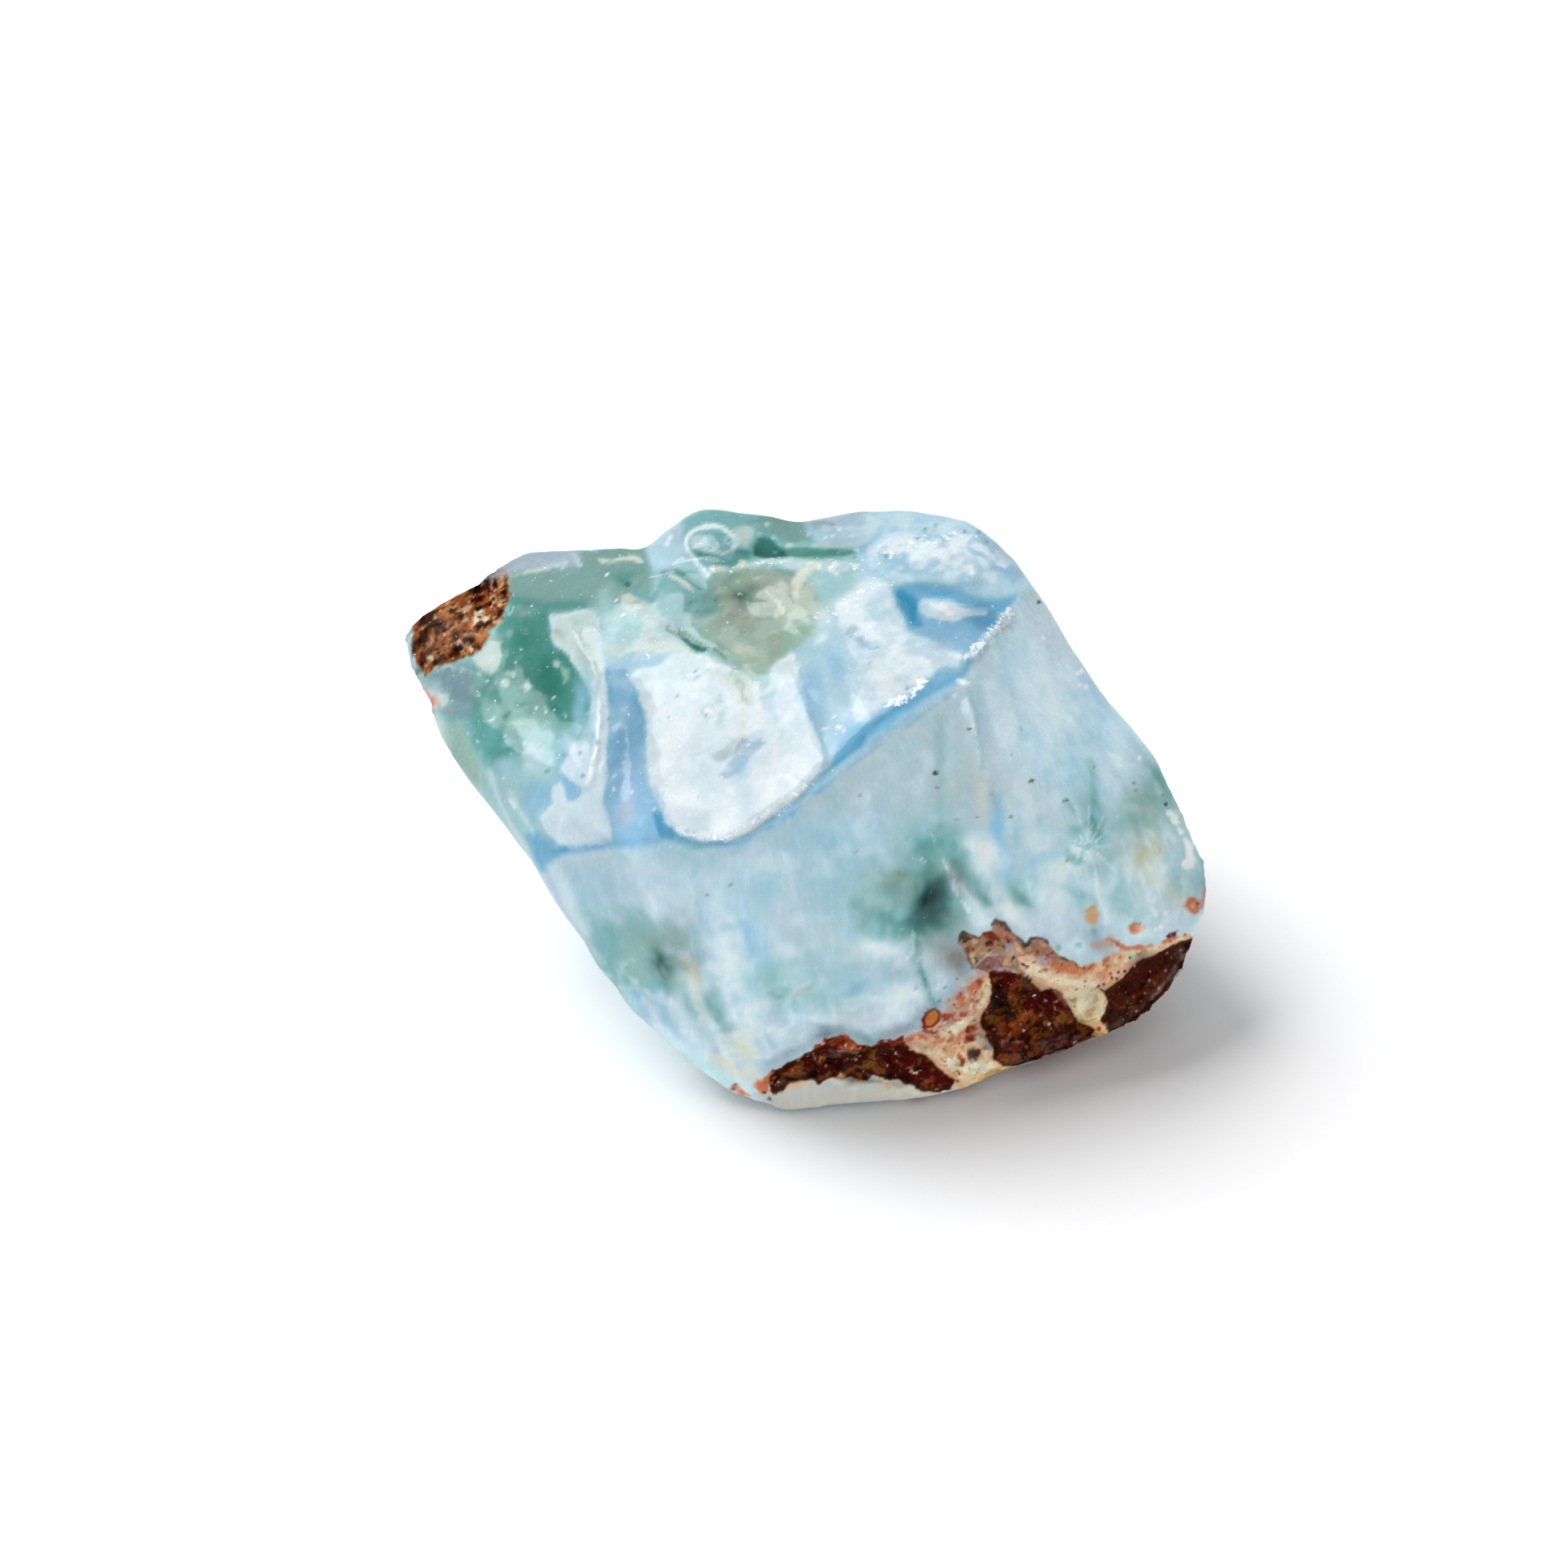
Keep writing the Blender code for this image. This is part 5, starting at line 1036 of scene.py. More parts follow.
glow("sky", 0.7, 0.5, 0.3, 0, (3.5, 12.1))
glow("lilac", 0.6, 1.6, 0.5, 0, (7.6, 9.6))
patch("steel", 0.85, 0.25, 0.3, [
    (1.9, 11.4), (2.6, 11.5), (3.0, 11.3), (3.2, 10.9), (3.7, 10.3), (4.1, 9.9), (3.9, 9.8), (3.1, 10.1),
    (2.6, 10.4), (2.1, 10.8)])
patch("foam", 0.9, 0.25, 0.3, [
    (3.0, 11.3), (3.3, 11.7), (3.9, 11.7), (4.4, 11.5), (4.7, 11.0), (4.9, 10.3), (4.6, 9.9), (4.1, 10.4), (3.7, 10.8)])
streak("mist", 0.8, 0.12, 0.3, [(5.0, 13.5), (5.5, 12.8), (5.5, 12.3), (5.85, 11.7)], 0.3)
spot("slate", 0.8, 0.1, (3.95, 10.1), (3.5, 9.15), (4.6, 9.4), (5.55, 9.1), (6.6, 8.4), (5.9, 7.6))
patch("mist", 0.9, 0.2, 0.2, [(0.1, 10.9), (0.3, 11.25), (0.7, 11.25), (0.9, 10.9), (0.7, 10.55), (0.3, 10.55)])
patch("foam", 0.75, 0.3, 0.3, [(1.6, 12.0), (2.0, 12.2), (2.2, 11.7), (1.9, 11.3), (1.5, 11.6)])
chalky(0.55, 0.25, [(4.6, 6.5), (5.2, 6.8), (6.0, 7.2), (6.6, 7.7), (7.2, 8.2)])
streak("snow", 0.9, 0.16, 0.35, [(5.9, 7.1), (6.3, 7.5), (6.8, 7.95)], 0.3)
spot("snow", 0.9, 0.16, (0.8, 5.1), (1.3, 5.9), (2.0, 5.0), (2.7, 5.5), (3.0, 5.7), (4.2, 5.65), (4.6, 6.1), (4.95, 6.7), (1.7, 5.2))
patch("blue", 0.8, 0.9, 0.2, [
    (2.0, 5.4), (3.3, 5.8), (5.0, 6.8), (6.7, 7.9), (8.4, 9.0), (9.4, 8.6), (8.2, 7.6), (6.2, 6.2), (4.5, 5.0), (3.0, 4.1), (1.3, 2.6)])
patch("azure", 0.9, 0.4, 0.2, [
    (2.2, 5.2), (2.7, 5.4), (3.3, 5.35), (4.2, 5.8), (5.0, 6.4), (5.9, 6.9), (6.7, 7.6), (7.3, 8.1), (7.8, 8.6),
    (8.6, 8.5), (9.3, 8.5), (8.9, 7.9), (8.2, 7.7), (7.6, 7.4), (7.0, 7.0), (6.2, 6.3), (5.2, 5.7), (4.5, 5.1),
    (3.7, 4.6), (3.0, 4.2), (2.6, 3.7), (2.0, 3.1), (1.3, 2.7), (1.2, 3.1), (1.7, 4.0)])
glow("deep", 0.8, 0.6, 0.35, 30, (2.8, 4.5))
glow("deep", 0.7, 0.4, 0.2, 25, (4.1, 5.3))
glow("deep", 0.5, 0.5, 0.2, 30, (5.2, 6.0))
glow("blue", 0.8, 0.9, 0.4, 20, (8.2, 8.1))

# The scalloped blue hollow below the right rim.
patch("blue", 1.0, 0.6, 0.2, [
    (5.0, 13.8), (6.0, 14.1), (7.0, 14.2), (8.2, 14.0), (9.2, 13.6), (10.0, 13.1), (11.0, 12.9), (12.0, 13.0),
    (12.6, 13.3), (12.4, 12.6), (12.0, 11.9), (11.4, 11.2), (10.8, 10.6), (10.3, 10.0), (9.8, 9.7), (9.0, 9.9),
    (8.0, 10.3), (7.0, 10.8), (6.0, 11.1), (5.9, 11.6), (5.6, 12.3), (5.5, 12.8), (5.1, 13.3)])
patch("azure", 0.8, 0.7, 0.2, [
    (5.0, 13.8), (6.0, 14.0), (7.0, 14.1), (8.2, 13.9), (9.2, 13.5), (10.0, 13.0), (11.0, 12.8), (12.0, 12.9),
    (12.4, 13.0), (11.6, 12.5), (10.8, 12.45), (9.8, 12.5), (9.2, 12.6), (8.6, 12.9), (8.0, 13.0),
    (7.0, 13.1), (6.4, 13.2), (6.0, 13.4)])
patch("deep", 0.95, 0.5, 0.2, [
    (5.1, 13.6), (5.6, 13.7), (6.2, 13.3), (6.6, 12.8), (6.7, 12.4), (6.5, 12.2), (6.7, 11.8), (6.9, 11.5),
    (6.4, 11.3), (5.9, 11.4), (5.8, 11.9), (5.6, 12.4), (5.4, 12.9), (5.2, 13.3)])
streak("gulf", 0.9, 0.16, 0.35, [(5.4, 13.35), (5.8, 13.1), (6.1, 12.7), (6.2, 12.2), (6.2, 11.8)])
glow("sky", 0.8, 0.9, 0.4, 0, (6.0, 10.8))
glow("steel", 0.7, 1.0, 0.4, 0, (8.0, 10.5))
glow("deep", 0.75, 1.0, 0.9, 0, (10.8, 11.7))
glow("deep", 0.5, 0.4, 0.25, 0, (11.6, 12.5))
patch("ice", 1.0, 0.2, 0.15, [
    (6.5, 12.6), (6.6, 12.9), (7.0, 13.0), (8.0, 13.0), (8.7, 12.9), (9.2, 12.6), (9.9, 12.45), (10.8, 12.4),
    (10.7, 12.15), (10.1, 12.05), (9.6, 12.0), (9.2, 11.8), (8.6, 11.7), (7.9, 11.75), (7.2, 12.0), (6.7, 12.2)])
streak("snow", 0.9, 0.14, 0.3, [(8.0, 12.6), (8.3, 12.45), (8.65, 12.15)])
glow("sky", 0.6, 0.3, 0.3, 0, (7.0, 12.6))
streak("milk", 0.7, 0.06, 0.2, [(6.8, 13.05), (8.0, 13.1), (9.0, 12.8), (10.0, 12.55), (11.2, 12.5)])
patch("ice", 0.95, 0.25, 0.35, [
    (9.7, 9.5), (10.1, 10.0), (10.4, 10.6), (10.9, 11.1), (11.5, 11.7), (12.0, 12.5), (12.8, 13.3), (12.6, 12.4),
    (12.1, 11.5), (11.5, 11.0), (10.9, 10.4), (10.4, 9.7), (9.9, 9.3)])
chalky(0.6, 0.25, [(9.4, 9.5), (9.9, 9.7), (10.4, 10.3), (11.0, 11.0), (11.6, 11.6), (12.2, 12.4)])
spot("tan", 0.6, 0.14, (11.6, 11.5), (11.9, 11.3))
spot("foam", 0.9, 0.2, (9.1, 9.55), (9.6, 9.6), (9.95, 9.8))
streak("azure", 0.55, 0.07, 0.25, [(9.6, 9.1), (10.3, 9.7), (10.9, 10.4), (11.5, 11.0)])
streak("azure", 0.9, 0.14, 0.3, [(9.7, 9.2), (9.5, 8.8), (9.3, 8.4)])
patch("foam", 0.9, 0.2, 0.2, [(8.95, 8.15), (9.1, 8.1), (9.4, 8.0), (9.75, 7.95), (9.6, 7.8), (9.2, 7.9), (9.0, 8.0)])

# The crease left of the slab, a seam of deep blue that fades to sea green; the blue is partly the stone's own and
# partly painted shade in the crease.
streak("periwinkle", 0.75, 0.18, 0.5, [(-14.6, -2.4), (-13.4, -2.3), (-12.2, -2.15), (-11.0, -2.1)])
streak("azure", 0.6, 0.12, 0.35, [(-13.3, -2.2), (-12.4, -2.1), (-11.6, -1.95)])
streak("blue", 0.7, 0.18, 0.5, [(-11.4, -2.0), (-10.4, -1.95), (-9.6, -1.8)])
patch("deep", 0.95, 0.2, 0.1, [
    (-9.8, -0.2), (-9.4, 0.1), (-9.2, -0.2), (-9.05, -0.7), (-8.6, -1.0), (-8.4, -1.3), (-7.7, -1.6), (-7.2, -1.85),
    (-6.5, -1.95), (-5.8, -1.8), (-5.2, -1.85), (-5.5, -2.0), (-6.3, -2.15), (-7.2, -2.0), (-8.2, -1.8),
    (-9.3, -1.6), (-9.5, -1.2), (-9.7, -0.7)])
streak("blue", 0.7, 0.12, 0.35, [(-10.1, 1.0), (-9.8, 0.5), (-9.5, 0.1)])
glow("sea", 0.7, 0.8, 0.3, 0, (-6.8, -2.35))
glow("lake", 0.7, 1.2, 0.4, 0, (-9.0, -2.1))
streak("azure", 0.6, 0.1, 0.35, [(-5.2, -1.95), (-4.4, -1.7), (-3.6, -1.25), (-2.2, -0.45), (-1.2, 0.3), (0.0, 1.5)])
streak("lake", 0.8, 0.3, 0.6, [(-5.0, -2.3), (-3.8, -1.6), (-2.0, -0.5), (-0.6, 0.8), (0.6, 2.0), (1.2, 2.6)])
streak("deep", 0.6, 0.1, 0.3, [(0.6, 2.2), (1.4, 2.9), (2.2, 3.6)])

# The left rim and the lichen-green strip of the top.
patch("lichen", 0.9, 0.4, 0.2, [(-13.2, 16.3), (-10.4, 16.4), (-10.2, 15.8), (-11.6, 15.7), (-13.2, 15.6)])
glow("jade", 0.5, 1.4, 0.5, 0, (-11.6, 14.6))
glow("fir", 0.45, 0.6, 0.4, 0, (-11.6, 14.0))
spot("fir", 0.9, 0.2, (-11.35, 14.0))
glow("aqua", 0.7, 0.6, 0.9, 0, (-12.7, 12.6))
glow("lake", 0.7, 0.5, 0.5, 0, (-12.4, 10.9))
glow("mist", 0.7, 0.4, 0.4, 0, (-12.5, 9.9))
glow("aqua", 0.6, 0.6, 0.4, 0, (-11.3, 11.1))
streak("pearl", 0.85, 0.1, 0.25, [(-13.0, 15.5), (-12.0, 15.55), (-11.0, 15.65), (-10.6, 15.5)], 0.3)
patch("sea", 0.9, 0.3, 0.1, [
    (-11.1, 13.55), (-10.6, 13.7), (-10.2, 13.5), (-9.9, 13.3), (-9.6, 13.6), (-9.6, 12.9), (-9.8, 12.8),
    (-10.2, 13.0), (-10.7, 13.2)])
patch("fog", 0.95, 0.25, 0.2, [
    (-11.8, 13.4), (-11.2, 13.4), (-10.7, 13.1), (-10.0, 12.8), (-9.8, 12.6), (-10.2, 12.4), (-11.0, 12.3),
    (-11.5, 12.4), (-11.7, 12.9)])
glow("drab", 0.7, 0.4, 0.2, -20, (-10.4, 12.6))
streak("drab", 0.8, 0.16, 0.4, [(-10.4, 12.3), (-9.3, 11.6), (-8.6, 11.1), (-8.1, 10.8)])
spot("snow", 0.8, 0.11, (-11.65, 12.1), (-10.2, 12.05), (-12.1, 13.0), (-12.6, 14.6))

# The curled lump at the top and the cheek below it.
patch("sky", 0.85, 0.5, 0.2, [
    (-10.2, 16.2), (-9.4, 17.4), (-8.0, 18.2), (-7.6, 17.0), (-7.8, 16.2), (-7.4, 15.4), (-8.6, 14.9), (-9.8, 14.8)])
patch("lagoon", 0.95, 0.5, 0.2, [
    (-8.0, 18.6), (-6.0, 19.0), (-3.6, 18.6), (-1.2, 18.1), (-0.6, 17.0), (-1.6, 16.0), (-4.0, 15.4), (-6.4, 14.5),
    (-7.4, 15.4), (-7.9, 16.6)])
patch("lagoon", 0.95, 0.35, 0.2, [
    (-9.0, 14.9), (-9.4, 14.2), (-9.6, 13.3), (-9.4, 12.4), (-8.8, 11.7), (-8.2, 11.3), (-7.0, 11.4), (-5.9, 12.2),
    (-5.6, 13.2), (-6.2, 14.2), (-7.4, 14.9)])
glow("celadon", 0.8, 0.7, 0.8, 0, (-6.4, 12.7))
glow("aqua", 0.5, 0.5, 0.5, 0, (-8.4, 13.2))
glow("fog", 0.6, 0.8, 0.4, 0, (-6.9, 11.7))
# The steel streak along the groove below the lump is painted shadow.
streak("steel", 0.6, 0.2, 0.5, [(-9.4, 14.8), (-9.0, 14.9), (-8.6, 14.9)])
streak("teal", 0.85, 0.1, 0.3, [(-9.2, 14.7), (-8.3, 14.8), (-7.7, 14.5), (-7.2, 14.1), (-6.8, 13.8)])
patch("pearl", 0.9, 0.15, 0.15, [
    (-8.9, 14.7), (-8.5, 14.65), (-8.0, 14.4), (-7.5, 14.05), (-7.1, 13.6), (-7.3, 13.5), (-7.8, 13.8), (-8.3, 14.2), (-8.8, 14.5)])
spot("denim", 0.8, 0.13, (-7.4, 12.9), (-7.0, 12.35), (-5.9, 13.0))
patch("fog", 0.95, 0.2, 0.15, [
    (-10.6, 11.2), (-10.3, 11.6), (-9.8, 11.4), (-9.2, 10.9), (-8.6, 10.6), (-8.1, 10.4), (-7.6, 10.1), (-7.3, 9.9),
    (-8.0, 9.8), (-8.6, 9.95), (-9.3, 9.75), (-9.7, 9.8), (-10.0, 10.0), (-10.6, 10.1), (-11.2, 9.9),
    (-11.8, 9.55), (-12.3, 9.6), (-12.5, 10.2), (-11.7, 10.3), (-10.7, 10.4)])
streak("pearl", 0.8, 0.06, 0.2, [(-11.8, 9.65), (-11.0, 10.0), (-10.2, 10.1), (-9.5, 9.85), (-8.6, 10.05), (-7.6, 9.95)])
glow("aqua", 0.5, 0.4, 0.2, -30, (-9.8, 10.8))
patch("blue", 0.75, 0.25, 0.1, [
    (-11.9, 9.4), (-11.2, 9.7), (-10.6, 9.95), (-10.2, 9.7), (-9.7, 9.5), (-9.2, 9.6), (-8.7, 9.8), (-8.8, 9.5),
    (-9.4, 9.1), (-10.0, 8.9), (-10.8, 8.8), (-11.4, 8.9)])
patch("fir", 0.95, 0.2, 0.1, [
    (-8.4, 11.4), (-7.9, 11.15), (-7.3, 10.7), (-6.8, 10.4), (-6.4, 10.1), (-6.45, 9.85), (-6.8, 9.75), (-7.2, 9.85),
    (-7.6, 10.2), (-8.0, 10.6), (-8.2, 11.0)])
streak("fog", 0.6, 0.04, 0.15, [(-7.9, 10.8), (-7.5, 10.6), (-7.1, 10.4)])
patch("moss", 0.9, 0.25, 0.1, [(-5.7, 10.6), (-5.5, 10.3), (-5.4, 9.8), (-5.1, 9.3), (-5.3, 9.2), (-5.7, 9.6), (-6.1, 10.0)])
spot("pine", 0.9, 0.2, (-5.6, 10.5), (-5.4, 10.2))
streak("pewter", 0.7, 0.1, 0.3, [(-5.4, 11.2), (-5.4, 10.8)])
glow("sea", 0.6, 1.6, 0.5, 0, (-5.6, 18.2))
glow("haze", 0.5, 1.0, 0.4, 0, (-8.2, 17.6))
patch("mist", 0.8, 0.3, 0.2, [(-7.5, 16.9), (-6.9, 17.1), (-6.3, 16.8), (-6.4, 16.2), (-7.0, 16.1), (-7.5, 16.4)])
patch("sea", 0.85, 0.3, 0.15, [(-6.5, 17.2), (-5.4, 17.2), (-5.2, 16.9), (-5.6, 16.5), (-6.3, 16.5)])
patch("teal", 0.85, 0.3, 0.15, [
    (-7.2, 16.1), (-6.4, 15.9), (-5.9, 15.65), (-5.4, 15.5), (-5.0, 15.5), (-4.7, 15.9), (-4.4, 16.15), (-4.0, 16.1),
    (-3.8, 15.6), (-4.4, 15.35), (-5.0, 15.1), (-5.6, 15.15), (-6.3, 15.4), (-7.0, 15.8)])
streak("foam", 0.9, 0.12, 0.25, [
    (-6.4, 14.6), (-7.0, 15.3), (-7.5, 15.9), (-7.75, 16.4), (-7.7, 16.9), (-7.3, 17.3), (-6.8, 17.5), (-6.2, 17.6),
    (-5.5, 17.5), (-5.1, 17.2), (-4.7, 16.9), (-4.7, 16.4), (-5.0, 16.05), (-5.5, 15.9), (-6.0, 16.1), (-6.6, 16.1)], 0.15)
streak("mist", 0.8, 0.06, 0.2, [(-5.4, 16.75), (-5.15, 17.0), (-4.9, 16.75), (-5.15, 16.5), (-5.4, 16.75)])
spot("teal", 0.7, 0.12, (-5.15, 16.75))
spot("foam", 0.85, 0.2, (-8.7, 16.9), (-8.9, 16.5))
patch("fog", 0.9, 0.25, 0.25, [(-4.8, 17.4), (-4.2, 17.6), (-3.6, 17.4), (-3.5, 16.8), (-3.9, 16.3), (-4.4, 16.4), (-4.6, 16.9)])
patch("lichen", 0.9, 0.4, 0.2, [(-3.4, 18.4), (-0.6, 18.0), (0.4, 17.8), (0.2, 16.8), (-1.4, 16.4), (-2.2, 17.0), (-3.2, 17.2)])
patch("jade", 0.85, 0.3, 0.1, [
    (-3.2, 15.9), (-2.5, 16.8), (-2.0, 16.4), (-1.6, 16.2), (-1.0, 16.3), (0.2, 16.3), (2.4, 16.3), (2.8, 16.0), (2.0, 15.7),
    (0.6, 15.55), (-1.4, 15.7), (-2.4, 15.6)])
patch("pine", 0.95, 0.2, 0.1, [
    (-3.6, 16.4), (-3.3, 16.8), (-2.9, 16.9), (-2.5, 16.8), (-2.3, 16.5), (-2.0, 16.2), (-1.6, 16.1), (-1.5, 15.7),
    (-2.2, 15.6), (-2.9, 15.6), (-3.5, 15.75)])
glow("ink", 0.4, 0.3, 0.2, 0, (-3.0, 16.3))
glow("sea", 0.6, 0.6, 0.3, 0, (-0.4, 16.6))
glow("teal", 0.4, 0.5, 0.2, 0, (-3.6, 17.7))
spot("fog", 0.9, 0.18, (-3.15, 17.1), (-2.3, 16.9), (-1.4, 16.4), (-0.2, 17.1), (-2.7, 17.7))
patch("pearl", 0.95, 0.2, 0.25, [(-6.3, 15.0), (-5.7, 15.2), (-5.3, 15.1), (-5.2, 14.8), (-5.7, 14.6), (-6.1, 14.7)])
patch("pearl", 0.9, 0.2, 0.25, [(-4.8, 14.9), (-4.4, 15.3), (-4.1, 15.4), (-4.0, 15.0), (-4.3, 14.7)])
streak("pearl", 0.85, 0.1, 0.25, [(-3.8, 15.2), (-3.4, 15.3), (-3.0, 15.5), (-2.6, 15.5)], 0.2)
patch("mist", 0.95, 0.25, 0.25, [
    (-2.6, 15.5), (-1.8, 15.6), (-0.8, 15.6), (0.4, 15.5), (1.6, 15.4), (2.4, 15.3), (2.2, 14.9), (1.0, 14.7), (0.2, 14.9),
    (-0.4, 15.2), (-0.9, 14.9), (-1.5, 15.0), (-2.0, 15.2)])
chalky(0.28, 0.2, [(-6.1, 14.9), (-5.2, 15.0), (-4.2, 15.1), (-3.2, 15.3), (-2.0, 15.4), (-0.8, 15.3), (0.6, 15.1), (2.6, 15.1), (4.0, 15.5)])
spot("foam", 0.9, 0.22, (-0.2, 15.2), (0.4, 15.1), (1.2, 14.9), (1.4, 15.2), (2.7, 15.1), (3.7, 15.4), (1.5, 14.6))

# The hollow in the middle of the top, greenish and tan.
patch("sage", 0.95, 0.5, 0.3, [
    (-6.4, 14.4), (-5.0, 14.7), (-3.0, 15.1), (-1.2, 14.7), (-0.2, 14.0), (0.8, 13.0), (0.9, 12.0), (0.2, 11.0), (-1.0, 10.2),
    (-1.6, 9.7), (-2.6, 8.9), (-3.6, 8.2), (-4.6, 8.8), (-5.2, 9.3), (-5.6, 10.4), (-6.6, 10.2), (-7.0, 11.2), (-5.8, 12.2), (-5.7, 13.4)])
patch("moss", 0.8, 0.5, 0.3, [(-5.6, 14.3), (-4.4, 14.5), (-3.4, 14.0), (-3.2, 13.2), (-4.2, 12.9), (-5.2, 13.0)])
glow("jade", 0.6, 0.7, 0.4, 0, (-4.6, 13.8))
patch("sea", 0.9, 0.25, 0.15, [
    (-2.6, 15.2), (-2.1, 15.1), (-1.6, 14.9), (-1.1, 14.8), (-0.7, 14.6), (-1.0, 14.3), (-1.5, 14.3), (-2.0, 14.6), (-2.4, 14.9)])
glow("teal", 0.5, 0.4, 0.15, -20, (-1.8, 14.7))
glow("drab", 0.8, 0.7, 0.4, 0, (-1.8, 14.1))
glow("drab", 0.7, 1.0, 0.9, 0, (-2.6, 12.9))
glow("drab", 0.7, 1.2, 0.4, 0, (-3.5, 12.1))
patch("teal", 0.9, 0.25, 0.15, [(-4.3, 12.6), (-4.0, 12.85), (-3.7, 12.85), (-3.4, 12.6), (-3.7, 12.35), (-4.1, 12.35)])
spot("pine", 0.8, 0.14, (-3.9, 12.6), (-4.0, 11.95), (-4.2, 11.2))
glow("fog", 0.7, 0.8, 0.5, 0, (-4.0, 10.6))
glow("khaki", 0.6, 0.8, 0.6, 0, (-3.0, 11.2))
glow("celadon", 0.8, 0.8, 0.6, 0, (-1.2, 11.2))
glow("celadon", 0.8, 0.7, 0.4, 0, (-3.8, 8.8))
glow("fog", 0.6, 0.7, 0.6, 0, (-0.8, 12.8))
glow("khaki", 0.5, 0.5, 0.4, 0, (0.4, 12.8))
glow("fog", 0.7, 0.5, 0.4, 0, (0.7, 12.0))
patch("pearl", 0.85, 0.2, 0.15, [(-5.0, 10.2), (-4.7, 9.8), (-4.2, 9.3), (-3.8, 9.2), (-3.9, 9.5), (-4.5, 10.0)])
streak("pearl", 0.85, 0.06, 0.2, [(-2.7, 13.5), (-2.1, 12.9), (-1.7, 12.2), (-1.65, 11.8)])
spot("pearl", 0.85, 0.18, (-4.7, 11.4), (-3.0, 11.4), (-2.4, 11.4), (-5.3, 12.2), (-3.4, 12.0), (-0.9, 12.9), (-2.2, 10.4), (-0.3, 12.4))
patch("aqua", 0.9, 0.3, 0.2, [
    (-0.6, 14.6), (0.0, 14.9), (1.0, 14.7), (2.0, 14.4), (2.6, 13.8), (2.4, 13.3), (1.4, 13.0), (0.8, 13.1), (0.0, 13.6), (-0.6, 13.8)])
glow("mist", 0.7, 0.5, 0.3, 0, (0.2, 14.3))
streak("pearl", 0.95, 0.18, 0.25, [(-0.95, 13.8), (-0.9, 14.4), (-0.5, 14.9), (0.0, 15.1)], 0.2)

# The right part of the top, up to the rim.
patch("sky", 1.0, 0.5, 0.2, [
    (-0.4, 18.0), (2.0, 18.8), (6.0, 19.0), (9.6, 18.2), (12.4, 16.0), (13.8, 13.9), (12.8, 13.4), (11.0, 13.1), (9.6, 13.6), (8.2, 14.2),
    (6.0, 14.3), (5.0, 13.9), (4.4, 14.4), (3.2, 14.0), (2.6, 14.6), (3.0, 15.4), (2.8, 16.1), (0.4, 16.5), (-0.2, 17.2)])
patch("haze", 0.7, 0.6, 0.2, [(-0.4, 18.2), (3.4, 18.6), (3.2, 17.8), (1.0, 17.6), (0.0, 17.4)])
glow("aqua", 0.7, 1.4, 0.4, 0, (1.6, 17.0))
glow("lichen", 0.6, 0.7, 0.3, 0, (0.3, 17.8))
glow("sea", 0.6, 0.3, 0.3, 0, (0.1, 17.5))
streak("haze", 0.7, 0.08, 0.25, [(1.0, 17.75), (1.6, 17.8), (2.2, 17.75)])
streak("mist", 0.9, 0.14, 0.3, [
    (0.1, 16.4), (0.6, 16.35), (1.6, 16.35), (2.8, 16.5), (3.3, 16.7), (3.6, 17.1), (3.7, 17.5), (4.2, 17.9)], 0.2)
streak("blue", 0.7, 0.2, 0.5, [(3.0, 16.1), (3.7, 16.5), (4.2, 17.2)])
spot("foam", 0.85, 0.13, (1.2, 17.0), (1.7, 17.4), (2.5, 17.0), (0.8, 16.9))
glow("blue", 0.5, 0.6, 0.4, 0, (4.3, 14.9))
glow("blue", 0.5, 0.4, 0.3, 0, (5.7, 15.2))
glow("mist", 0.7, 1.4, 0.3, 0, (5.8, 18.3))
patch("milk", 0.95, 0.3, 0.35, [
    (6.0, 15.8), (6.3, 16.5), (7.0, 16.7), (8.5, 16.8), (9.6, 17.1), (10.2, 17.2), (9.6, 16.6), (9.0, 16.2), (9.4, 15.8),
    (10.2, 15.7), (10.7, 15.3), (10.8, 14.9), (11.4, 14.7), (11.5, 14.2), (11.0, 14.3), (10.2, 14.5), (9.4, 14.5), (8.6, 14.8),
    (7.4, 14.9), (6.4, 15.0), (6.0, 15.3)])
glow("foam", 0.8, 1.0, 0.4, 0, (7.6, 16.1))
glow("foam", 0.8, 0.7, 0.3, 0, (9.6, 15.1))
spot("snow", 0.9, 0.2, (9.9, 14.7))
streak("blue", 0.6, 0.1, 0.3, [(9.1, 15.9), (9.8, 16.3)])
chalky(0.35, 0.25, [(4.1, 16.2), (4.8, 15.95), (5.4, 16.15), (6.0, 16.4), (6.6, 16.75), (7.2, 16.6), (8.0, 16.8), (9.0, 17.0), (9.8, 17.1)])
streak("foam", 0.85, 0.1, 0.3, [(4.1, 16.2), (4.8, 15.95), (5.4, 16.15), (6.0, 16.4), (6.6, 16.7), (7.4, 16.7)], 0.35)
patch("steel", 0.8, 0.5, 0.2, [(10.4, 17.2), (12.2, 16.0), (13.2, 14.6), (12.4, 14.0), (11.6, 14.8), (10.8, 15.8), (10.2, 16.6)])
glow("blue", 0.6, 0.5, 0.4, 0, (12.0, 15.0))
streak("haze", 0.8, 0.12, 0.4, [(9.8, 17.8), (11.0, 17.0), (12.4, 15.6), (13.2, 14.6)])
glow("steel", 0.6, 1.0, 0.3, 0, (9.5, 13.9))
glow("mist", 0.6, 1.2, 0.3, 0, (6.4, 14.6))
spot("lichen", 0.9, 0.15, (1.2, 17.7), (7.0, 17.4), (7.65, 17.6), (7.55, 17.3), (9.4, 17.2), (10.3, 17.2), (10.8, 16.65), (6.6, 16.85), (4.6, 15.75), (2.7, 15.7))

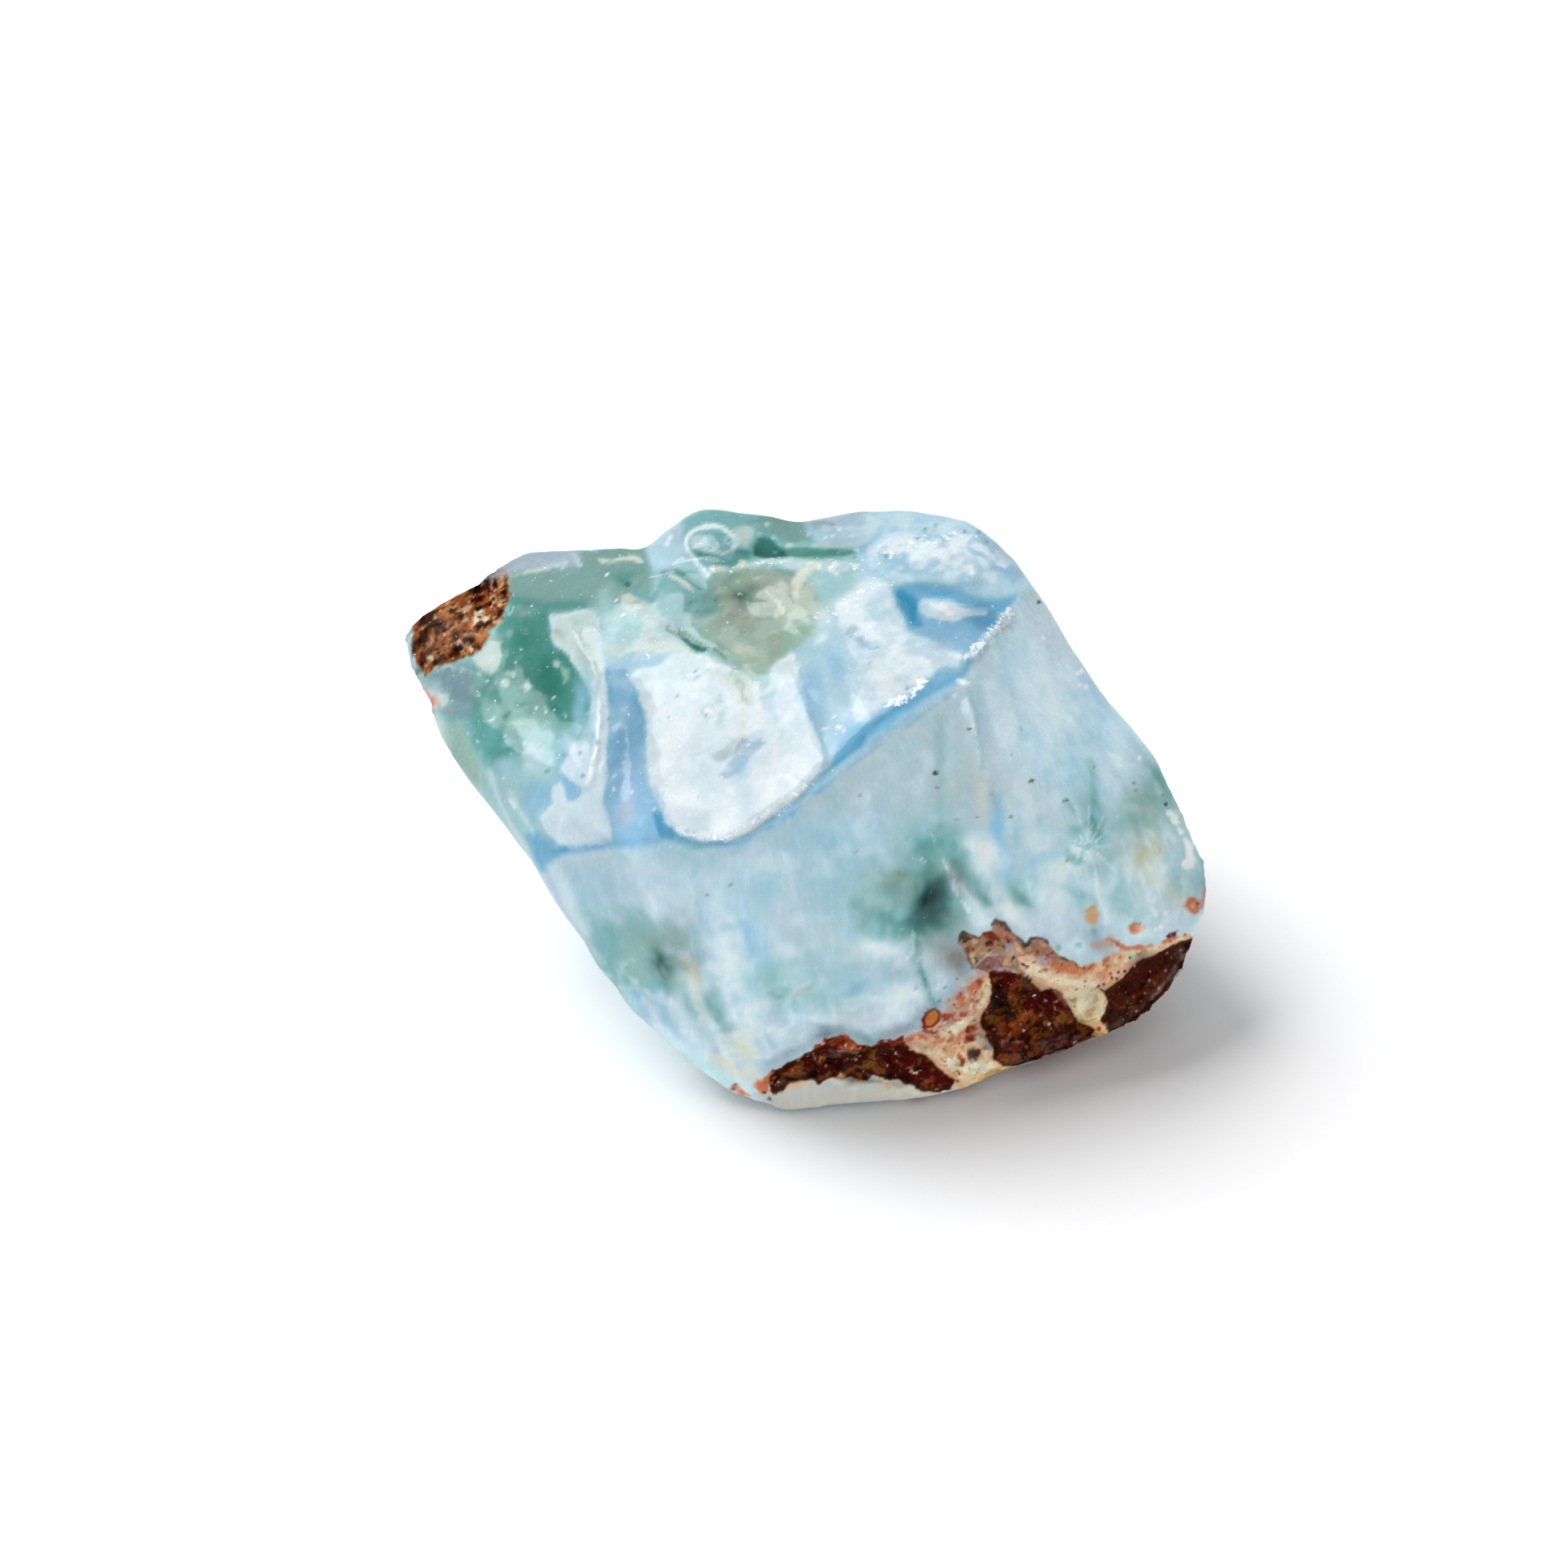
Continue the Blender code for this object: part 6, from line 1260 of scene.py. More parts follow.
# Crumbly facets in the hollow of the top, each in a colour of its own.
FACETS = [
    (-6.4, 14.2), (-3.0, 15.0), (0.0, 14.2), (1.0, 12.6), (-0.6, 10.4), (-2.4, 9.0), (-3.8, 8.4), (-5.6, 10.2), (-6.8, 11.2), (-5.8, 12.6)]
at = nearby(FACETS, 0.3)
inside = eased(depth_inside(u[at], v[at], FACETS), -0.2, 0.6)
bent = place[at] + 0.35 * np.stack([cloud(place[at], 0.9, seed) for seed in (53, 54, 55)], axis=1)
facet = np.array([noise.cell(noise.voronoi(Vector(p) / 1.1)[1][0] * 9.7) for p in bent])
for name, least in (("sage", -1.0), ("drab", -0.6), ("celadon", -0.3), ("fog", 0.0), ("moss", 0.3), ("pearl", 0.6)):
    lay(name, 0.5 * inside * (facet > least), at)

# Cottony clouds, whiter and bluer by turns, with ragged edges.
fluff = cloud(place, 1.5, 51) + 0.7 * cloud(place, 0.55, 52)
for pale, deep, strength, soft, outline in (
        ("foam", "blue", 0.8, 0.35, [(3.2, 16.2), (4.0, 14.8), (6.0, 14.5), (9.0, 14.4), (12.0, 14.4), (12.4, 15.2), (10.2, 17.2), (5.0, 17.2)]),
        ("foam", "sky", 0.7, 0.35, [(1.6, 12.8), (4.4, 14.2), (5.4, 12.4), (6.2, 11.0), (9.0, 9.8), (8.6, 9.0), (5.8, 7.2), (3.2, 6.0), (2.4, 9.6)]),
        ("mist", "lagoon", 0.7, 0.4, [(-12.6, 11.8), (-10.4, 12.6), (-8.6, 11.6), (-6.8, 10.2), (-9.4, 9.2), (-12.2, 9.4)]),
        ("foam", "milk", 0.6, 0.4, [(-10.6, 8.6), (-6.0, 9.4), (-3.4, 7.8), (-1.0, 9.6), (0.6, 3.2), (-2.0, 0.0), (-5.6, -1.6), (-8.8, -0.8), (-10.0, 2.0)]),
        ("milk", "blue", 0.5, 0.7, [(-1.0, 17.8), (4.0, 18.6), (9.0, 18.2), (12.0, 16.0), (10.6, 16.8), (4.6, 17.0), (0.0, 16.6)]),
        ("ice", "blue", 0.55, 1.2, [(10.2, 8.4), (12.8, 13.6), (14.0, 13.0), (17.0, 8.6), (20.6, 4.0), (21.6, 0.6), (16.0, 0.0), (11.6, -1.0), (10.8, 3.0)]),
        ("milk", "sea", 0.5, 0.9, [(11.0, -1.6), (16.0, -1.0), (22.6, 0.0), (23.6, -5.0), (22.0, -7.2), (13.6, -7.4), (10.8, -6.6), (10.4, -3.6)]),
        ("white", "lake", 0.5, 0.9, [(-13.6, -9.6), (-7.6, -8.4), (-2.0, -9.0), (6.0, -8.8), (9.0, -8.0), (9.4, -10.6), (5.6, -13.4), (-2.8, -15.6), (-7.4, -15.0)])):
    inside = eased(depth_inside(u, v, outline), -0.5, 0.7)
    lay(pale, strength * inside * eased(fluff, -0.05, -0.05 + soft))
    lay(deep, 0.6 * strength * inside * eased(-fluff, 0.05, 0.05 + soft))

# Where the cottony clouds thin out, sea green shows below them, and it gathers
# to dark hollows; fine rays spread from a star in the right end.
for name, strength, wide, high, tilt, middle in (
        ("blue", 0.5, 1.6, 1.5, 0, (1.6, -1.4)), ("white", 0.5, 2.0, 0.5, 10, (0.8, -12.7)), ("sea", 0.5, 2.2, 0.6, 0, (1.0, -10.9)),
        ("azure", 0.4, 0.7, 0.4, 0, (2.8, -10.5)), ("sea", 0.6, 1.5, 2.2, 10, (8.4, -3.2)), ("teal", 0.5, 1.1, 1.4, 20, (7.9, -3.2)),
        ("sea", 0.6, 1.4, 0.8, 0, (4.0, -7.1)), ("teal", 0.5, 0.9, 0.5, 0, (5.2, -7.1)), ("white", 0.7, 0.7, 1.4, -20, (10.8, -3.0)),
        ("white", 0.7, 0.5, 0.8, -20, (14.2, -4.6)), ("white", 0.6, 1.8, 0.6, -25, (13.2, -6.9)), ("snow", 0.5, 0.9, 0.5, 0, (11.6, -6.0)),
        ("azure", 0.45, 0.3, 1.3, 0, (12.4, -1.4)), ("sea", 0.5, 0.6, 1.0, 15, (12.5, -4.6)), ("sea", 0.75, 0.8, 2.2, 8, (16.6, -0.8)),
        ("teal", 0.7, 0.35, 1.5, 8, (17.3, -0.2)), ("sea", 0.6, 0.4, 1.2, 0, (16.2, -4.8)), ("sea", 0.55, 0.8, 1.2, -20, (18.9, -5.0)),
        ("sea", 0.5, 0.9, 0.9, 0, (19.0, -0.4)), ("lichen", 0.6, 1.2, 1.2, 0, (20.9, 0.6)), ("straw", 0.6, 0.6, 1.0, -20, (21.2, -3.1)),
        ("white", 0.6, 0.7, 0.5, 0, (15.3, -3.4)), ("white", 0.5, 0.6, 1.0, 0, (19.9, -3.0)), ("milk", 0.6, 1.4, 0.5, -20, (20.0, -7.0)),
        ("white", 0.6, 1.0, 2.0, 20, (12.8, 0.4)), ("ice", 0.6, 1.0, 2.4, 20, (14.8, 5.6))):
    glow(name, strength, wide, high, tilt, middle)
for spoke in range(17):
    turn = math.radians(360.0 * spoke / 17.0 + 16.0 * math.sin(7.0 * spoke))
    tip = 1.5 + 0.8 * math.sin(3.3 * spoke)
    streak("foam" if spoke % 3 else "mist", 0.7, 0.03, 0.22, [
        (17.05 + 0.3 * math.cos(turn), -2.15 + 0.3 * math.sin(turn)), (17.05 + tip * math.cos(turn), -2.15 + 1.25 * tip * math.sin(turn))], 0.05)
patch("foam", 0.8, 0.2, 0.3, [(15.8, -1.9), (16.3, -1.9), (16.7, -2.3), (16.4, -2.8), (15.9, -2.6)])
# The two white streaks near the right edge are painted glints.
streak("foam", 0.9, 0.12, 0.2, [(22.1, -0.2), (22.6, -0.7), (22.8, -1.3)], 0.4)
streak("foam", 0.9, 0.14, 0.2, [(23.0, -1.6), (23.3, -2.4), (23.1, -3.2)], 0.4)
streak("foam", 0.6, 0.06, 0.3, [(17.5, -4.2), (17.7, -5.4), (18.3, -6.8)], 0.1)
streak("foam", 0.6, 0.06, 0.3, [(20.2, -3.6), (20.6, -5.0), (21.2, -6.4)], 0.1)
patch("tan", 0.85, 0.3, 0.4, [(16.9, -6.1), (17.4, -5.9), (17.8, -6.4), (17.6, -6.9), (17.1, -6.9)])
spot("salmon", 0.85, 0.35, (19.9, -7.25), (23.4, -5.6), (23.6, -6.0))
spot("peach", 0.85, 0.22, (20.1, -7.2), (23.5, -5.8))

# Host rock at the left end: flakes of brown, orange and cream.
PATCH = [
    (-24.5, 11.8), (-23.6, 12.6), (-22.6, 13.2), (-21.4, 13.8), (-20.5, 14.5), (-19.5, 15.0), (-18.9, 14.8),
    (-18.7, 14.0), (-18.6, 13.0), (-19.1, 11.9), (-19.8, 11.3), (-20.0, 10.6), (-20.5, 9.9), (-21.0, 9.6),
    (-22.3, 9.3), (-23.2, 8.9), (-23.8, 8.2), (-24.3, 9.2), (-24.7, 10.0)]
patch("haze", 0.8, 0.4, 0.1, [(-25.6, 11.4), (-24.4, 11.6), (-24.4, 8.6), (-25.2, 8.6)])
streak("mauve", 0.7, 0.4, 0.8, [(-24.6, 12.0), (-23.0, 13.2), (-21.4, 14.1), (-20.0, 15.2)])
streak("dusk", 0.6, 0.2, 0.5, [(-22.4, 13.6), (-21.2, 14.1), (-20.2, 15.0)])
patch("copper brown", 1.0, 0.25, 0.35, PATCH)
for shade, outline in (
        ("brown", [(-24.3, 11.6), (-23.4, 12.4), (-22.8, 11.9), (-23.0, 10.6), (-23.6, 9.4), (-24.4, 10.2)]),
        ("maroon", [(-21.0, 12.9), (-20.9, 13.4), (-20.0, 14.4), (-19.5, 14.7), (-19.2, 14.3), (-19.9, 13.4), (-20.8, 12.8)]),
        ("ochre", [(-21.3, 13.0), (-21.2, 13.6), (-20.8, 13.9), (-20.9, 13.3)]),
        ("orange", [(-22.7, 12.9), (-21.7, 13.2), (-21.5, 12.4), (-22.2, 11.9), (-22.8, 12.2)]),
        ("salmon", [(-22.4, 12.7), (-21.9, 12.9), (-21.7, 12.3), (-22.2, 12.1)]),
        ("tan", [(-21.5, 12.8), (-21.0, 12.6), (-21.1, 12.2), (-21.6, 12.1)]),
        ("tan", [(-21.7, 12.1), (-21.1, 12.0), (-21.0, 11.7), (-21.6, 11.6)]),
        ("cream", [(-20.8, 12.4), (-20.2, 12.5), (-19.8, 12.0), (-19.9, 11.4), (-20.6, 11.4), (-20.9, 11.9)]),
        ("peach", [(-20.5, 12.1), (-20.0, 11.9), (-20.2, 11.5), (-20.6, 11.7)]),
        ("tan", [(-19.7, 12.1), (-19.2, 12.0), (-19.1, 11.7), (-19.6, 11.6)]),
        ("tan", [(-19.8, 13.4), (-19.1, 13.3), (-18.7, 12.8), (-19.2, 12.6), (-19.7, 12.9)]),
        ("orange", [(-20.9, 11.4), (-20.3, 11.3), (-19.8, 10.9), (-20.0, 10.5), (-20.7, 10.5)]),
        ("amber", [(-22.9, 11.2), (-22.0, 11.3), (-21.6, 10.8), (-21.9, 10.2), (-22.8, 10.3)]),
        ("orange", [(-23.7, 11.3), (-23.2, 11.2), (-23.1, 10.4), (-23.5, 10.3)]),
        ("orange", [(-23.3, 10.0), (-22.6, 9.9), (-22.3, 9.4), (-23.0, 9.1)]),
        ("peach", [(-21.9, 10.6), (-21.1, 10.5), (-20.9, 9.9), (-21.6, 9.7)]),
        ("amber", [(-22.4, 9.9), (-21.5, 9.7), (-21.3, 9.5), (-22.2, 9.4)]),
        ("cream", [(-24.6, 10.4), (-24.2, 10.3), (-24.2, 10.0), (-24.6, 10.0)]),
        ("cream", [(-23.7, 9.5), (-23.4, 9.6), (-23.3, 9.3), (-23.6, 9.2)]),
        ("maroon", [(-24.1, 9.8), (-23.8, 9.7), (-23.7, 8.6), (-24.0, 8.8)])):
    patch(shade, 0.95, 0.15, 0.3, outline)
spot("tan", 0.85, 0.13, (-22.9, 12.4), (-21.9, 11.5), (-22.6, 10.9), (-20.6, 10.1), (-24.0, 11.3), (-23.2, 12.0), (-21.3, 10.9), (-19.0, 13.6))
spot("umber", 0.95, 0.14, (-20.4, 12.6), (-19.5, 12.7), (-22.2, 12.4), (-21.4, 11.1), (-22.7, 10.3), (-21.3, 9.9), (-20.5, 10.1), (-22.0, 10.7), (-19.6, 13.1))
# The small pale specks are painted glints on the flakes.
spot("fog", 0.9, 0.1, (-19.7, 12.6), (-21.1, 12.9), (-20.7, 11.6), (-22.4, 11.4))

# Host rock along the lower edge: cream under all of it, and a band of painted shade on the blue stone just above it.
ROCK_REGION = [
    (-2.6, -17.4), (-2.4, -16.2), (-1.4, -15.5), (0.2, -14.8), (1.0, -14.1), (2.4, -14.2), (4.2, -14.4), (5.9, -14.2), (6.6, -13.7),
    (8.0, -12.8), (9.0, -11.7), (9.8, -10.6), (10.4, -10.0), (11.4, -9.6), (12.4, -8.9), (13.6, -9.0), (15.4, -9.4), (16.9, -9.8), (17.8, -9.2),
    (18.6, -8.6), (20.2, -8.5), (21.8, -8.2), (23.3, -7.6), (24.0, -8.2), (22.8, -11.0), (20.4, -13.6), (15.0, -15.6), (11.6, -16.2), (9.6, -17.2),
    (8.4, -16.8), (4.0, -16.2), (0.0, -16.6)]
# The slate, denim, ash and steel marks along the rock's upper edge are painted shade.
streak("slate", 0.45, 0.35, 1.2, [
    (-2.6, -15.9), (-1.4, -15.1), (0.0, -14.4), (1.0, -13.6), (2.4, -13.7), (3.4, -14.1), (4.6, -13.9), (5.8, -13.5), (6.8, -12.6), (8.2, -11.9)])
streak("denim", 0.5, 0.12, 0.6, [(0.5, -13.9), (1.2, -13.5), (2.8, -13.8), (3.8, -14.2), (5.2, -13.7), (6.4, -13.2)], 0.4)
glow("slate", 0.55, 0.5, 0.3, 0, (0.8, -13.3))
glow("slate", 0.55, 0.6, 0.25, 0, (3.6, -14.1))
glow("ash", 0.6, 0.5, 0.4, 0, (5.6, -13.4))
glow("slate", 0.6, 1.1, 1.0, 0, (9.0, -9.0))
glow("steel", 0.6, 0.6, 0.5, 0, (8.2, -11.2))
glow("slate", 0.5, 0.7, 0.4, -40, (13.3, -8.3))
glow("slate", 0.5, 0.8, 0.4, 0, (17.6, -8.0))
patch("under", 0.95, 0.6, 0.2, [(-3.4, -17.4), (-1.0, -16.4), (4.0, -16.2), (8.0, -16.8), (9.6, -16.6), (9.8, -17.8), (-1.0, -19.0)])
glow("sand", 0.5, 2.2, 0.3, 0, (6.4, -17.3))
glow("mist", 0.4, 1.4, 0.3, 0, (1.6, -16.9))
patch("tan", 1.0, 0.2, 0.2, ROCK_REGION)
BAND = [
    (-2.4, -15.9), (-2.0, -15.8), (-1.5, -15.4), (-1.0, -15.2), (-0.5, -15.0), (0.1, -14.6), (0.4, -14.4), (0.8, -14.0),
    (1.3, -13.85), (1.8, -13.8), (2.4, -14.0), (3.0, -14.3), (3.6, -14.4), (4.3, -14.2), (5.0, -14.1), (5.6, -14.0),
    (5.8, -14.4), (6.3, -14.7), (7.0, -14.9), (7.3, -15.1), (7.8, -15.8), (8.4, -16.2), (8.9, -16.5), (8.6, -17.1),
    (8.0, -17.3), (7.2, -17.25), (6.5, -17.2), (6.2, -16.9), (5.7, -16.8), (5.3, -16.5), (4.8, -16.6), (4.3, -16.4),
    (3.8, -16.3), (3.4, -16.6), (2.9, -16.6), (2.4, -16.3), (1.8, -16.4), (1.3, -16.4), (0.8, -16.6), (0.4, -16.85),
    (0.0, -16.5), (-0.6, -16.6), (-1.1, -16.65), (-1.4, -16.8), (-1.7, -17.1), (-2.0, -17.3), (-2.2, -17.5), (-2.6, -17.2), (-2.7, -16.4)]
patch("brown", 1.0, 0.12, 0.25, BAND)
for shade, outline in (
        ("dusk", [(-2.3, -16.8), (-1.2, -15.9), (0.4, -16.0), (1.4, -16.0), (1.2, -16.4), (0.4, -16.6), (-1.0, -16.5), (-1.8, -17.0)]),
        ("maroon", [(-1.8, -15.7), (-0.6, -15.2), (0.2, -14.9), (0.4, -15.5), (-0.6, -15.9), (-1.6, -16.1)]),
        ("dusk", [(0.4, -14.9), (1.0, -14.6), (2.0, -14.8), (1.6, -15.1), (0.7, -15.1)]),
        ("rust", [(0.1, -14.6), (0.8, -13.95), (1.8, -13.75), (2.5, -14.0), (3.2, -14.4), (3.0, -14.7), (2.4, -14.6), (1.4, -14.5), (0.6, -14.6)]),
        ("brick", [(1.0, -14.1), (1.8, -13.9), (2.2, -14.2), (1.6, -14.4)]),
        ("salmon", [(2.4, -14.3), (3.1, -14.5), (2.9, -14.7), (2.5, -14.6)]),
        ("brick", [(3.6, -14.4), (4.3, -14.2), (5.6, -14.0), (5.8, -14.4), (4.8, -14.5), (4.0, -14.6)]),
        ("maroon", [(4.4, -14.8), (6.2, -14.8), (7.2, -15.3), (7.9, -16.1), (8.4, -16.6), (7.4, -17.0), (6.2, -16.6), (5.2, -16.0), (4.6, -15.4)]),
        ("ochre", [(3.2, -15.4), (3.6, -15.1), (4.1, -15.15), (4.0, -15.5), (3.6, -15.7), (3.2, -15.7)]),
        ("orange", [(0.4, -15.15), (0.8, -15.1), (0.8, -15.4), (0.5, -15.45)]),
        ("tan", [(1.5, -16.3), (1.8, -16.15), (2.0, -16.3), (1.8, -16.5)]),
        ("salmon", [(-3.5, -16.6), (-3.0, -16.5), (-2.6, -16.1), (-2.3, -16.0), (-2.2, -16.4), (-2.5, -16.8), (-2.6, -17.2), (-3.0, -17.5), (-3.4, -17.2)]),
        ("rosy", [(-5.1, -17.1), (-4.9, -16.7), (-4.6, -16.7), (-4.4, -17.0), (-4.0, -17.3), (-3.9, -17.5), (-4.5, -17.4)]),
        ("dusk", [(-2.5, -16.8), (-2.1, -16.7), (-1.9, -17.3), (-2.3, -17.5)]),
        ("umber", [(0.2, -15.9), (1.2, -15.9), (1.3, -16.2), (0.5, -16.3)])):
    patch(shade, 0.9, 0.15, 0.3, outline)
streak("mauve", 0.85, 0.06, 0.15, [(1.6, -14.75), (2.2, -14.75), (2.8, -14.85)])
streak("mauve", 0.7, 0.04, 0.12, [(0.1, -14.9), (0.35, -15.5)])
streak("peach", 0.9, 0.08, 0.15, [(2.05, -15.25), (2.4, -15.22), (2.8, -15.3)], 0.2)
streak("tan", 0.8, 0.05, 0.12, [(2.9, -15.7), (3.2, -16.0), (3.5, -16.2)])
streak("tan", 0.9, 0.1, 0.2, [(-1.3, -16.7), (-0.6, -16.62)], 0.2)
streak("cream", 0.9, 0.05, 0.12, [(6.05, -15.8), (6.2, -16.1), (6.5, -16.1)])
spot("salmon", 0.8, 0.2, (-4.8, -17.0), (-3.2, -16.9), (-4.3, -17.3))
spot("dusk", 0.8, 0.12, (-4.9, -17.1), (-4.65, -16.8), (-2.9, -17.3), (-2.6, -17.7))
# The small peach specks are painted glints on the glassy rock.
spot("peach", 0.9, 0.1, (-1.2, -15.9), (-0.8, -15.3), (0.7, -14.3), (0.9, -14.3), (2.1, -14.4), (0.9, -15.65), (3.0, -15.1),
     (4.65, -15.65), (5.2, -14.9), (6.1, -14.65), (7.7, -17.1), (-2.05, -16.65), (1.1, -15.2), (0.55, -15.25), (5.3, -16.6))
spot("tan", 0.9, 0.18, (4.3, -16.5), (5.3, -16.65), (4.7, -16.9), (3.0, -16.65))

# The cream vein left of the cavity, with rosy and rust red stains.
VEIN = [
    (5.8, -14.0), (6.6, -13.6), (7.9, -13.1), (8.5, -12.3), (9.3, -11.4), (9.9, -10.6), (10.5, -10.0), (11.0, -10.4),
    (11.1, -11.0), (10.8, -12.0), (10.4, -12.6), (10.3, -13.2), (10.9, -14.0), (11.2, -15.0), (11.6, -15.8),
    (10.6, -16.3), (9.6, -16.9), (9.0, -16.5), (8.4, -16.1), (7.8, -15.7), (7.3, -15.1), (6.4, -14.8)]
patch("rosy", 0.7, 0.5, 0.4, [(6.4, -13.9), (6.9, -12.9), (8.2, -12.2), (8.9, -11.2), (9.6, -10.3), (10.4, -9.7), (11.0, -9.9), (11.0, -12.0), (8.4, -14.2)])
patch("sandstone", 1.0, 0.15, 0.25, VEIN)
for shade, outline in (
        ("rosy", [(5.8, -14.0), (6.6, -13.5), (7.8, -13.3), (8.6, -12.3), (9.6, -11.2), (10.0, -11.6), (9.2, -12.8), (8.4, -13.8), (7.2, -14.1), (6.4, -14.4)]),
        ("salmon", [(9.6, -10.8), (10.1, -10.3), (10.6, -10.1), (10.6, -10.6), (10.2, -11.1), (9.7, -11.4)]),
        ("brick", [(10.0, -10.5), (10.3, -10.1), (10.6, -10.3), (10.3, -10.7)]),
        ("salmon", [(9.0, -11.5), (9.3, -11.3), (9.6, -11.6), (9.5, -11.9), (9.2, -12.0)]),
        ("rust", [(9.2, -12.35), (9.5, -12.3), (9.5, -12.6), (9.2, -12.6)]),
        ("rust", [(7.9, -12.6), (8.2, -12.35), (8.6, -12.45), (8.5, -12.8), (8.1, -12.95)]),
        ("rust", [(6.7, -13.2), (7.3, -13.4), (7.9, -13.3), (7.7, -13.7), (7.0, -13.8)]),
        ("ash", [(8.2, -12.95), (8.6, -12.95), (8.6, -13.3), (8.2, -13.3)]),
        ("salmon", [(5.9, -14.0), (6.9, -13.7), (7.3, -14.0), (6.6, -14.2)]),
        ("butter", [(10.6, -10.6), (11.0, -10.5), (11.05, -11.2), (10.8, -11.5), (10.6, -11.1)]),
        ("cream", [(8.6, -13.2), (9.4, -12.8), (9.9, -12.6), (9.3, -13.3), (8.8, -13.8), (8.1, -14.2), (7.9, -13.9)]),
        ("tan", [(8.0, -14.5), (8.8, -14.4), (9.2, -14.8), (8.6, -15.0)]),
        ("cream", [(8.0, -15.3), (9.0, -15.2), (9.8, -15.6), (11.0, -15.4), (11.5, -15.7), (10.6, -16.1), (9.4, -15.9), (8.6, -16.0)]),
        ("butter", [(11.0, -15.6), (11.5, -15.75), (11.1, -16.0), (10.7, -15.9)]),
        ("ochre", [(8.9, -15.5), (9.4, -15.45), (9.3, -15.7), (8.9, -15.7)]),
        ("brick", [(9.4, -13.6), (9.6, -13.3), (10.0, -13.2), (10.2, -13.4), (10.0, -13.9), (10.0, -14.1), (9.6, -14.1), (9.5, -13.9)]),
        ("stone grey", [(10.0, -13.6), (10.2, -13.4), (10.5, -13.4), (10.7, -13.7), (11.0, -14.2), (11.2, -14.6), (11.0, -14.8), (10.6, -14.6), (10.3, -14.3), (10.1, -14.0)]),
        ("dusk", [(9.5, -14.8), (9.8, -14.65), (10.3, -14.7), (10.5, -14.9), (10.3, -15.2), (9.9, -15.5), (9.6, -15.2)]),
        ("rust", [(9.1, -15.2), (9.4, -15.2), (9.4, -15.45), (9.1, -15.4)])):
    patch(shade, 0.9, 0.15, 0.25, outline)
patch("brick", 0.95, 0.12, 0.05, [(6.9, -13.4), (6.75, -12.8), (7.1, -12.3), (7.6, -12.05), (7.95, -12.3), (7.95, -12.8), (7.5, -13.3)])
patch("copper", 0.95, 0.12, 0.05, [(7.05, -13.2), (7.0, -12.8), (7.25, -12.4), (7.6, -12.2), (7.82, -12.45), (7.75, -12.8), (7.4, -13.2)])
streak("tan", 0.8, 0.07, 0.2, [(9.3, -14.2), (10.1, -14.4)])
streak("cream", 0.7, 0.06, 0.2, [(9.8, -12.0), (10.3, -11.4), (10.6, -10.7)])
streak("tan", 0.7, 0.05, 0.2, [(8.0, -14.9), (9.0, -15.1), (9.6, -14.6)])
spot("dusk", 0.85, 0.1, (7.0, -14.55), (9.7, -15.85), (9.0, -15.95), (9.1, -16.15), (9.1, -14.3), (10.05, -12.85), (9.0, -16.6), (9.15, -11.2))
spot("rust", 0.85, 0.11, (10.1, -11.1), (8.8, -11.9), (9.9, -11.6), (8.5, -13.6), (8.1, -13.4), (8.9, -12.4), (10.4, -11.9))

# The cavity, glassy brown with red and olive grains.
CAVITY = [
    (10.9, -9.9), (11.2, -9.65), (11.6, -9.55), (12.0, -9.6), (12.4, -9.9), (12.7, -10.05), (13.0, -9.95), (13.3, -10.2),
    (13.6, -10.5), (13.9, -10.7), (14.2, -10.9), (14.6, -10.85), (15.0, -10.9), (15.4, -11.2), (15.6, -11.7), (15.9, -12.1),
    (16.2, -12.6), (16.6, -13.0), (17.2, -13.2), (17.5, -13.4), (17.3, -13.8), (16.8, -14.1), (16.0, -14.6), (14.6, -15.1),
    (13.2, -15.6), (11.8, -15.7), (11.2, -15.3), (11.2, -14.7), (10.9, -14.0), (10.6, -13.4), (10.3, -13.0), (10.5, -12.5),
    (10.8, -12.0), (11.0, -11.5), (11.1, -10.8)]
patch("brown", 1.0, 0.12, 0.2, CAVITY)
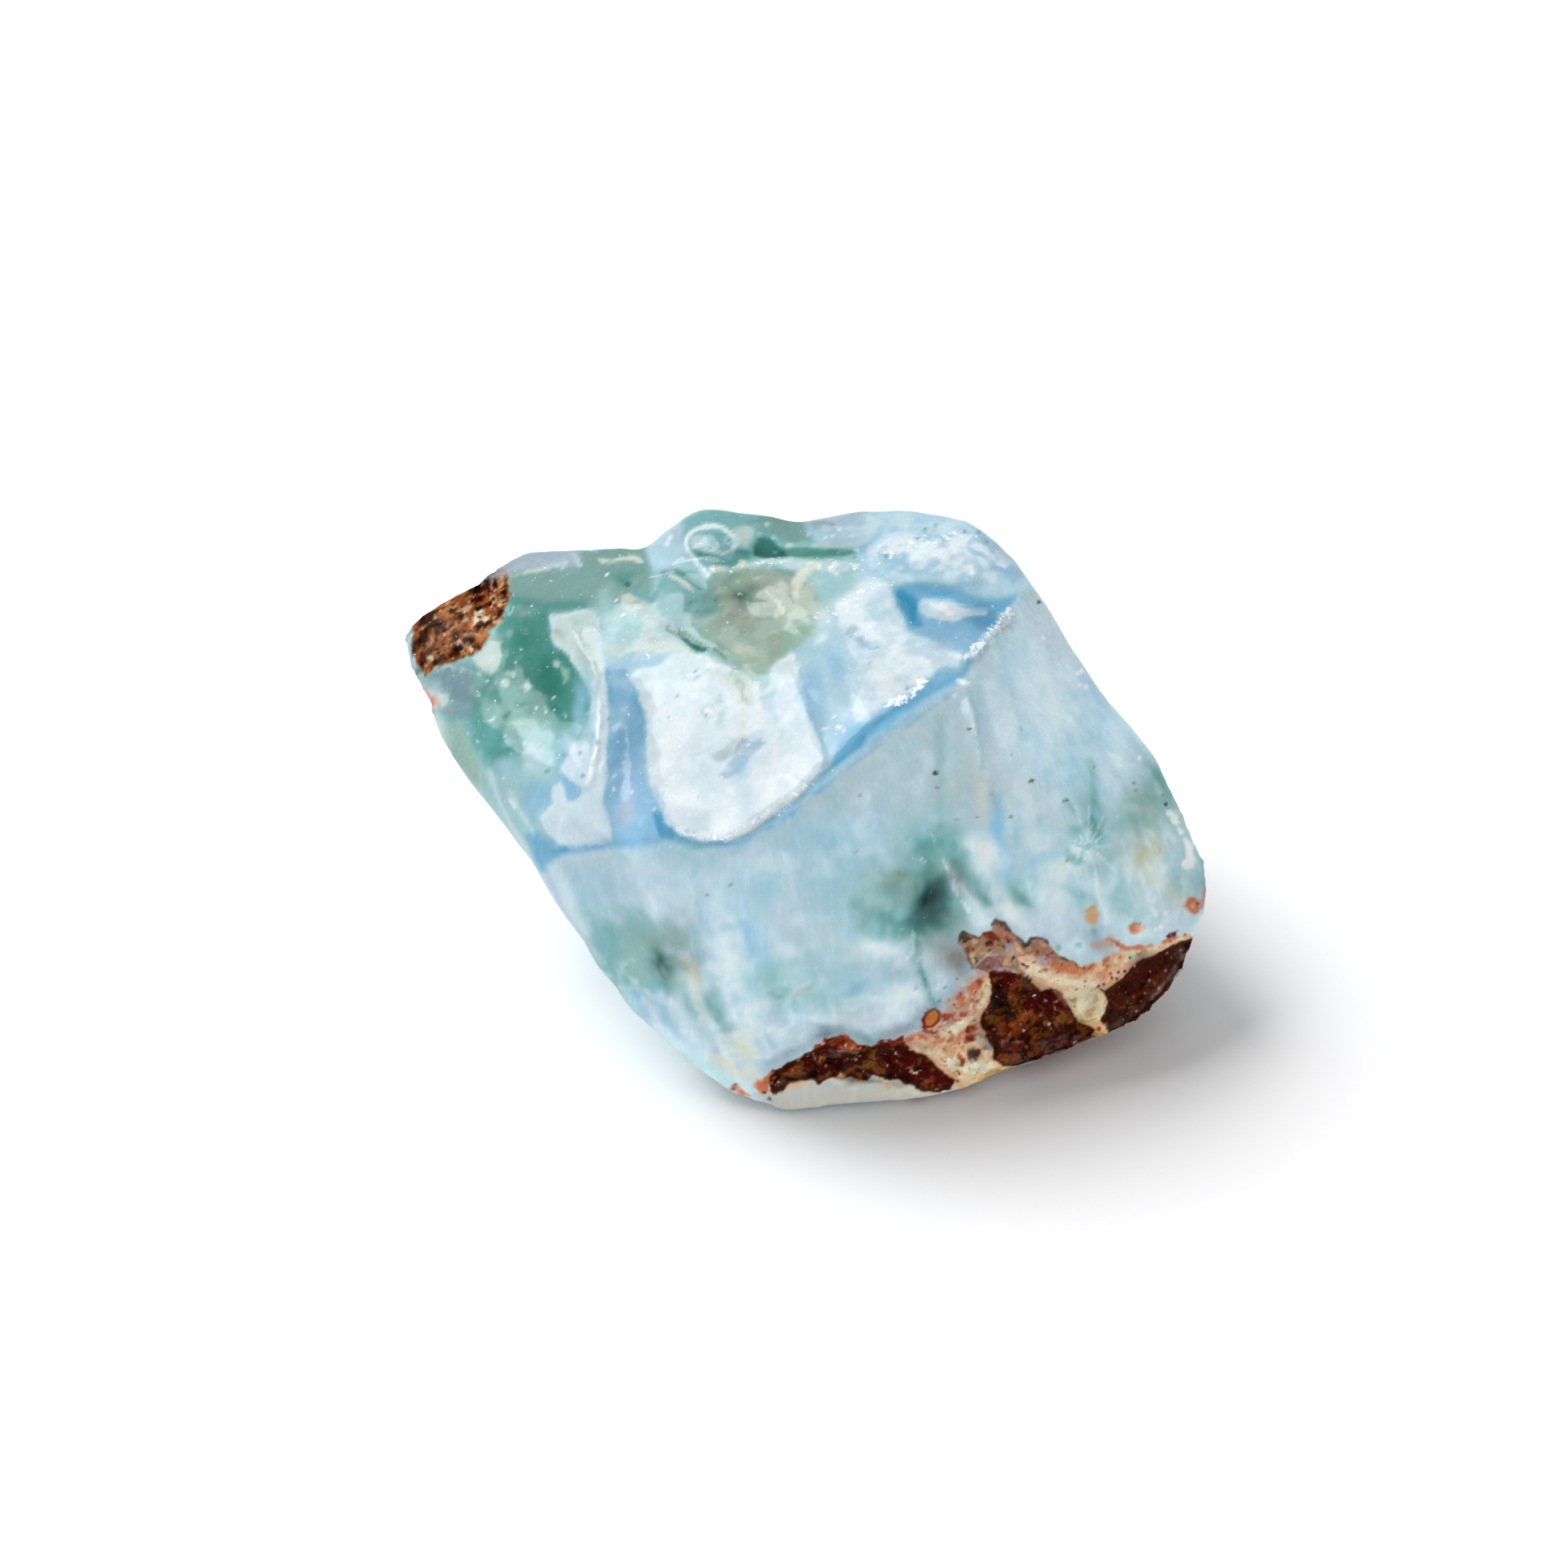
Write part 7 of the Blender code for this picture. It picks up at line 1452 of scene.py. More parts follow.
for shade, outline in (
        ("brick", [(11.0, -9.75), (11.5, -9.55), (12.0, -9.65), (12.3, -9.9), (11.8, -10.0), (11.2, -10.0)]),
        ("blood", [(11.1, -10.0), (11.8, -9.95), (12.5, -10.2), (12.5, -10.7), (12.0, -10.9), (11.3, -10.9)]),
        ("dusk", [(12.7, -10.2), (13.2, -10.2), (13.9, -10.9), (13.4, -11.1), (12.8, -10.8)]),
        ("black", [(11.2, -11.0), (11.9, -11.2), (12.2, -11.8), (12.4, -12.5), (11.9, -12.7), (11.3, -12.2), (11.0, -11.7)]),
        ("amber", [(12.1, -11.3), (13.1, -11.2), (13.3, -11.6), (13.0, -12.2), (12.5, -12.2), (12.2, -11.8)]),
        ("blood", [(13.7, -11.2), (14.2, -10.95), (15.0, -11.1), (15.1, -11.5), (14.5, -11.6), (13.9, -11.5)]),
        ("mauve rock", [(14.8, -11.0), (15.4, -11.1), (15.7, -11.7), (15.6, -12.0), (15.3, -11.5)]),
        ("maroon", [(13.3, -11.7), (13.8, -11.5), (14.2, -11.8), (14.2, -12.4), (13.7, -12.7), (13.4, -12.3)]),
        ("maroon", [(14.5, -11.9), (14.9, -11.8), (14.95, -12.5), (14.6, -12.7), (14.4, -12.3)]),
        ("ochre", [(15.0, -12.0), (15.7, -12.2), (16.0, -12.8), (15.5, -13.1), (15.0, -12.8)]),
        ("ochre", [(14.0, -12.8), (14.6, -12.7), (14.7, -13.3), (14.1, -13.5)]),
        ("ochre", [(10.6, -12.7), (11.1, -12.3), (11.7, -12.6), (11.6, -13.1), (10.9, -13.1)]),
        ("amber", [(11.6, -12.9), (12.6, -12.8), (13.1, -13.3), (13.0, -13.9), (12.2, -14.1), (11.5, -13.6)]),
        ("copper brown", [(12.0, -13.0), (12.6, -13.0), (12.6, -13.4), (12.1, -13.4)]),
        ("ochre", [(12.6, -12.4), (13.2, -12.5), (13.2, -12.9), (12.7, -12.9)]),
        ("mauve rock", [(11.6, -14.1), (12.8, -14.0), (13.2, -14.5), (12.4, -14.8), (11.7, -14.7)]),
        ("umber", [(13.6, -13.0), (14.0, -13.1), (14.1, -14.0), (13.8, -14.4), (13.6, -13.8)]),
        ("dusk", [(11.4, -14.8), (13.4, -14.9), (13.9, -15.2), (13.0, -15.5), (11.8, -15.6)]),
        # This dusk patch along the lower rim is partly the rock's dark colour and partly a painted grey sheen.
        ("dusk", [(13.9, -14.0), (15.6, -13.8), (17.0, -13.7), (16.8, -14.0), (15.6, -14.6), (14.4, -14.9)]),
        ("umber", [(15.6, -13.1), (16.4, -13.1), (17.3, -13.4), (16.8, -13.7), (15.8, -13.6)])):
    patch(shade, 0.9, 0.2, 0.3, outline)
streak("ochre", 0.9, 0.06, 0.15, [(12.7, -12.1), (13.1, -12.6), (13.4, -12.9), (13.7, -12.9), (14.0, -12.6), (14.3, -12.3), (14.3, -11.7)])
streak("tan", 0.8, 0.04, 0.12, [(14.9, -11.7), (15.02, -12.1), (15.0, -12.5)])
streak("umber", 0.85, 0.1, 0.2, [(11.2, -13.2), (11.35, -14.2), (11.3, -15.1)], 0.2)
streak("copper brown", 0.8, 0.06, 0.2, [(12.6, -14.3), (13.0, -14.2), (13.3, -14.6)])
# The yellow streak and the white and peach specks that follow are painted glints.
streak("butter", 0.9, 0.05, 0.15, [(15.9, -14.35), (16.3, -14.2)])
spot("snow", 0.95, 0.09, (14.35, -11.6), (14.45, -11.65), (13.7, -11.35), (13.05, -13.5), (10.8, -12.35), (14.65, -13.1))
spot("peach", 0.85, 0.09, (15.1, -11.7), (12.9, -11.6), (13.0, -14.2), (13.2, -14.5), (14.75, -13.35), (13.0, -14.9), (12.9, -13.1),
     (16.1, -14.6), (11.2, -13.4), (14.0, -13.9), (12.0, -15.3), (15.4, -14.2))

# The upper rim of the rock: rosy lobes with dark outlines, then cream.
LOBES = [
    (9.05, -8.1), (9.15, -7.6), (9.4, -7.4), (9.8, -7.6), (10.3, -7.75), (10.7, -7.5), (11.1, -7.3), (11.15, -6.95),
    (11.35, -6.7), (11.8, -6.8), (12.2, -7.3), (12.7, -7.75), (13.1, -8.35), (13.4, -8.0), (13.7, -7.75), (14.3, -7.85),
    (14.7, -8.3), (15.2, -8.9), (16.2, -9.3), (16.9, -9.7), (16.0, -10.4), (14.0, -10.4), (13.0, -10.0), (12.0, -9.7),
    (11.0, -9.8), (10.2, -9.8), (9.8, -9.5), (9.5, -8.8)]
patch("hazel", 0.95, 0.12, 0.2, LOBES)
for shade, outline in (
        ("ash", [(9.9, -9.5), (10.8, -8.8), (12.6, -8.8), (12.6, -9.9), (11.2, -9.8), (10.2, -10.0)]),
        ("mauve rock", [(10.2, -9.6), (10.8, -8.9), (12.4, -8.9), (12.6, -9.7), (11.6, -9.6), (10.8, -9.9)]),
        ("hazel", [(9.3, -7.6), (9.9, -7.85), (10.6, -7.8), (11.2, -7.9), (11.6, -8.1), (11.7, -8.4), (11.3, -8.5), (10.7, -8.6), (10.5, -8.8),
                   (10.3, -9.1), (10.15, -9.5), (9.95, -9.6), (9.75, -9.4), (9.6, -9.0), (9.5, -8.5), (9.35, -8.1)]),
        ("sandstone", [(9.7, -8.6), (10.0, -8.5), (10.1, -9.2), (9.9, -9.4), (9.75, -9.0)]),
        ("brick", [(10.6, -7.55), (11.0, -7.35), (11.3, -7.5), (11.6, -7.8), (11.7, -8.0), (11.2, -7.9), (10.8, -7.8)]),
        ("rose rock", [(11.25, -7.05), (11.4, -6.85), (11.8, -6.95), (12.1, -7.35), (12.5, -7.7), (12.85, -8.05), (13.05, -8.4), (13.4, -8.75),
                       (13.2, -9.3), (12.6, -9.0), (12.3, -8.4), (11.8, -7.9), (11.4, -7.6)]),
        ("ash", [(11.8, -8.0), (12.3, -8.1), (12.5, -8.7), (12.0, -8.6)]),
        ("peach", [(12.5, -8.0), (12.9, -8.3), (13.2, -8.8), (12.9, -9.0), (12.6, -8.5)]),
        ("rose rock", [(13.45, -8.1), (13.65, -7.9), (14.0, -7.85), (14.3, -8.0), (14.6, -8.4), (14.9, -8.7), (15.2, -9.0), (15.6, -9.2), (15.2, -9.5),
                       (14.4, -9.2), (13.8, -8.8), (13.5, -8.5)]),
        ("hazel", [(11.4, -9.0), (12.1, -8.9), (12.5, -9.3), (12.4, -9.8), (11.9, -9.6)]),
        ("copper", [(11.7, -9.1), (12.1, -9.1), (12.3, -9.5), (12.0, -9.5)])):
    patch(shade, 0.9, 0.15, 0.2, outline)
CREAM = [
    (12.7, -8.9), (13.3, -8.8), (13.8, -9.0), (14.6, -9.3), (15.4, -9.4), (16.2, -9.6), (16.9, -9.75), (17.5, -9.3), (18.0, -8.9),
    (19.0, -8.5), (20.4, -8.4), (21.6, -8.1), (22.6, -7.7), (23.3, -7.5), (23.2, -8.0), (22.2, -8.3),
    (21.4, -8.7), (20.4, -9.0), (19.8, -9.5), (19.3, -9.9), (18.6, -10.3), (17.8, -10.7), (18.2, -11.2),
    (18.2, -12.0), (17.9, -12.7), (17.3, -13.15), (16.7, -13.0), (16.2, -12.5), (15.8, -11.7), (15.4, -11.0),
    (14.6, -10.8), (13.8, -10.4), (13.1, -9.9), (12.7, -9.5)]
patch("sandstone", 1.0, 0.12, 0.2, CREAM)
for shade, outline in (
        ("lilac rock", [(13.8, -8.9), (14.4, -8.95), (15.0, -9.3), (14.4, -9.5), (13.9, -9.3)]),
        ("salmon", [(14.6, -9.3), (15.6, -9.3), (16.4, -9.6), (16.9, -9.75), (17.3, -9.5), (17.6, -9.2), (17.5, -9.7), (16.8, -10.1), (15.8, -10.0), (15.0, -9.8)]),
        ("rust", [(16.2, -9.5), (16.9, -9.65), (17.2, -9.4), (17.5, -9.2), (17.3, -9.6), (16.8, -9.85)]),
        ("cream", [(13.1, -9.3), (13.8, -9.4), (14.4, -10.0), (14.8, -10.4), (14.0, -10.2), (13.3, -9.8)]),
        ("cream", [(14.8, -10.1), (16.0, -10.3), (17.0, -10.3), (17.4, -10.6), (16.4, -10.9), (15.4, -10.7)]),
        ("butter", [(15.7, -11.1), (16.2, -10.9), (17.0, -10.95), (17.7, -11.1), (18.2, -11.3), (18.15, -12.0), (18.1, -12.3), (17.8, -12.8),
                    (17.3, -13.1), (16.7, -13.0), (16.3, -12.6), (16.0, -12.0), (15.8, -11.5)]),
        ("tan", [(17.9, -9.2), (18.6, -9.1), (19.2, -9.4), (18.8, -9.9), (18.0, -9.9)]),
        ("drab", [(17.6, -8.3), (18.4, -8.5), (18.2, -8.9), (17.6, -8.8)]),
        ("khaki", [(19.4, -8.7), (21.0, -8.5), (21.4, -8.7), (20.3, -9.0), (19.7, -9.3)]),
        ("salmon", [(18.1, -7.9), (18.5, -7.7), (19.0, -7.9), (19.4, -8.25), (20.2, -8.3), (21.2, -8.15), (20.4, -8.5), (19.0, -8.5), (18.4, -8.2)]),
        ("rust", [(18.4, -7.8), (18.8, -7.85), (19.1, -8.3), (18.8, -8.35), (18.5, -8.1)]),
        ("blood", [(21.8, -7.7), (22.0, -7.5), (22.3, -7.3), (22.5, -7.15), (22.7, -7.3), (22.5, -7.6), (22.1, -7.8)]),
        ("salmon", [(21.5, -8.0), (22.0, -7.85), (22.7, -7.6), (22.6, -7.9), (21.8, -8.1)])):
    patch(shade, 0.85, 0.2, 0.3, outline)
streak("rosy", 0.8, 0.15, 0.4, [(17.4, -8.2), (18.0, -8.15), (18.5, -8.2)])
streak("olive", 0.7, 0.08, 0.25, [(16.6, -12.9), (17.1, -12.95), (17.5, -12.7)])
streak("cream", 0.7, 0.07, 0.25, [(18.8, -8.7), (20.0, -8.65), (21.4, -8.35), (22.8, -7.8)])
glow("cream", 0.6, 0.5, 0.4, 0, (17.0, -11.6))
for line in ([(9.05, -8.1), (9.15, -7.7), (9.35, -7.4), (9.8, -7.6), (10.3, -7.8), (10.6, -7.6)],
             [(11.1, -7.0), (11.35, -6.72), (11.8, -6.85), (12.1, -7.2), (12.5, -7.6), (12.9, -7.95), (13.1, -8.3)],
             [(13.3, -8.2), (13.5, -7.85), (13.9, -7.75), (14.35, -7.9), (14.6, -8.15)],
             [(14.85, -8.6), (15.3, -8.95), (15.9, -9.2), (16.3, -9.4)],
             [(9.5, -8.6), (9.65, -9.1), (9.9, -9.6), (10.2, -9.6)]):
    streak("umber", 0.7, 0.04, 0.16, line, 0.25)
spot("umber", 0.9, 0.1, (16.15, -11.75), (16.2, -12.0), (16.3, -10.95), (13.0, -9.4), (18.4, -10.0), (18.5, -10.25), (18.8, -10.3),
     (18.0, -10.65), (18.9, -9.9), (19.3, -9.85), (17.7, -10.75), (16.8, -9.65), (17.1, -9.65), (19.6, -9.0), (13.3, -10.1), (13.5, -10.35))
spot("orange", 0.85, 0.12, (23.0, -7.6), (22.1, -8.0), (19.0, -9.0), (18.2, -9.5))

# The dark lobe at the right, with a dull grey sheen along its edge.
LOBE = [
    (17.6, -10.8), (18.1, -11.0), (18.6, -10.7), (19.0, -10.3), (19.4, -9.9), (19.9, -9.4), (20.5, -9.0), (21.2, -8.8),
    (21.7, -8.6), (22.3, -8.2), (22.8, -8.0), (23.6, -7.8), (23.4, -9.0), (22.9, -10.0), (22.4, -10.9), (21.5, -12.0),
    (20.3, -13.0), (18.6, -13.8), (18.1, -13.4), (17.8, -12.9), (18.1, -12.3), (18.3, -11.7), (18.0, -11.2)]
patch("brown", 1.0, 0.12, 0.15, LOBE)
glow("maroon", 0.6, 1.0, 0.7, 20, (20.5, -9.8))
glow("amber", 0.3, 0.9, 0.5, 0, (19.4, -11.3))
patch("dusk", 0.85, 0.7, 0.3, [
    (22.4, -8.4), (23.4, -8.0), (23.4, -9.0), (22.4, -11.0), (21.0, -12.6), (19.4, -13.6), (18.2, -13.4), (18.6, -12.6), (20.2, -12.2), (21.6, -10.8), (22.2, -9.6)])
streak("mauve", 0.5, 0.1, 0.4, [(22.9, -8.4), (22.5, -9.4), (21.9, -10.4), (21.0, -11.5)], 0.3)
streak("ochre", 0.8, 0.05, 0.15, [(18.4, -11.6), (18.9, -12.0), (19.5, -12.1), (20.0, -12.0)])
streak("amber", 0.9, 0.07, 0.15, [(20.8, -10.4), (21.1, -10.4), (21.2, -10.7), (20.9, -10.7)])
spot("mauve", 0.8, 0.1, (20.5, -11.2), (20.3, -11.7), (19.9, -11.4), (18.4, -12.6), (21.9, -8.7), (20.8, -10.4), (20.0, -12.3), (19.9, -9.5),
     (22.2, -9.0), (22.4, -8.8), (21.8, -9.8), (21.4, -10.9))
patch("sandstone", 0.9, 0.2, 0.15, [(17.3, -13.8), (17.7, -13.3), (18.1, -13.0), (18.3, -13.2), (18.1, -13.5), (17.6, -13.8)])
spot("rust", 0.9, 0.16, (17.7, -13.4))

# Iron stains the cream stone unevenly, and the brown stone is glassy, with
# redder and blacker grains.
stain = cloud(place, 0.9, 41) + 0.6 * cloud(place, 0.35, 42)
grit = cloud(place, 0.8, 43) + 0.6 * cloud(place, 0.3, 44)
for outline, marks in (
        (VEIN, (("salmon", 0.6, stain, 0.22), ("cream", 0.6, -stain, 0.2), ("rust", 0.6, grit, 0.45))),
        (LOBES, (("brick", 0.7, stain, 0.3), ("sandstone", 0.6, -stain, 0.2), ("umber", 0.6, grit, 0.4))),
        (CREAM, (("salmon", 0.4, stain, 0.25), ("cream", 0.6, -stain, 0.2), ("rust", 0.5, grit, 0.5))),
        (BAND, (("blood", 0.8, stain, 0.1), ("copper brown", 0.7, -stain, 0.25), ("umber", 0.8, grit, 0.2), ("ochre", 0.6, -grit, 0.4))),
        (CAVITY, (("blood", 0.7, stain, 0.15), ("amber", 0.8, -stain, 0.15), ("umber", 0.8, grit, 0.25), ("copper brown", 0.7, -grit, 0.35))),
        (LOBE, (("maroon", 0.6, stain, 0.1), ("amber", 0.3, -stain, 0.25), ("umber", 0.6, grit, 0.15))),
        (PATCH, (("umber", 0.8, stain, 0.2), ("orange", 0.7, -stain, 0.2), ("tan", 0.7, -grit, 0.35)))):
    inside = eased(depth_inside(u, v, outline), 0.0, 0.25)
    for name, strength, pattern, level in marks:
        lay(name, strength * inside * eased(pattern, level, level + 0.2))

# Last, soft clouds over the finer marks, and a deeper or paler cast here and there.
glow("deep", 0.55, 1.3, 0.35, -8, (8.4, 13.6))
glow("azure", 0.6, 1.0, 0.5, 20, (11.3, 12.5))
glow("snow", 0.6, 1.0, 0.25, -6, (8.2, 12.75))
glow("teal", 0.5, 0.35, 1.8, 40, (21.6, 2.0))
glow("lake", 0.6, 2.4, 1.6, 0, (0.0, -3.0))
glow("lagoon", 0.6, 0.5, 2.6, 0, (-13.7, 6.9))
glow("gulf", 0.7, 0.5, 0.6, 0, (5.9, 12.6))
glow("lichen", 0.5, 1.2, 1.4, 0, (20.7, 0.4))
glow("straw", 0.3, 0.8, 0.8, 0, (20.6, -3.1))
glow("slate", 0.4, 0.7, 0.8, 0, (9.0, -4.2))
glow("moss", 0.3, 0.7, 0.8, 0, (9.0, -4.2))
glow("lake", 0.5, 1.6, 1.2, 0, (5.0, -10.0))
glow("stone grey", 0.7, 0.8, 0.8, 0, (8.5, -9.4))
# The slate streak along the rock's upper edge is painted shade.
streak("slate", 0.6, 0.12, 0.9, [
    (-2.6, -15.5), (-1.4, -14.8), (0.0, -14.2), (1.0, -13.45), (2.4, -13.5), (3.4, -13.9), (4.6, -13.75), (5.8, -13.4), (6.6, -12.6), (7.6, -11.8), (8.8, -10.8)], 0.3)
glow("drab", 0.25, 1.6, 1.6, 0, (9.6, 2.0))
glow("pearl", 0.7, 0.8, 1.2, -20, (-4.4, -14.7))
streak("salmon", 0.6, 0.2, 0.4, [(14.9, -9.5), (15.8, -9.7), (16.6, -9.9), (17.3, -9.6)], 0.3)
billow = cloud(place, 2.8, 57) + 0.7 * cloud(place, 1.0, 58)
for outline in (
        [(-14.0, -1.0), (-5.0, -1.6), (0.6, 0.6), (5.6, 6.0), (10.6, 8.6), (10.4, -1.0), (10.0, -7.4), (6.0, -12.0), (-3.0, -14.0), (-8.0, -14.0)],
        [(10.8, 8.0), (12.6, 13.4), (16.0, 9.6), (21.0, 3.0), (23.6, -3.0), (23.0, -6.6), (13.6, -6.8), (11.0, -3.0)]):
    inside = eased(depth_inside(u, v, outline), 0.0, 2.0)
    lay("milk", 0.5 * inside * eased(billow, -0.1, 0.9))
    lay("aqua", 0.5 * inside * eased(-billow, -0.1, 0.8))
    lay("blue", 0.4 * inside * eased(-billow, 0.2, 0.9))
for name, strength, wide, high, tilt, middle in (
        ("moss", 0.7, 0.8, 0.5, 0, (-4.9, 13.9)), ("drab", 0.7, 0.8, 0.8, 0, (-1.9, 14.0)), ("drab", 0.65, 1.3, 0.6, -10, (-3.6, 12.0)),
        ("teal", 0.8, 0.3, 0.3, 0, (-3.85, 12.8)), ("sea", 0.6, 0.7, 0.5, 0, (-6.4, 12.6)), ("foam", 0.75, 0.6, 0.5, 0, (0.6, 11.9)),
        ("aqua", 0.7, 0.6, 1.0, 0, (0.9, 12.9)), ("foam", 0.8, 0.3, 0.3, 0, (0.6, 10.8)), ("celadon", 0.6, 1.0, 0.6, -30, (-1.4, 10.8)),
        ("pearl", 0.6, 0.8, 0.4, -30, (-4.2, 9.9)), ("foam", 0.7, 0.9, 0.4, 20, (2.4, 12.6)), ("white", 0.7, 0.5, 0.3, 30, (3.6, 13.9)),
        ("sky", 0.6, 1.0, 1.8, 20, (0.9, 8.4)), ("blue", 0.5, 0.5, 1.4, 20, (1.6, 8.6)), ("jade", 0.6, 0.9, 0.5, 10, (-3.0, 16.4)),
        ("lagoon", 0.6, 1.4, 1.1, 0, (5.2, -4.9)), ("sea", 0.75, 1.4, 1.0, 0, (8.2, -2.3)), ("teal", 0.6, 0.8, 0.6, 0, (7.4, -2.0)),
        ("teal", 0.5, 0.5, 0.4, 0, (9.0, -2.4)), ("sea", 0.65, 1.5, 1.3, 30, (7.2, -6.2)), ("teal", 0.85, 0.8, 1.9, -35, (7.4, -5.3)), ("deep", 0.2, 0.5, 1.2, -35, (7.0, -5.8)),
        ("teal", 0.5, 0.35, 0.5, 0, (10.3, -4.9)), ("teal", 0.5, 0.5, 0.4, -20, (12.6, -5.2)), ("white", 0.7, 0.7, 0.6, 0, (10.0, -2.4)),
        ("azure", 0.5, 0.3, 1.2, 0, (11.4, -1.2)), ("lake", 0.6, 1.5, 0.9, 0, (1.8, -10.2)), ("azure", 0.4, 0.6, 0.4, 0, (2.4, -10.5)),
        ("foam", 0.65, 1.4, 0.7, 0, (4.4, -8.2)), ("white", 0.6, 1.2, 0.9, -30, (5.0, -11.8)), ("sea", 0.6, 1.6, 0.9, 0, (-2.6, -10.0)),
        ("blue", 0.8, 0.9, 0.7, 30, (-4.9, 3.2)), ("azure", 0.5, 0.5, 0.4, 30, (-4.8, 3.1)), ("haze", 0.8, 2.2, 0.3, 3, (-19.6, 15.0)),
        ("lagoon", 0.5, 1.6, 1.6, 0, (-20.3, 4.7)), ("mauve", 0.5, 1.6, 0.2, 3, (-19.6, 15.2)),
        ("foam", 0.6, 0.8, 0.5, 0, (3.5, 13.0)), ("blue", 0.45, 0.3, 1.6, 0, (-13.6, 6.5)), ("sandstone", 0.4, 0.6, 0.3, 0, (14.5, -9.7)),
        ("copper", 0.35, 0.8, 0.3, 0, (16.5, -9.7)), ("stone grey", 0.25, 1.2, 0.6, 35, (22.0, -11.0)), ("stone grey", 0.35, 2.0, 1.4, 20, (-22.2, 11.0)), ("haze", 0.7, 0.3, 1.6, 15, (-25.2, 9.8)), ("milk", 0.6, 1.2, 0.4, -40, (-22.6, 7.6))):
    glow(name, strength, wide, high, tilt, middle)
# The blue and azure lines along the crease are partly painted shade.
for name, strength, wide, soft, line in (
        ("blue", 0.7, 0.12, 0.5, [(-16.6, -2.9), (-14.2, -2.3), (-12.0, -1.9), (-9.4, -1.6), (-7.0, -2.0), (-4.4, -2.0), (-1.4, 0.2), (1.6, 2.6), (4.6, 4.8), (8.2, 7.4), (11.0, 11.2)]),
        ("azure", 0.6, 0.05, 0.3, [(-16.0, -2.8), (-12.6, -2.0), (-9.2, -1.6), (-7.0, -2.0), (-4.4, -2.0), (-1.2, -0.1), (1.8, 2.3), (4.8, 4.5), (8.4, 7.1)]),
        ("pearl", 0.9, 0.22, 0.25, [(-1.0, 13.3), (-0.9, 14.1), (-0.5, 14.7), (0.2, 15.1)]),
        ("pearl", 0.85, 0.05, 0.15, [(-2.75, 13.5), (-2.1, 12.9), (-1.7, 12.2), (-1.7, 11.7)]),
        ("milk", 0.4, 0.5, 1.0, [(8.3, -3.4), (9.0, -4.6), (9.7, -5.5), (10.6, -6.5)]),
        ("pearl", 0.6, 0.05, 0.15, [(7.4, -1.4), (7.9, -2.6), (8.6, -3.8), (9.5, -5.0), (10.4, -6.0), (10.9, -6.7)]),
        ("white", 0.6, 0.04, 0.12, [(8.2, -3.2), (8.9, -4.9), (9.7, -6.2)]),
        ("teal", 0.6, 0.12, 0.45, [(6.4, -7.3), (6.6, -9.0), (7.0, -10.4), (7.5, -11.8)])):
    streak(name, strength, wide, soft, line, 0.25)
chalky(0.3, 0.4, [(0.4, 11.9), (1.6, 12.4), (2.8, 13.2), (3.8, 14.0), (4.6, 14.2)])
for amount, wide, high, tilt, middle in (
        (-0.07, 5.0, 5.5, 0, (-5.5, 4.0)), (-0.05, 2.0, 2.6, 0, (-8.6, 4.0)), (-0.08, 0.9, 4.0, 0, (-11.0, 5.0)),
        (-0.07, 2.0, 2.0, 0, (-16.2, 7.7)), (-0.13, 1.4, 1.2, 0, (10.8, 11.6)), (-0.05, 2.0, 0.8, 0, (8.2, 11.4)),
        (-0.05, 1.6, 1.6, 0, (19.0, -1.5)), (-0.08, 2.4, 1.2, 0, (14.0, -6.6)), (-0.2, 1.0, 1.8, 0, (7.4, -5.8)),
        (-0.07, 1.6, 1.4, 0, (5.3, -4.6)), (-0.15, 1.2, 1.0, 0, (17.2, -11.9)), (0.12, 2.4, 2.0, 0, (-21.6, 11.5)),
        (-0.11, 3.0, 1.6, 0, (-6.4, 17.0)), (-0.1, 1.6, 1.4, 0, (-7.9, 13.3)), (-0.08, 2.4, 1.2, 0, (-12.2, 14.6)),
        (-0.07, 2.0, 1.8, 0, (-2.8, 11.2)), (-0.09, 3.0, 1.2, 0, (1.4, 17.0)), (-0.1, 1.0, 3.0, 0, (23.8, -4.0)),
        (-0.28, 1.1, 1.0, 0, (-8.8, -9.4)), (-0.05, 2.0, 1.6, 0, (4.8, 8.0)), (0.06, 1.8, 1.8, 0, (-20.3, 4.7)),
        (0.12, 2.0, 2.2, 0, (-16.2, 7.7)), (0.1, 3.0, 1.4, 0, (-6.0, 17.0)), (0.1, 1.6, 0.8, 0, (-3.0, 16.3)), (0.1, 3.0, 1.2, 0, (-12.0, 14.5)),
        (0.06, 1.6, 1.2, 0, (-8.0, 13.3)), (-0.3, 0.7, 1.3, -35, (7.3, -5.6)), (-0.15, 0.5, 1.0, 30, (9.0, -4.3)),
        (-0.09, 2.0, 0.8, 10, (3.0, -12.4)), (-0.12, 0.9, 0.8, 0, (8.5, -9.5)), (-0.08, 1.4, 0.5, 0, (8.3, 12.4)), (0.08, 0.8, 2.0, 0, (-11.0, -0.2)),
        (-0.1, 0.9, 1.2, 0, (20.6, -3.1)), (-0.05, 1.6, 2.4, 0, (13.5, 0.0)), (-0.04, 2.4, 3.4, 0, (-3.0, 3.4)),
        (0.1, 2.4, 2.0, 0, (-22.0, 11.2)), (-0.07, 1.6, 1.0, 0, (5.0, -10.0)), (-0.06, 1.2, 1.4, 0, (-21.8, 3.5)), (-0.2, 0.5, 0.8, -35, (7.4, -5.8)), (-0.12, 1.0, 0.7, 0, (-4.6, 13.0))):
    far = oval(u + drift_u, v + drift_v, wide, high, tilt, middle)
    colour *= (1.0 + amount * np.exp(-far))[:, None]

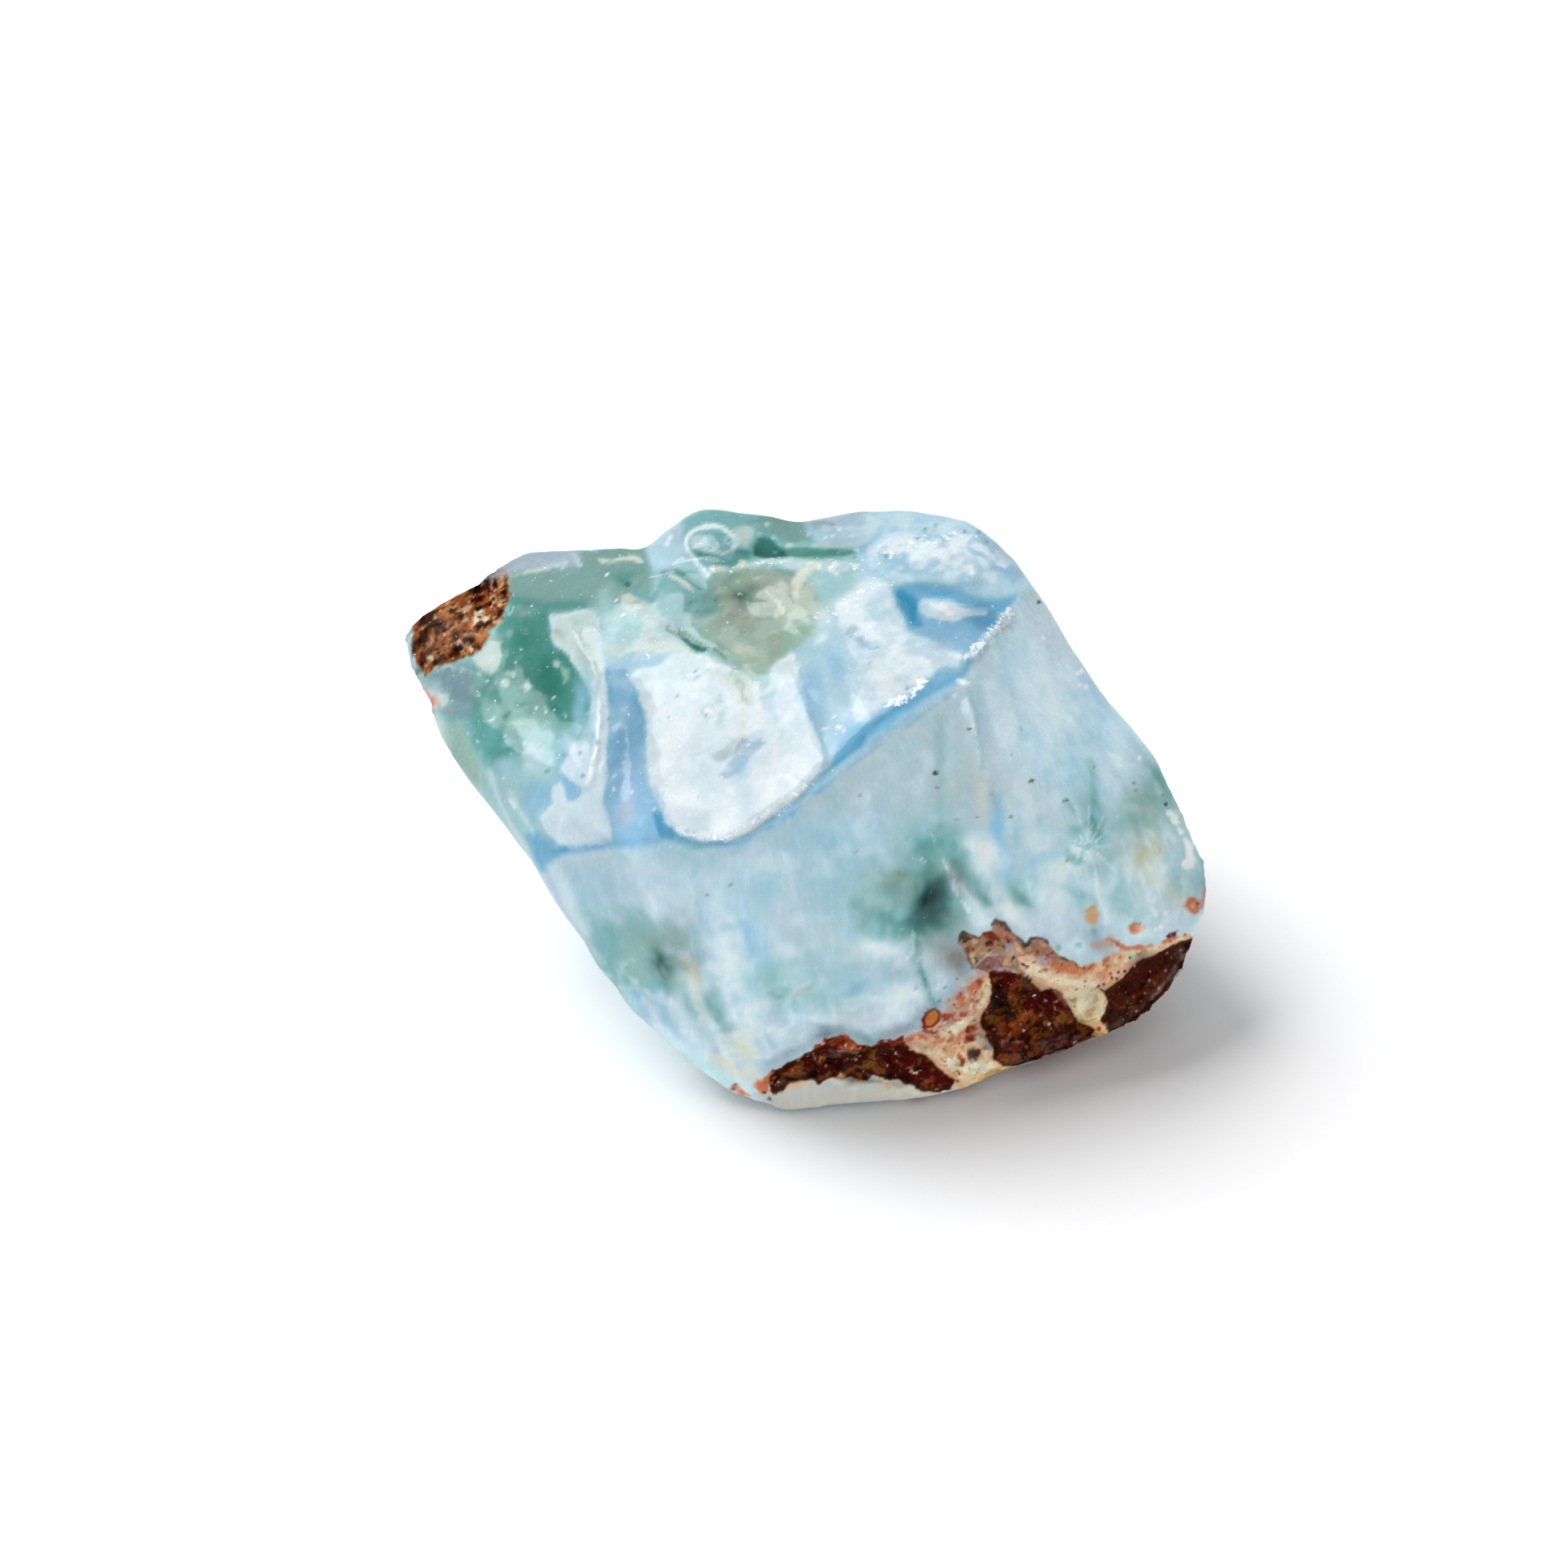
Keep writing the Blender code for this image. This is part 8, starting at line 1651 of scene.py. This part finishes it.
# The sides that the viewer doesn't see carry the same stone's own pattern:
# cells with blue middles and white borders, greenish clouds and chalky bloom,
# and the host rock goes on under the lower edge and behind the left end.
hidden = 1.0 - eased((normal * sight_of(place)).sum(axis=1), -0.5, -0.1)
turned = place + 1.3 * np.stack([cloud(place, 2.6, seed) for seed in (21, 22, 23)], axis=1)
near_cells = np.array([noise.voronoi(Vector(p) / 5.6)[0][:2] for p in turned])
border = near_cells[:, 1] - near_cells[:, 0]
broad, middle_cloud, fine_cloud = (cloud(place, size, seed) for size, seed in ((9.0, 24), (3.6, 25), (1.1, 26)))
lay("sky", hidden)
lay("aqua", hidden * eased(broad, -0.05, 0.3))
lay("blue", hidden * 0.75 * eased(border, 0.2, 0.55) * eased(middle_cloud, -0.35, 0.2))
lay("azure", hidden * 0.5 * eased(border, 0.45, 0.8) * eased(-broad, -0.2, 0.2))
lay("white", hidden * 0.85 * (1.0 - eased(border + 0.25 * fine_cloud, 0.03, 0.22)))
lay("ice", hidden * 0.55 * eased(middle_cloud, 0.1, 0.4))
lay("sage", hidden * 0.6 * eased(-middle_cloud + 0.3 * broad, 0.2, 0.42))
lay("snow", hidden * 0.4 * eased(fine_cloud + 0.5 * middle_cloud, 0.25, 0.5))
rock_seams = []
for reach, middle in ((5.2, (17.0, 4.0, 2.0)), (4.2, (8.0, -9.0, -1.0)), (3.6, (-22.5, 12.0, 15.0)), (4.0, (20.2, -5.2, 2.2)), (3.2, (15.0, -8.0, 0.0))):
    rock_seams.append(1.0 - np.linalg.norm(turned - np.array(middle), axis=1) / reach)
hidden_rock = hidden * eased(np.maximum.reduce(rock_seams) + 0.35 * fine_cloud, 0.0, 0.12)
lay("peach", hidden * eased(np.maximum.reduce(rock_seams) + 0.35 * fine_cloud, -0.12, 0.04))
lay("brown", hidden_rock * 0.95)
lay("rust", hidden_rock * 0.8 * eased(fine_cloud, 0.1, 0.35))
lay("ochre", hidden_rock * 0.7 * eased(-middle_cloud, 0.1, 0.35))
lay("stone grey", hidden_rock * 0.5 * eased(middle_cloud, 0.2, 0.4))
rock_cover = hidden_rock
for outline, cover in ((PATCH, 0.5), (BAND, 0.45), (VEIN, 0.25), (CAVITY, 0.45), (LOBES, 0.3), (CREAM, 0.2), (LOBE, 0.3)):
    inside = (1.0 - hidden) * eased(depth_inside(u, v, outline), -0.15, 0.15)
    rock_cover = rock_cover + (cover - rock_cover) * inside

# The blue mineral's deep places are deeper and its pale ones paler.
LARIMAR_MIDDLE = np.array([0.72, 0.82, 0.87])
from_middle = (colour - LARIMAR_MIDDLE) * (1.0 - eased(rock_cover, 0.0, 0.1))[:, None]
colour = np.clip(colour + np.where(from_middle < 0.0, 0.11, 0.03) * from_middle, 0.0, 1.0)

# The key light comes from the upper left, and the low parts get less of the
# room's light, so the colour that the eye reads on a broad face is not the
# stone's own: this takes the light out again. Small shapes keep their shading.
TOWARDS_LIGHT = np.array([-0.52, 0.27, 0.81])
light = 0.587 + 0.509 * np.clip(broad_normal @ TOWARDS_LIGHT, 0.0, 1.0) + 0.264 * eased(place[:, 2], 0.0, 7.0)
light += broad_normal @ np.array([-0.24, 0.089, 0.063])
light = np.clip(light, 0.45, 1.5)
linear = np.where(colour > 0.04045, ((colour + 0.055) / 1.055) ** 2.4, colour / 12.92)
linear /= light[:, None]
tint = stone_mesh.attributes.new("tint", "FLOAT_COLOR", "POINT")
tint.data.foreach_set("color", np.concatenate([np.clip(linear, 0.0, 1.0), np.ones((len(place), 1))], axis=1).ravel())
for name, mask in (("rock", rock_cover), ("chalk", chalk)):
    stone_mesh.attributes.new(name, "FLOAT", "POINT").data.foreach_set("value", mask)

put_back(stone_mesh, (place - np.array(MIDDLE_OF_STONE)) * MM)
stone_mesh.name = "larimar_rough"
stone_mesh.shade_smooth()
stone = bpy.data.objects.new("larimar_rough", stone_mesh)
bpy.context.scene.collection.objects.link(stone)


# THE STONE'S FINISH
# Broken pectolite has a wet, satin look and a fine fibrous grain, and crumbles
# to white along its edges. The host rock is made of small grains with dark gaps.
def new_node(tree, kind, **settings):
    node = tree.nodes.new(kind)
    for key, value in settings.items():
        setattr(node, key, value)
    return node


def ranged(tree, source, low, high, to_low, to_high):
    """A value, moved from one range to another."""
    node = new_node(tree, "ShaderNodeMapRange")
    tree.links.new(source, node.inputs["Value"])
    for name, value in (("From Min", low), ("From Max", high), ("To Min", to_low), ("To Max", to_high)):
        node.inputs[name].default_value = value
    return node.outputs["Result"]


def worked_out(tree, operation, first, second):
    """Two values added, multiplied or the like; either can be a plain number."""
    node = new_node(tree, "ShaderNodeMath", operation=operation)
    for socket, given in zip(node.inputs, (first, second)):
        if isinstance(given, (int, float)):
            socket.default_value = given
        else:
            tree.links.new(given, socket)
    return node.outputs[0]


def shaded(tree, colour, lightness):
    """A colour, made lighter or darker."""
    node = new_node(tree, "ShaderNodeVectorMath", operation="SCALE")
    tree.links.new(colour, node.inputs[0])
    tree.links.new(lightness, node.inputs["Scale"])
    return node.outputs["Vector"]


def noise_of(tree, where, scale, detail, rough=0.6):
    """Cloudy noise, from about 0.25 to 0.75."""
    node = new_node(tree, "ShaderNodeTexNoise")
    node.inputs["Scale"].default_value = scale
    node.inputs["Detail"].default_value = detail
    node.inputs["Roughness"].default_value = rough
    tree.links.new(where, node.inputs["Vector"])
    return node.outputs["Fac"]


def new_group(name, inputs, outputs):
    group = bpy.data.node_groups.new(name, "ShaderNodeTree")
    for way, sockets in (("INPUT", inputs), ("OUTPUT", outputs)):
        for socket, kind in sockets.items():
            group.interface.new_socket(socket, in_out=way, socket_type="NodeSocket" + kind)
    return group, new_node(group, "NodeGroupInput").outputs, new_node(group, "NodeGroupOutput").inputs


def silky_group():
    """A colour with soft mottling and fine fibres that run down the front face."""
    group, given, result = new_group("silky", {"Colour": "Color"}, {"Colour": "Color", "Height": "Float"})
    where = new_node(group, "ShaderNodeTexCoord").outputs["Object"]
    along = new_node(group, "ShaderNodeMapping")
    along.inputs["Rotation"].default_value = (-LOOK_DOWN, 0.12, 0.0)
    along.inputs["Scale"].default_value = (1.0, 1.0, 0.16)
    group.links.new(where, along.inputs["Vector"])
    mottling = ranged(group, noise_of(group, where, 700.0, 4.0), 0.25, 0.75, -0.035, 0.035)
    fibre = ranged(group, noise_of(group, along.outputs["Vector"], 3600.0, 3.0), 0.25, 0.75, -0.04, 0.04)
    crumb = noise_of(group, where, 5200.0, 3.0)
    both = worked_out(group, "ADD", mottling, fibre)
    both = worked_out(group, "ADD", both, ranged(group, crumb, 0.25, 0.75, 0.98, 1.02))
    wisps = noise_of(group, along.outputs["Vector"], 1500.0, 5.0)
    whiter = new_node(group, "ShaderNodeMix", data_type="RGBA")
    group.links.new(ranged(group, wisps, 0.52, 0.72, 0.0, 0.3), whiter.inputs["Factor"])
    group.links.new(given["Colour"], whiter.inputs[6])
    group.links.new(shaded(group, given["Colour"], ranged(group, wisps, 0.3, 0.5, 1.25, 1.35)), whiter.inputs[7])
    group.links.new(shaded(group, whiter.outputs[2], both), result["Colour"])
    group.links.new(worked_out(group, "ADD", crumb, worked_out(group, "MULTIPLY", fibre, 3.0)), result["Height"])
    return group


def grains_group():
    """A colour broken into grains of their own lightness, with dark gaps."""
    group, given, result = new_group("grains", {"Colour": "Color", "Cover": "Float"},
                                     {"Colour": "Color", "Height": "Float"})
    where = new_node(group, "ShaderNodeTexCoord").outputs["Object"]
    bent = new_node(group, "ShaderNodeVectorMath", operation="MULTIPLY_ADD")
    ripple = new_node(group, "ShaderNodeTexNoise")
    ripple.inputs["Scale"].default_value = 1500.0
    ripple.inputs["Detail"].default_value = 3.0
    group.links.new(where, ripple.inputs["Vector"])
    group.links.new(ripple.outputs["Color"], bent.inputs[0])
    bent.inputs[1].default_value = (0.0006, 0.0006, 0.0006)
    group.links.new(where, bent.inputs[2])
    lightness, height = None, None
    for scale, contrast in ((1100.0, 0.4), (3200.0, 0.3)):
        cells = new_node(group, "ShaderNodeTexVoronoi")
        gaps = new_node(group, "ShaderNodeTexVoronoi", feature="DISTANCE_TO_EDGE")
        for pattern in (cells, gaps):
            pattern.inputs["Scale"].default_value = scale
            group.links.new(bent.outputs["Vector"], pattern.inputs["Vector"])
        own = new_node(group, "ShaderNodeSeparateColor")
        group.links.new(cells.outputs["Color"], own.inputs["Color"])
        grain = ranged(group, own.outputs["Red"], 0.0, 1.0, 1.0 - contrast, 1.0 + contrast)
        gap = ranged(group, gaps.outputs["Distance"], 0.0, 0.16, 1.0 - contrast, 1.0 + 0.3 * contrast)
        level = worked_out(group, "MULTIPLY", grain, gap)
        lightness = level if lightness is None else worked_out(group, "MULTIPLY", lightness, level)
        height = gap if height is None else worked_out(group, "ADD", height, gap)
    change = worked_out(group, "MULTIPLY", worked_out(group, "SUBTRACT", lightness, 1.0), given["Cover"])
    group.links.new(shaded(group, given["Colour"], worked_out(group, "ADD", change, 1.0)), result["Colour"])
    group.links.new(worked_out(group, "MULTIPLY", height, given["Cover"]), result["Height"])
    return group


def attribute(tree, name):
    return new_node(tree, "ShaderNodeAttribute", attribute_name=name).outputs


larimar = bpy.data.materials.new("larimar")
larimar.use_nodes = True
tree = larimar.node_tree
surface = tree.nodes["Principled BSDF"]
rock_here = attribute(tree, "rock")["Fac"]
silky = new_node(tree, "ShaderNodeGroup", node_tree=silky_group())
tree.links.new(attribute(tree, "tint")["Color"], silky.inputs["Colour"])
grains = new_node(tree, "ShaderNodeGroup", node_tree=grains_group())
tree.links.new(silky.outputs["Colour"], grains.inputs["Colour"])
tree.links.new(rock_here, grains.inputs["Cover"])

where = new_node(tree, "ShaderNodeTexCoord").outputs["Object"]
crumbs = worked_out(tree, "ADD", attribute(tree, "chalk")["Fac"],
                    ranged(tree, noise_of(tree, where, 2600.0, 5.0, 0.7), 0.25, 0.75, -0.75, 0.75))
chalk_cover = ranged(tree, crumbs, 0.45, 0.6, 0.0, 0.9)
chalked = new_node(tree, "ShaderNodeMix", data_type="RGBA")
tree.links.new(chalk_cover, chalked.inputs["Factor"])
tree.links.new(grains.outputs["Colour"], chalked.inputs[6])
chalked.inputs[7].default_value = (0.8, 0.86, 0.9, 1.0)
tree.links.new(chalked.outputs[2], surface.inputs["Base Color"])

rough = worked_out(tree, "ADD", ranged(tree, rock_here, 0.0, 1.0, 0.34, 0.27), worked_out(tree, "MULTIPLY", chalk_cover, 0.3))
tree.links.new(rough, surface.inputs["Roughness"])
height = worked_out(tree, "ADD", worked_out(tree, "MULTIPLY", silky.outputs["Height"], 0.5), grains.outputs["Height"])
height = worked_out(tree, "ADD", height, chalk_cover)
bump = new_node(tree, "ShaderNodeBump")
bump.inputs["Strength"].default_value = 0.35
bump.inputs["Distance"].default_value = 0.00012
tree.links.new(height, bump.inputs["Height"])
tree.links.new(bump.outputs["Normal"], surface.inputs["Normal"])
surface.inputs["Specular IOR Level"].default_value = 0.0
surface.inputs["Coat Roughness"].default_value = 0.14
tree.links.new(ranged(tree, rock_here, 0.0, 0.3, 0.35, 0.03), surface.inputs["Coat Weight"])
surface.inputs["Subsurface Weight"].default_value = 0.0

stone_mesh.materials.clear()
stone_mesh.materials.append(larimar)
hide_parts("larimar_stone")
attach(stone, "root")


# THE TABLE
# A plain pale floor, wide enough to fill the view.
floor_form = bmesh.new()
bmesh.ops.create_grid(floor_form, x_segments=1, y_segments=1, size=3.0)
floor_mesh = bpy.data.meshes.new("floor")
floor_form.to_mesh(floor_mesh)
floor_form.free()
floor = bpy.data.objects.new("floor", floor_mesh)
bpy.context.scene.collection.objects.link(floor)
paper = bpy.data.materials.new("white paper")
paper.use_nodes = True
paper_surface = paper.node_tree.nodes["Principled BSDF"]
paper_surface.inputs["Base Color"].default_value = (0.86, 0.86, 0.87, 1.0)
paper_surface.inputs["Roughness"].default_value = 0.9
paper_surface.inputs["Specular IOR Level"].default_value = 0.1
floor_mesh.materials.append(paper)


# LIGHT AND CAMERA
# One broad soft light over the back left, a white room around, and a long
# lens that looks down on the stone.
def soft_light(name, where, towards, size, power, tint=(1.0, 1.0, 1.0)):
    lamp = bpy.data.lights.new(name, "AREA")
    lamp.shape = "DISK"
    lamp.size = size
    lamp.energy = power
    lamp.color = tint
    holder = bpy.data.objects.new(name, lamp)
    holder.location = where
    holder.rotation_euler = (Vector(towards) - Vector(where)).to_track_quat("-Z", "Y").to_euler()
    bpy.context.scene.collection.objects.link(holder)


KEY_LIGHT = (-0.37, 0.19, 0.58)
soft_light("key light", KEY_LIGHT, (0.0, 0.0, 0.01), 0.45, 5.5)

room = bpy.data.worlds.new("white room")
room.use_nodes = True
room.node_tree.nodes["Background"].inputs["Color"].default_value = (1.0, 1.0, 1.0, 1.0)
room.node_tree.nodes["Background"].inputs["Strength"].default_value = 0.55
bpy.context.scene.world = room

PICTURE_WIDTH_AT_STONE = 96.6
SENSOR_WIDTH = 36.0
camera_data = bpy.data.cameras.new("camera")
camera_data.sensor_width = SENSOR_WIDTH
camera_data.lens = SENSOR_WIDTH * EYE_DISTANCE / PICTURE_WIDTH_AT_STONE
camera_data.shift_x = -0.0176
camera_data.shift_y = 0.0176
camera_data.clip_start = 0.01
camera = bpy.data.objects.new("camera", camera_data)
eye_height = EYE_DISTANCE * math.sin(LOOK_DOWN) + HEIGHT_OF_MIDDLE
eye_place = np.array([0.0, -EYE_DISTANCE * math.cos(LOOK_DOWN), eye_height])
camera.location = (eye_place - np.array(MIDDLE_OF_STONE)) * MM
camera.rotation_euler = (math.pi / 2.0 - LOOK_DOWN, 0.0, 0.0)
bpy.context.scene.collection.objects.link(camera)
bpy.context.scene.camera = camera
bpy.context.scene.view_settings.view_transform = "Standard"
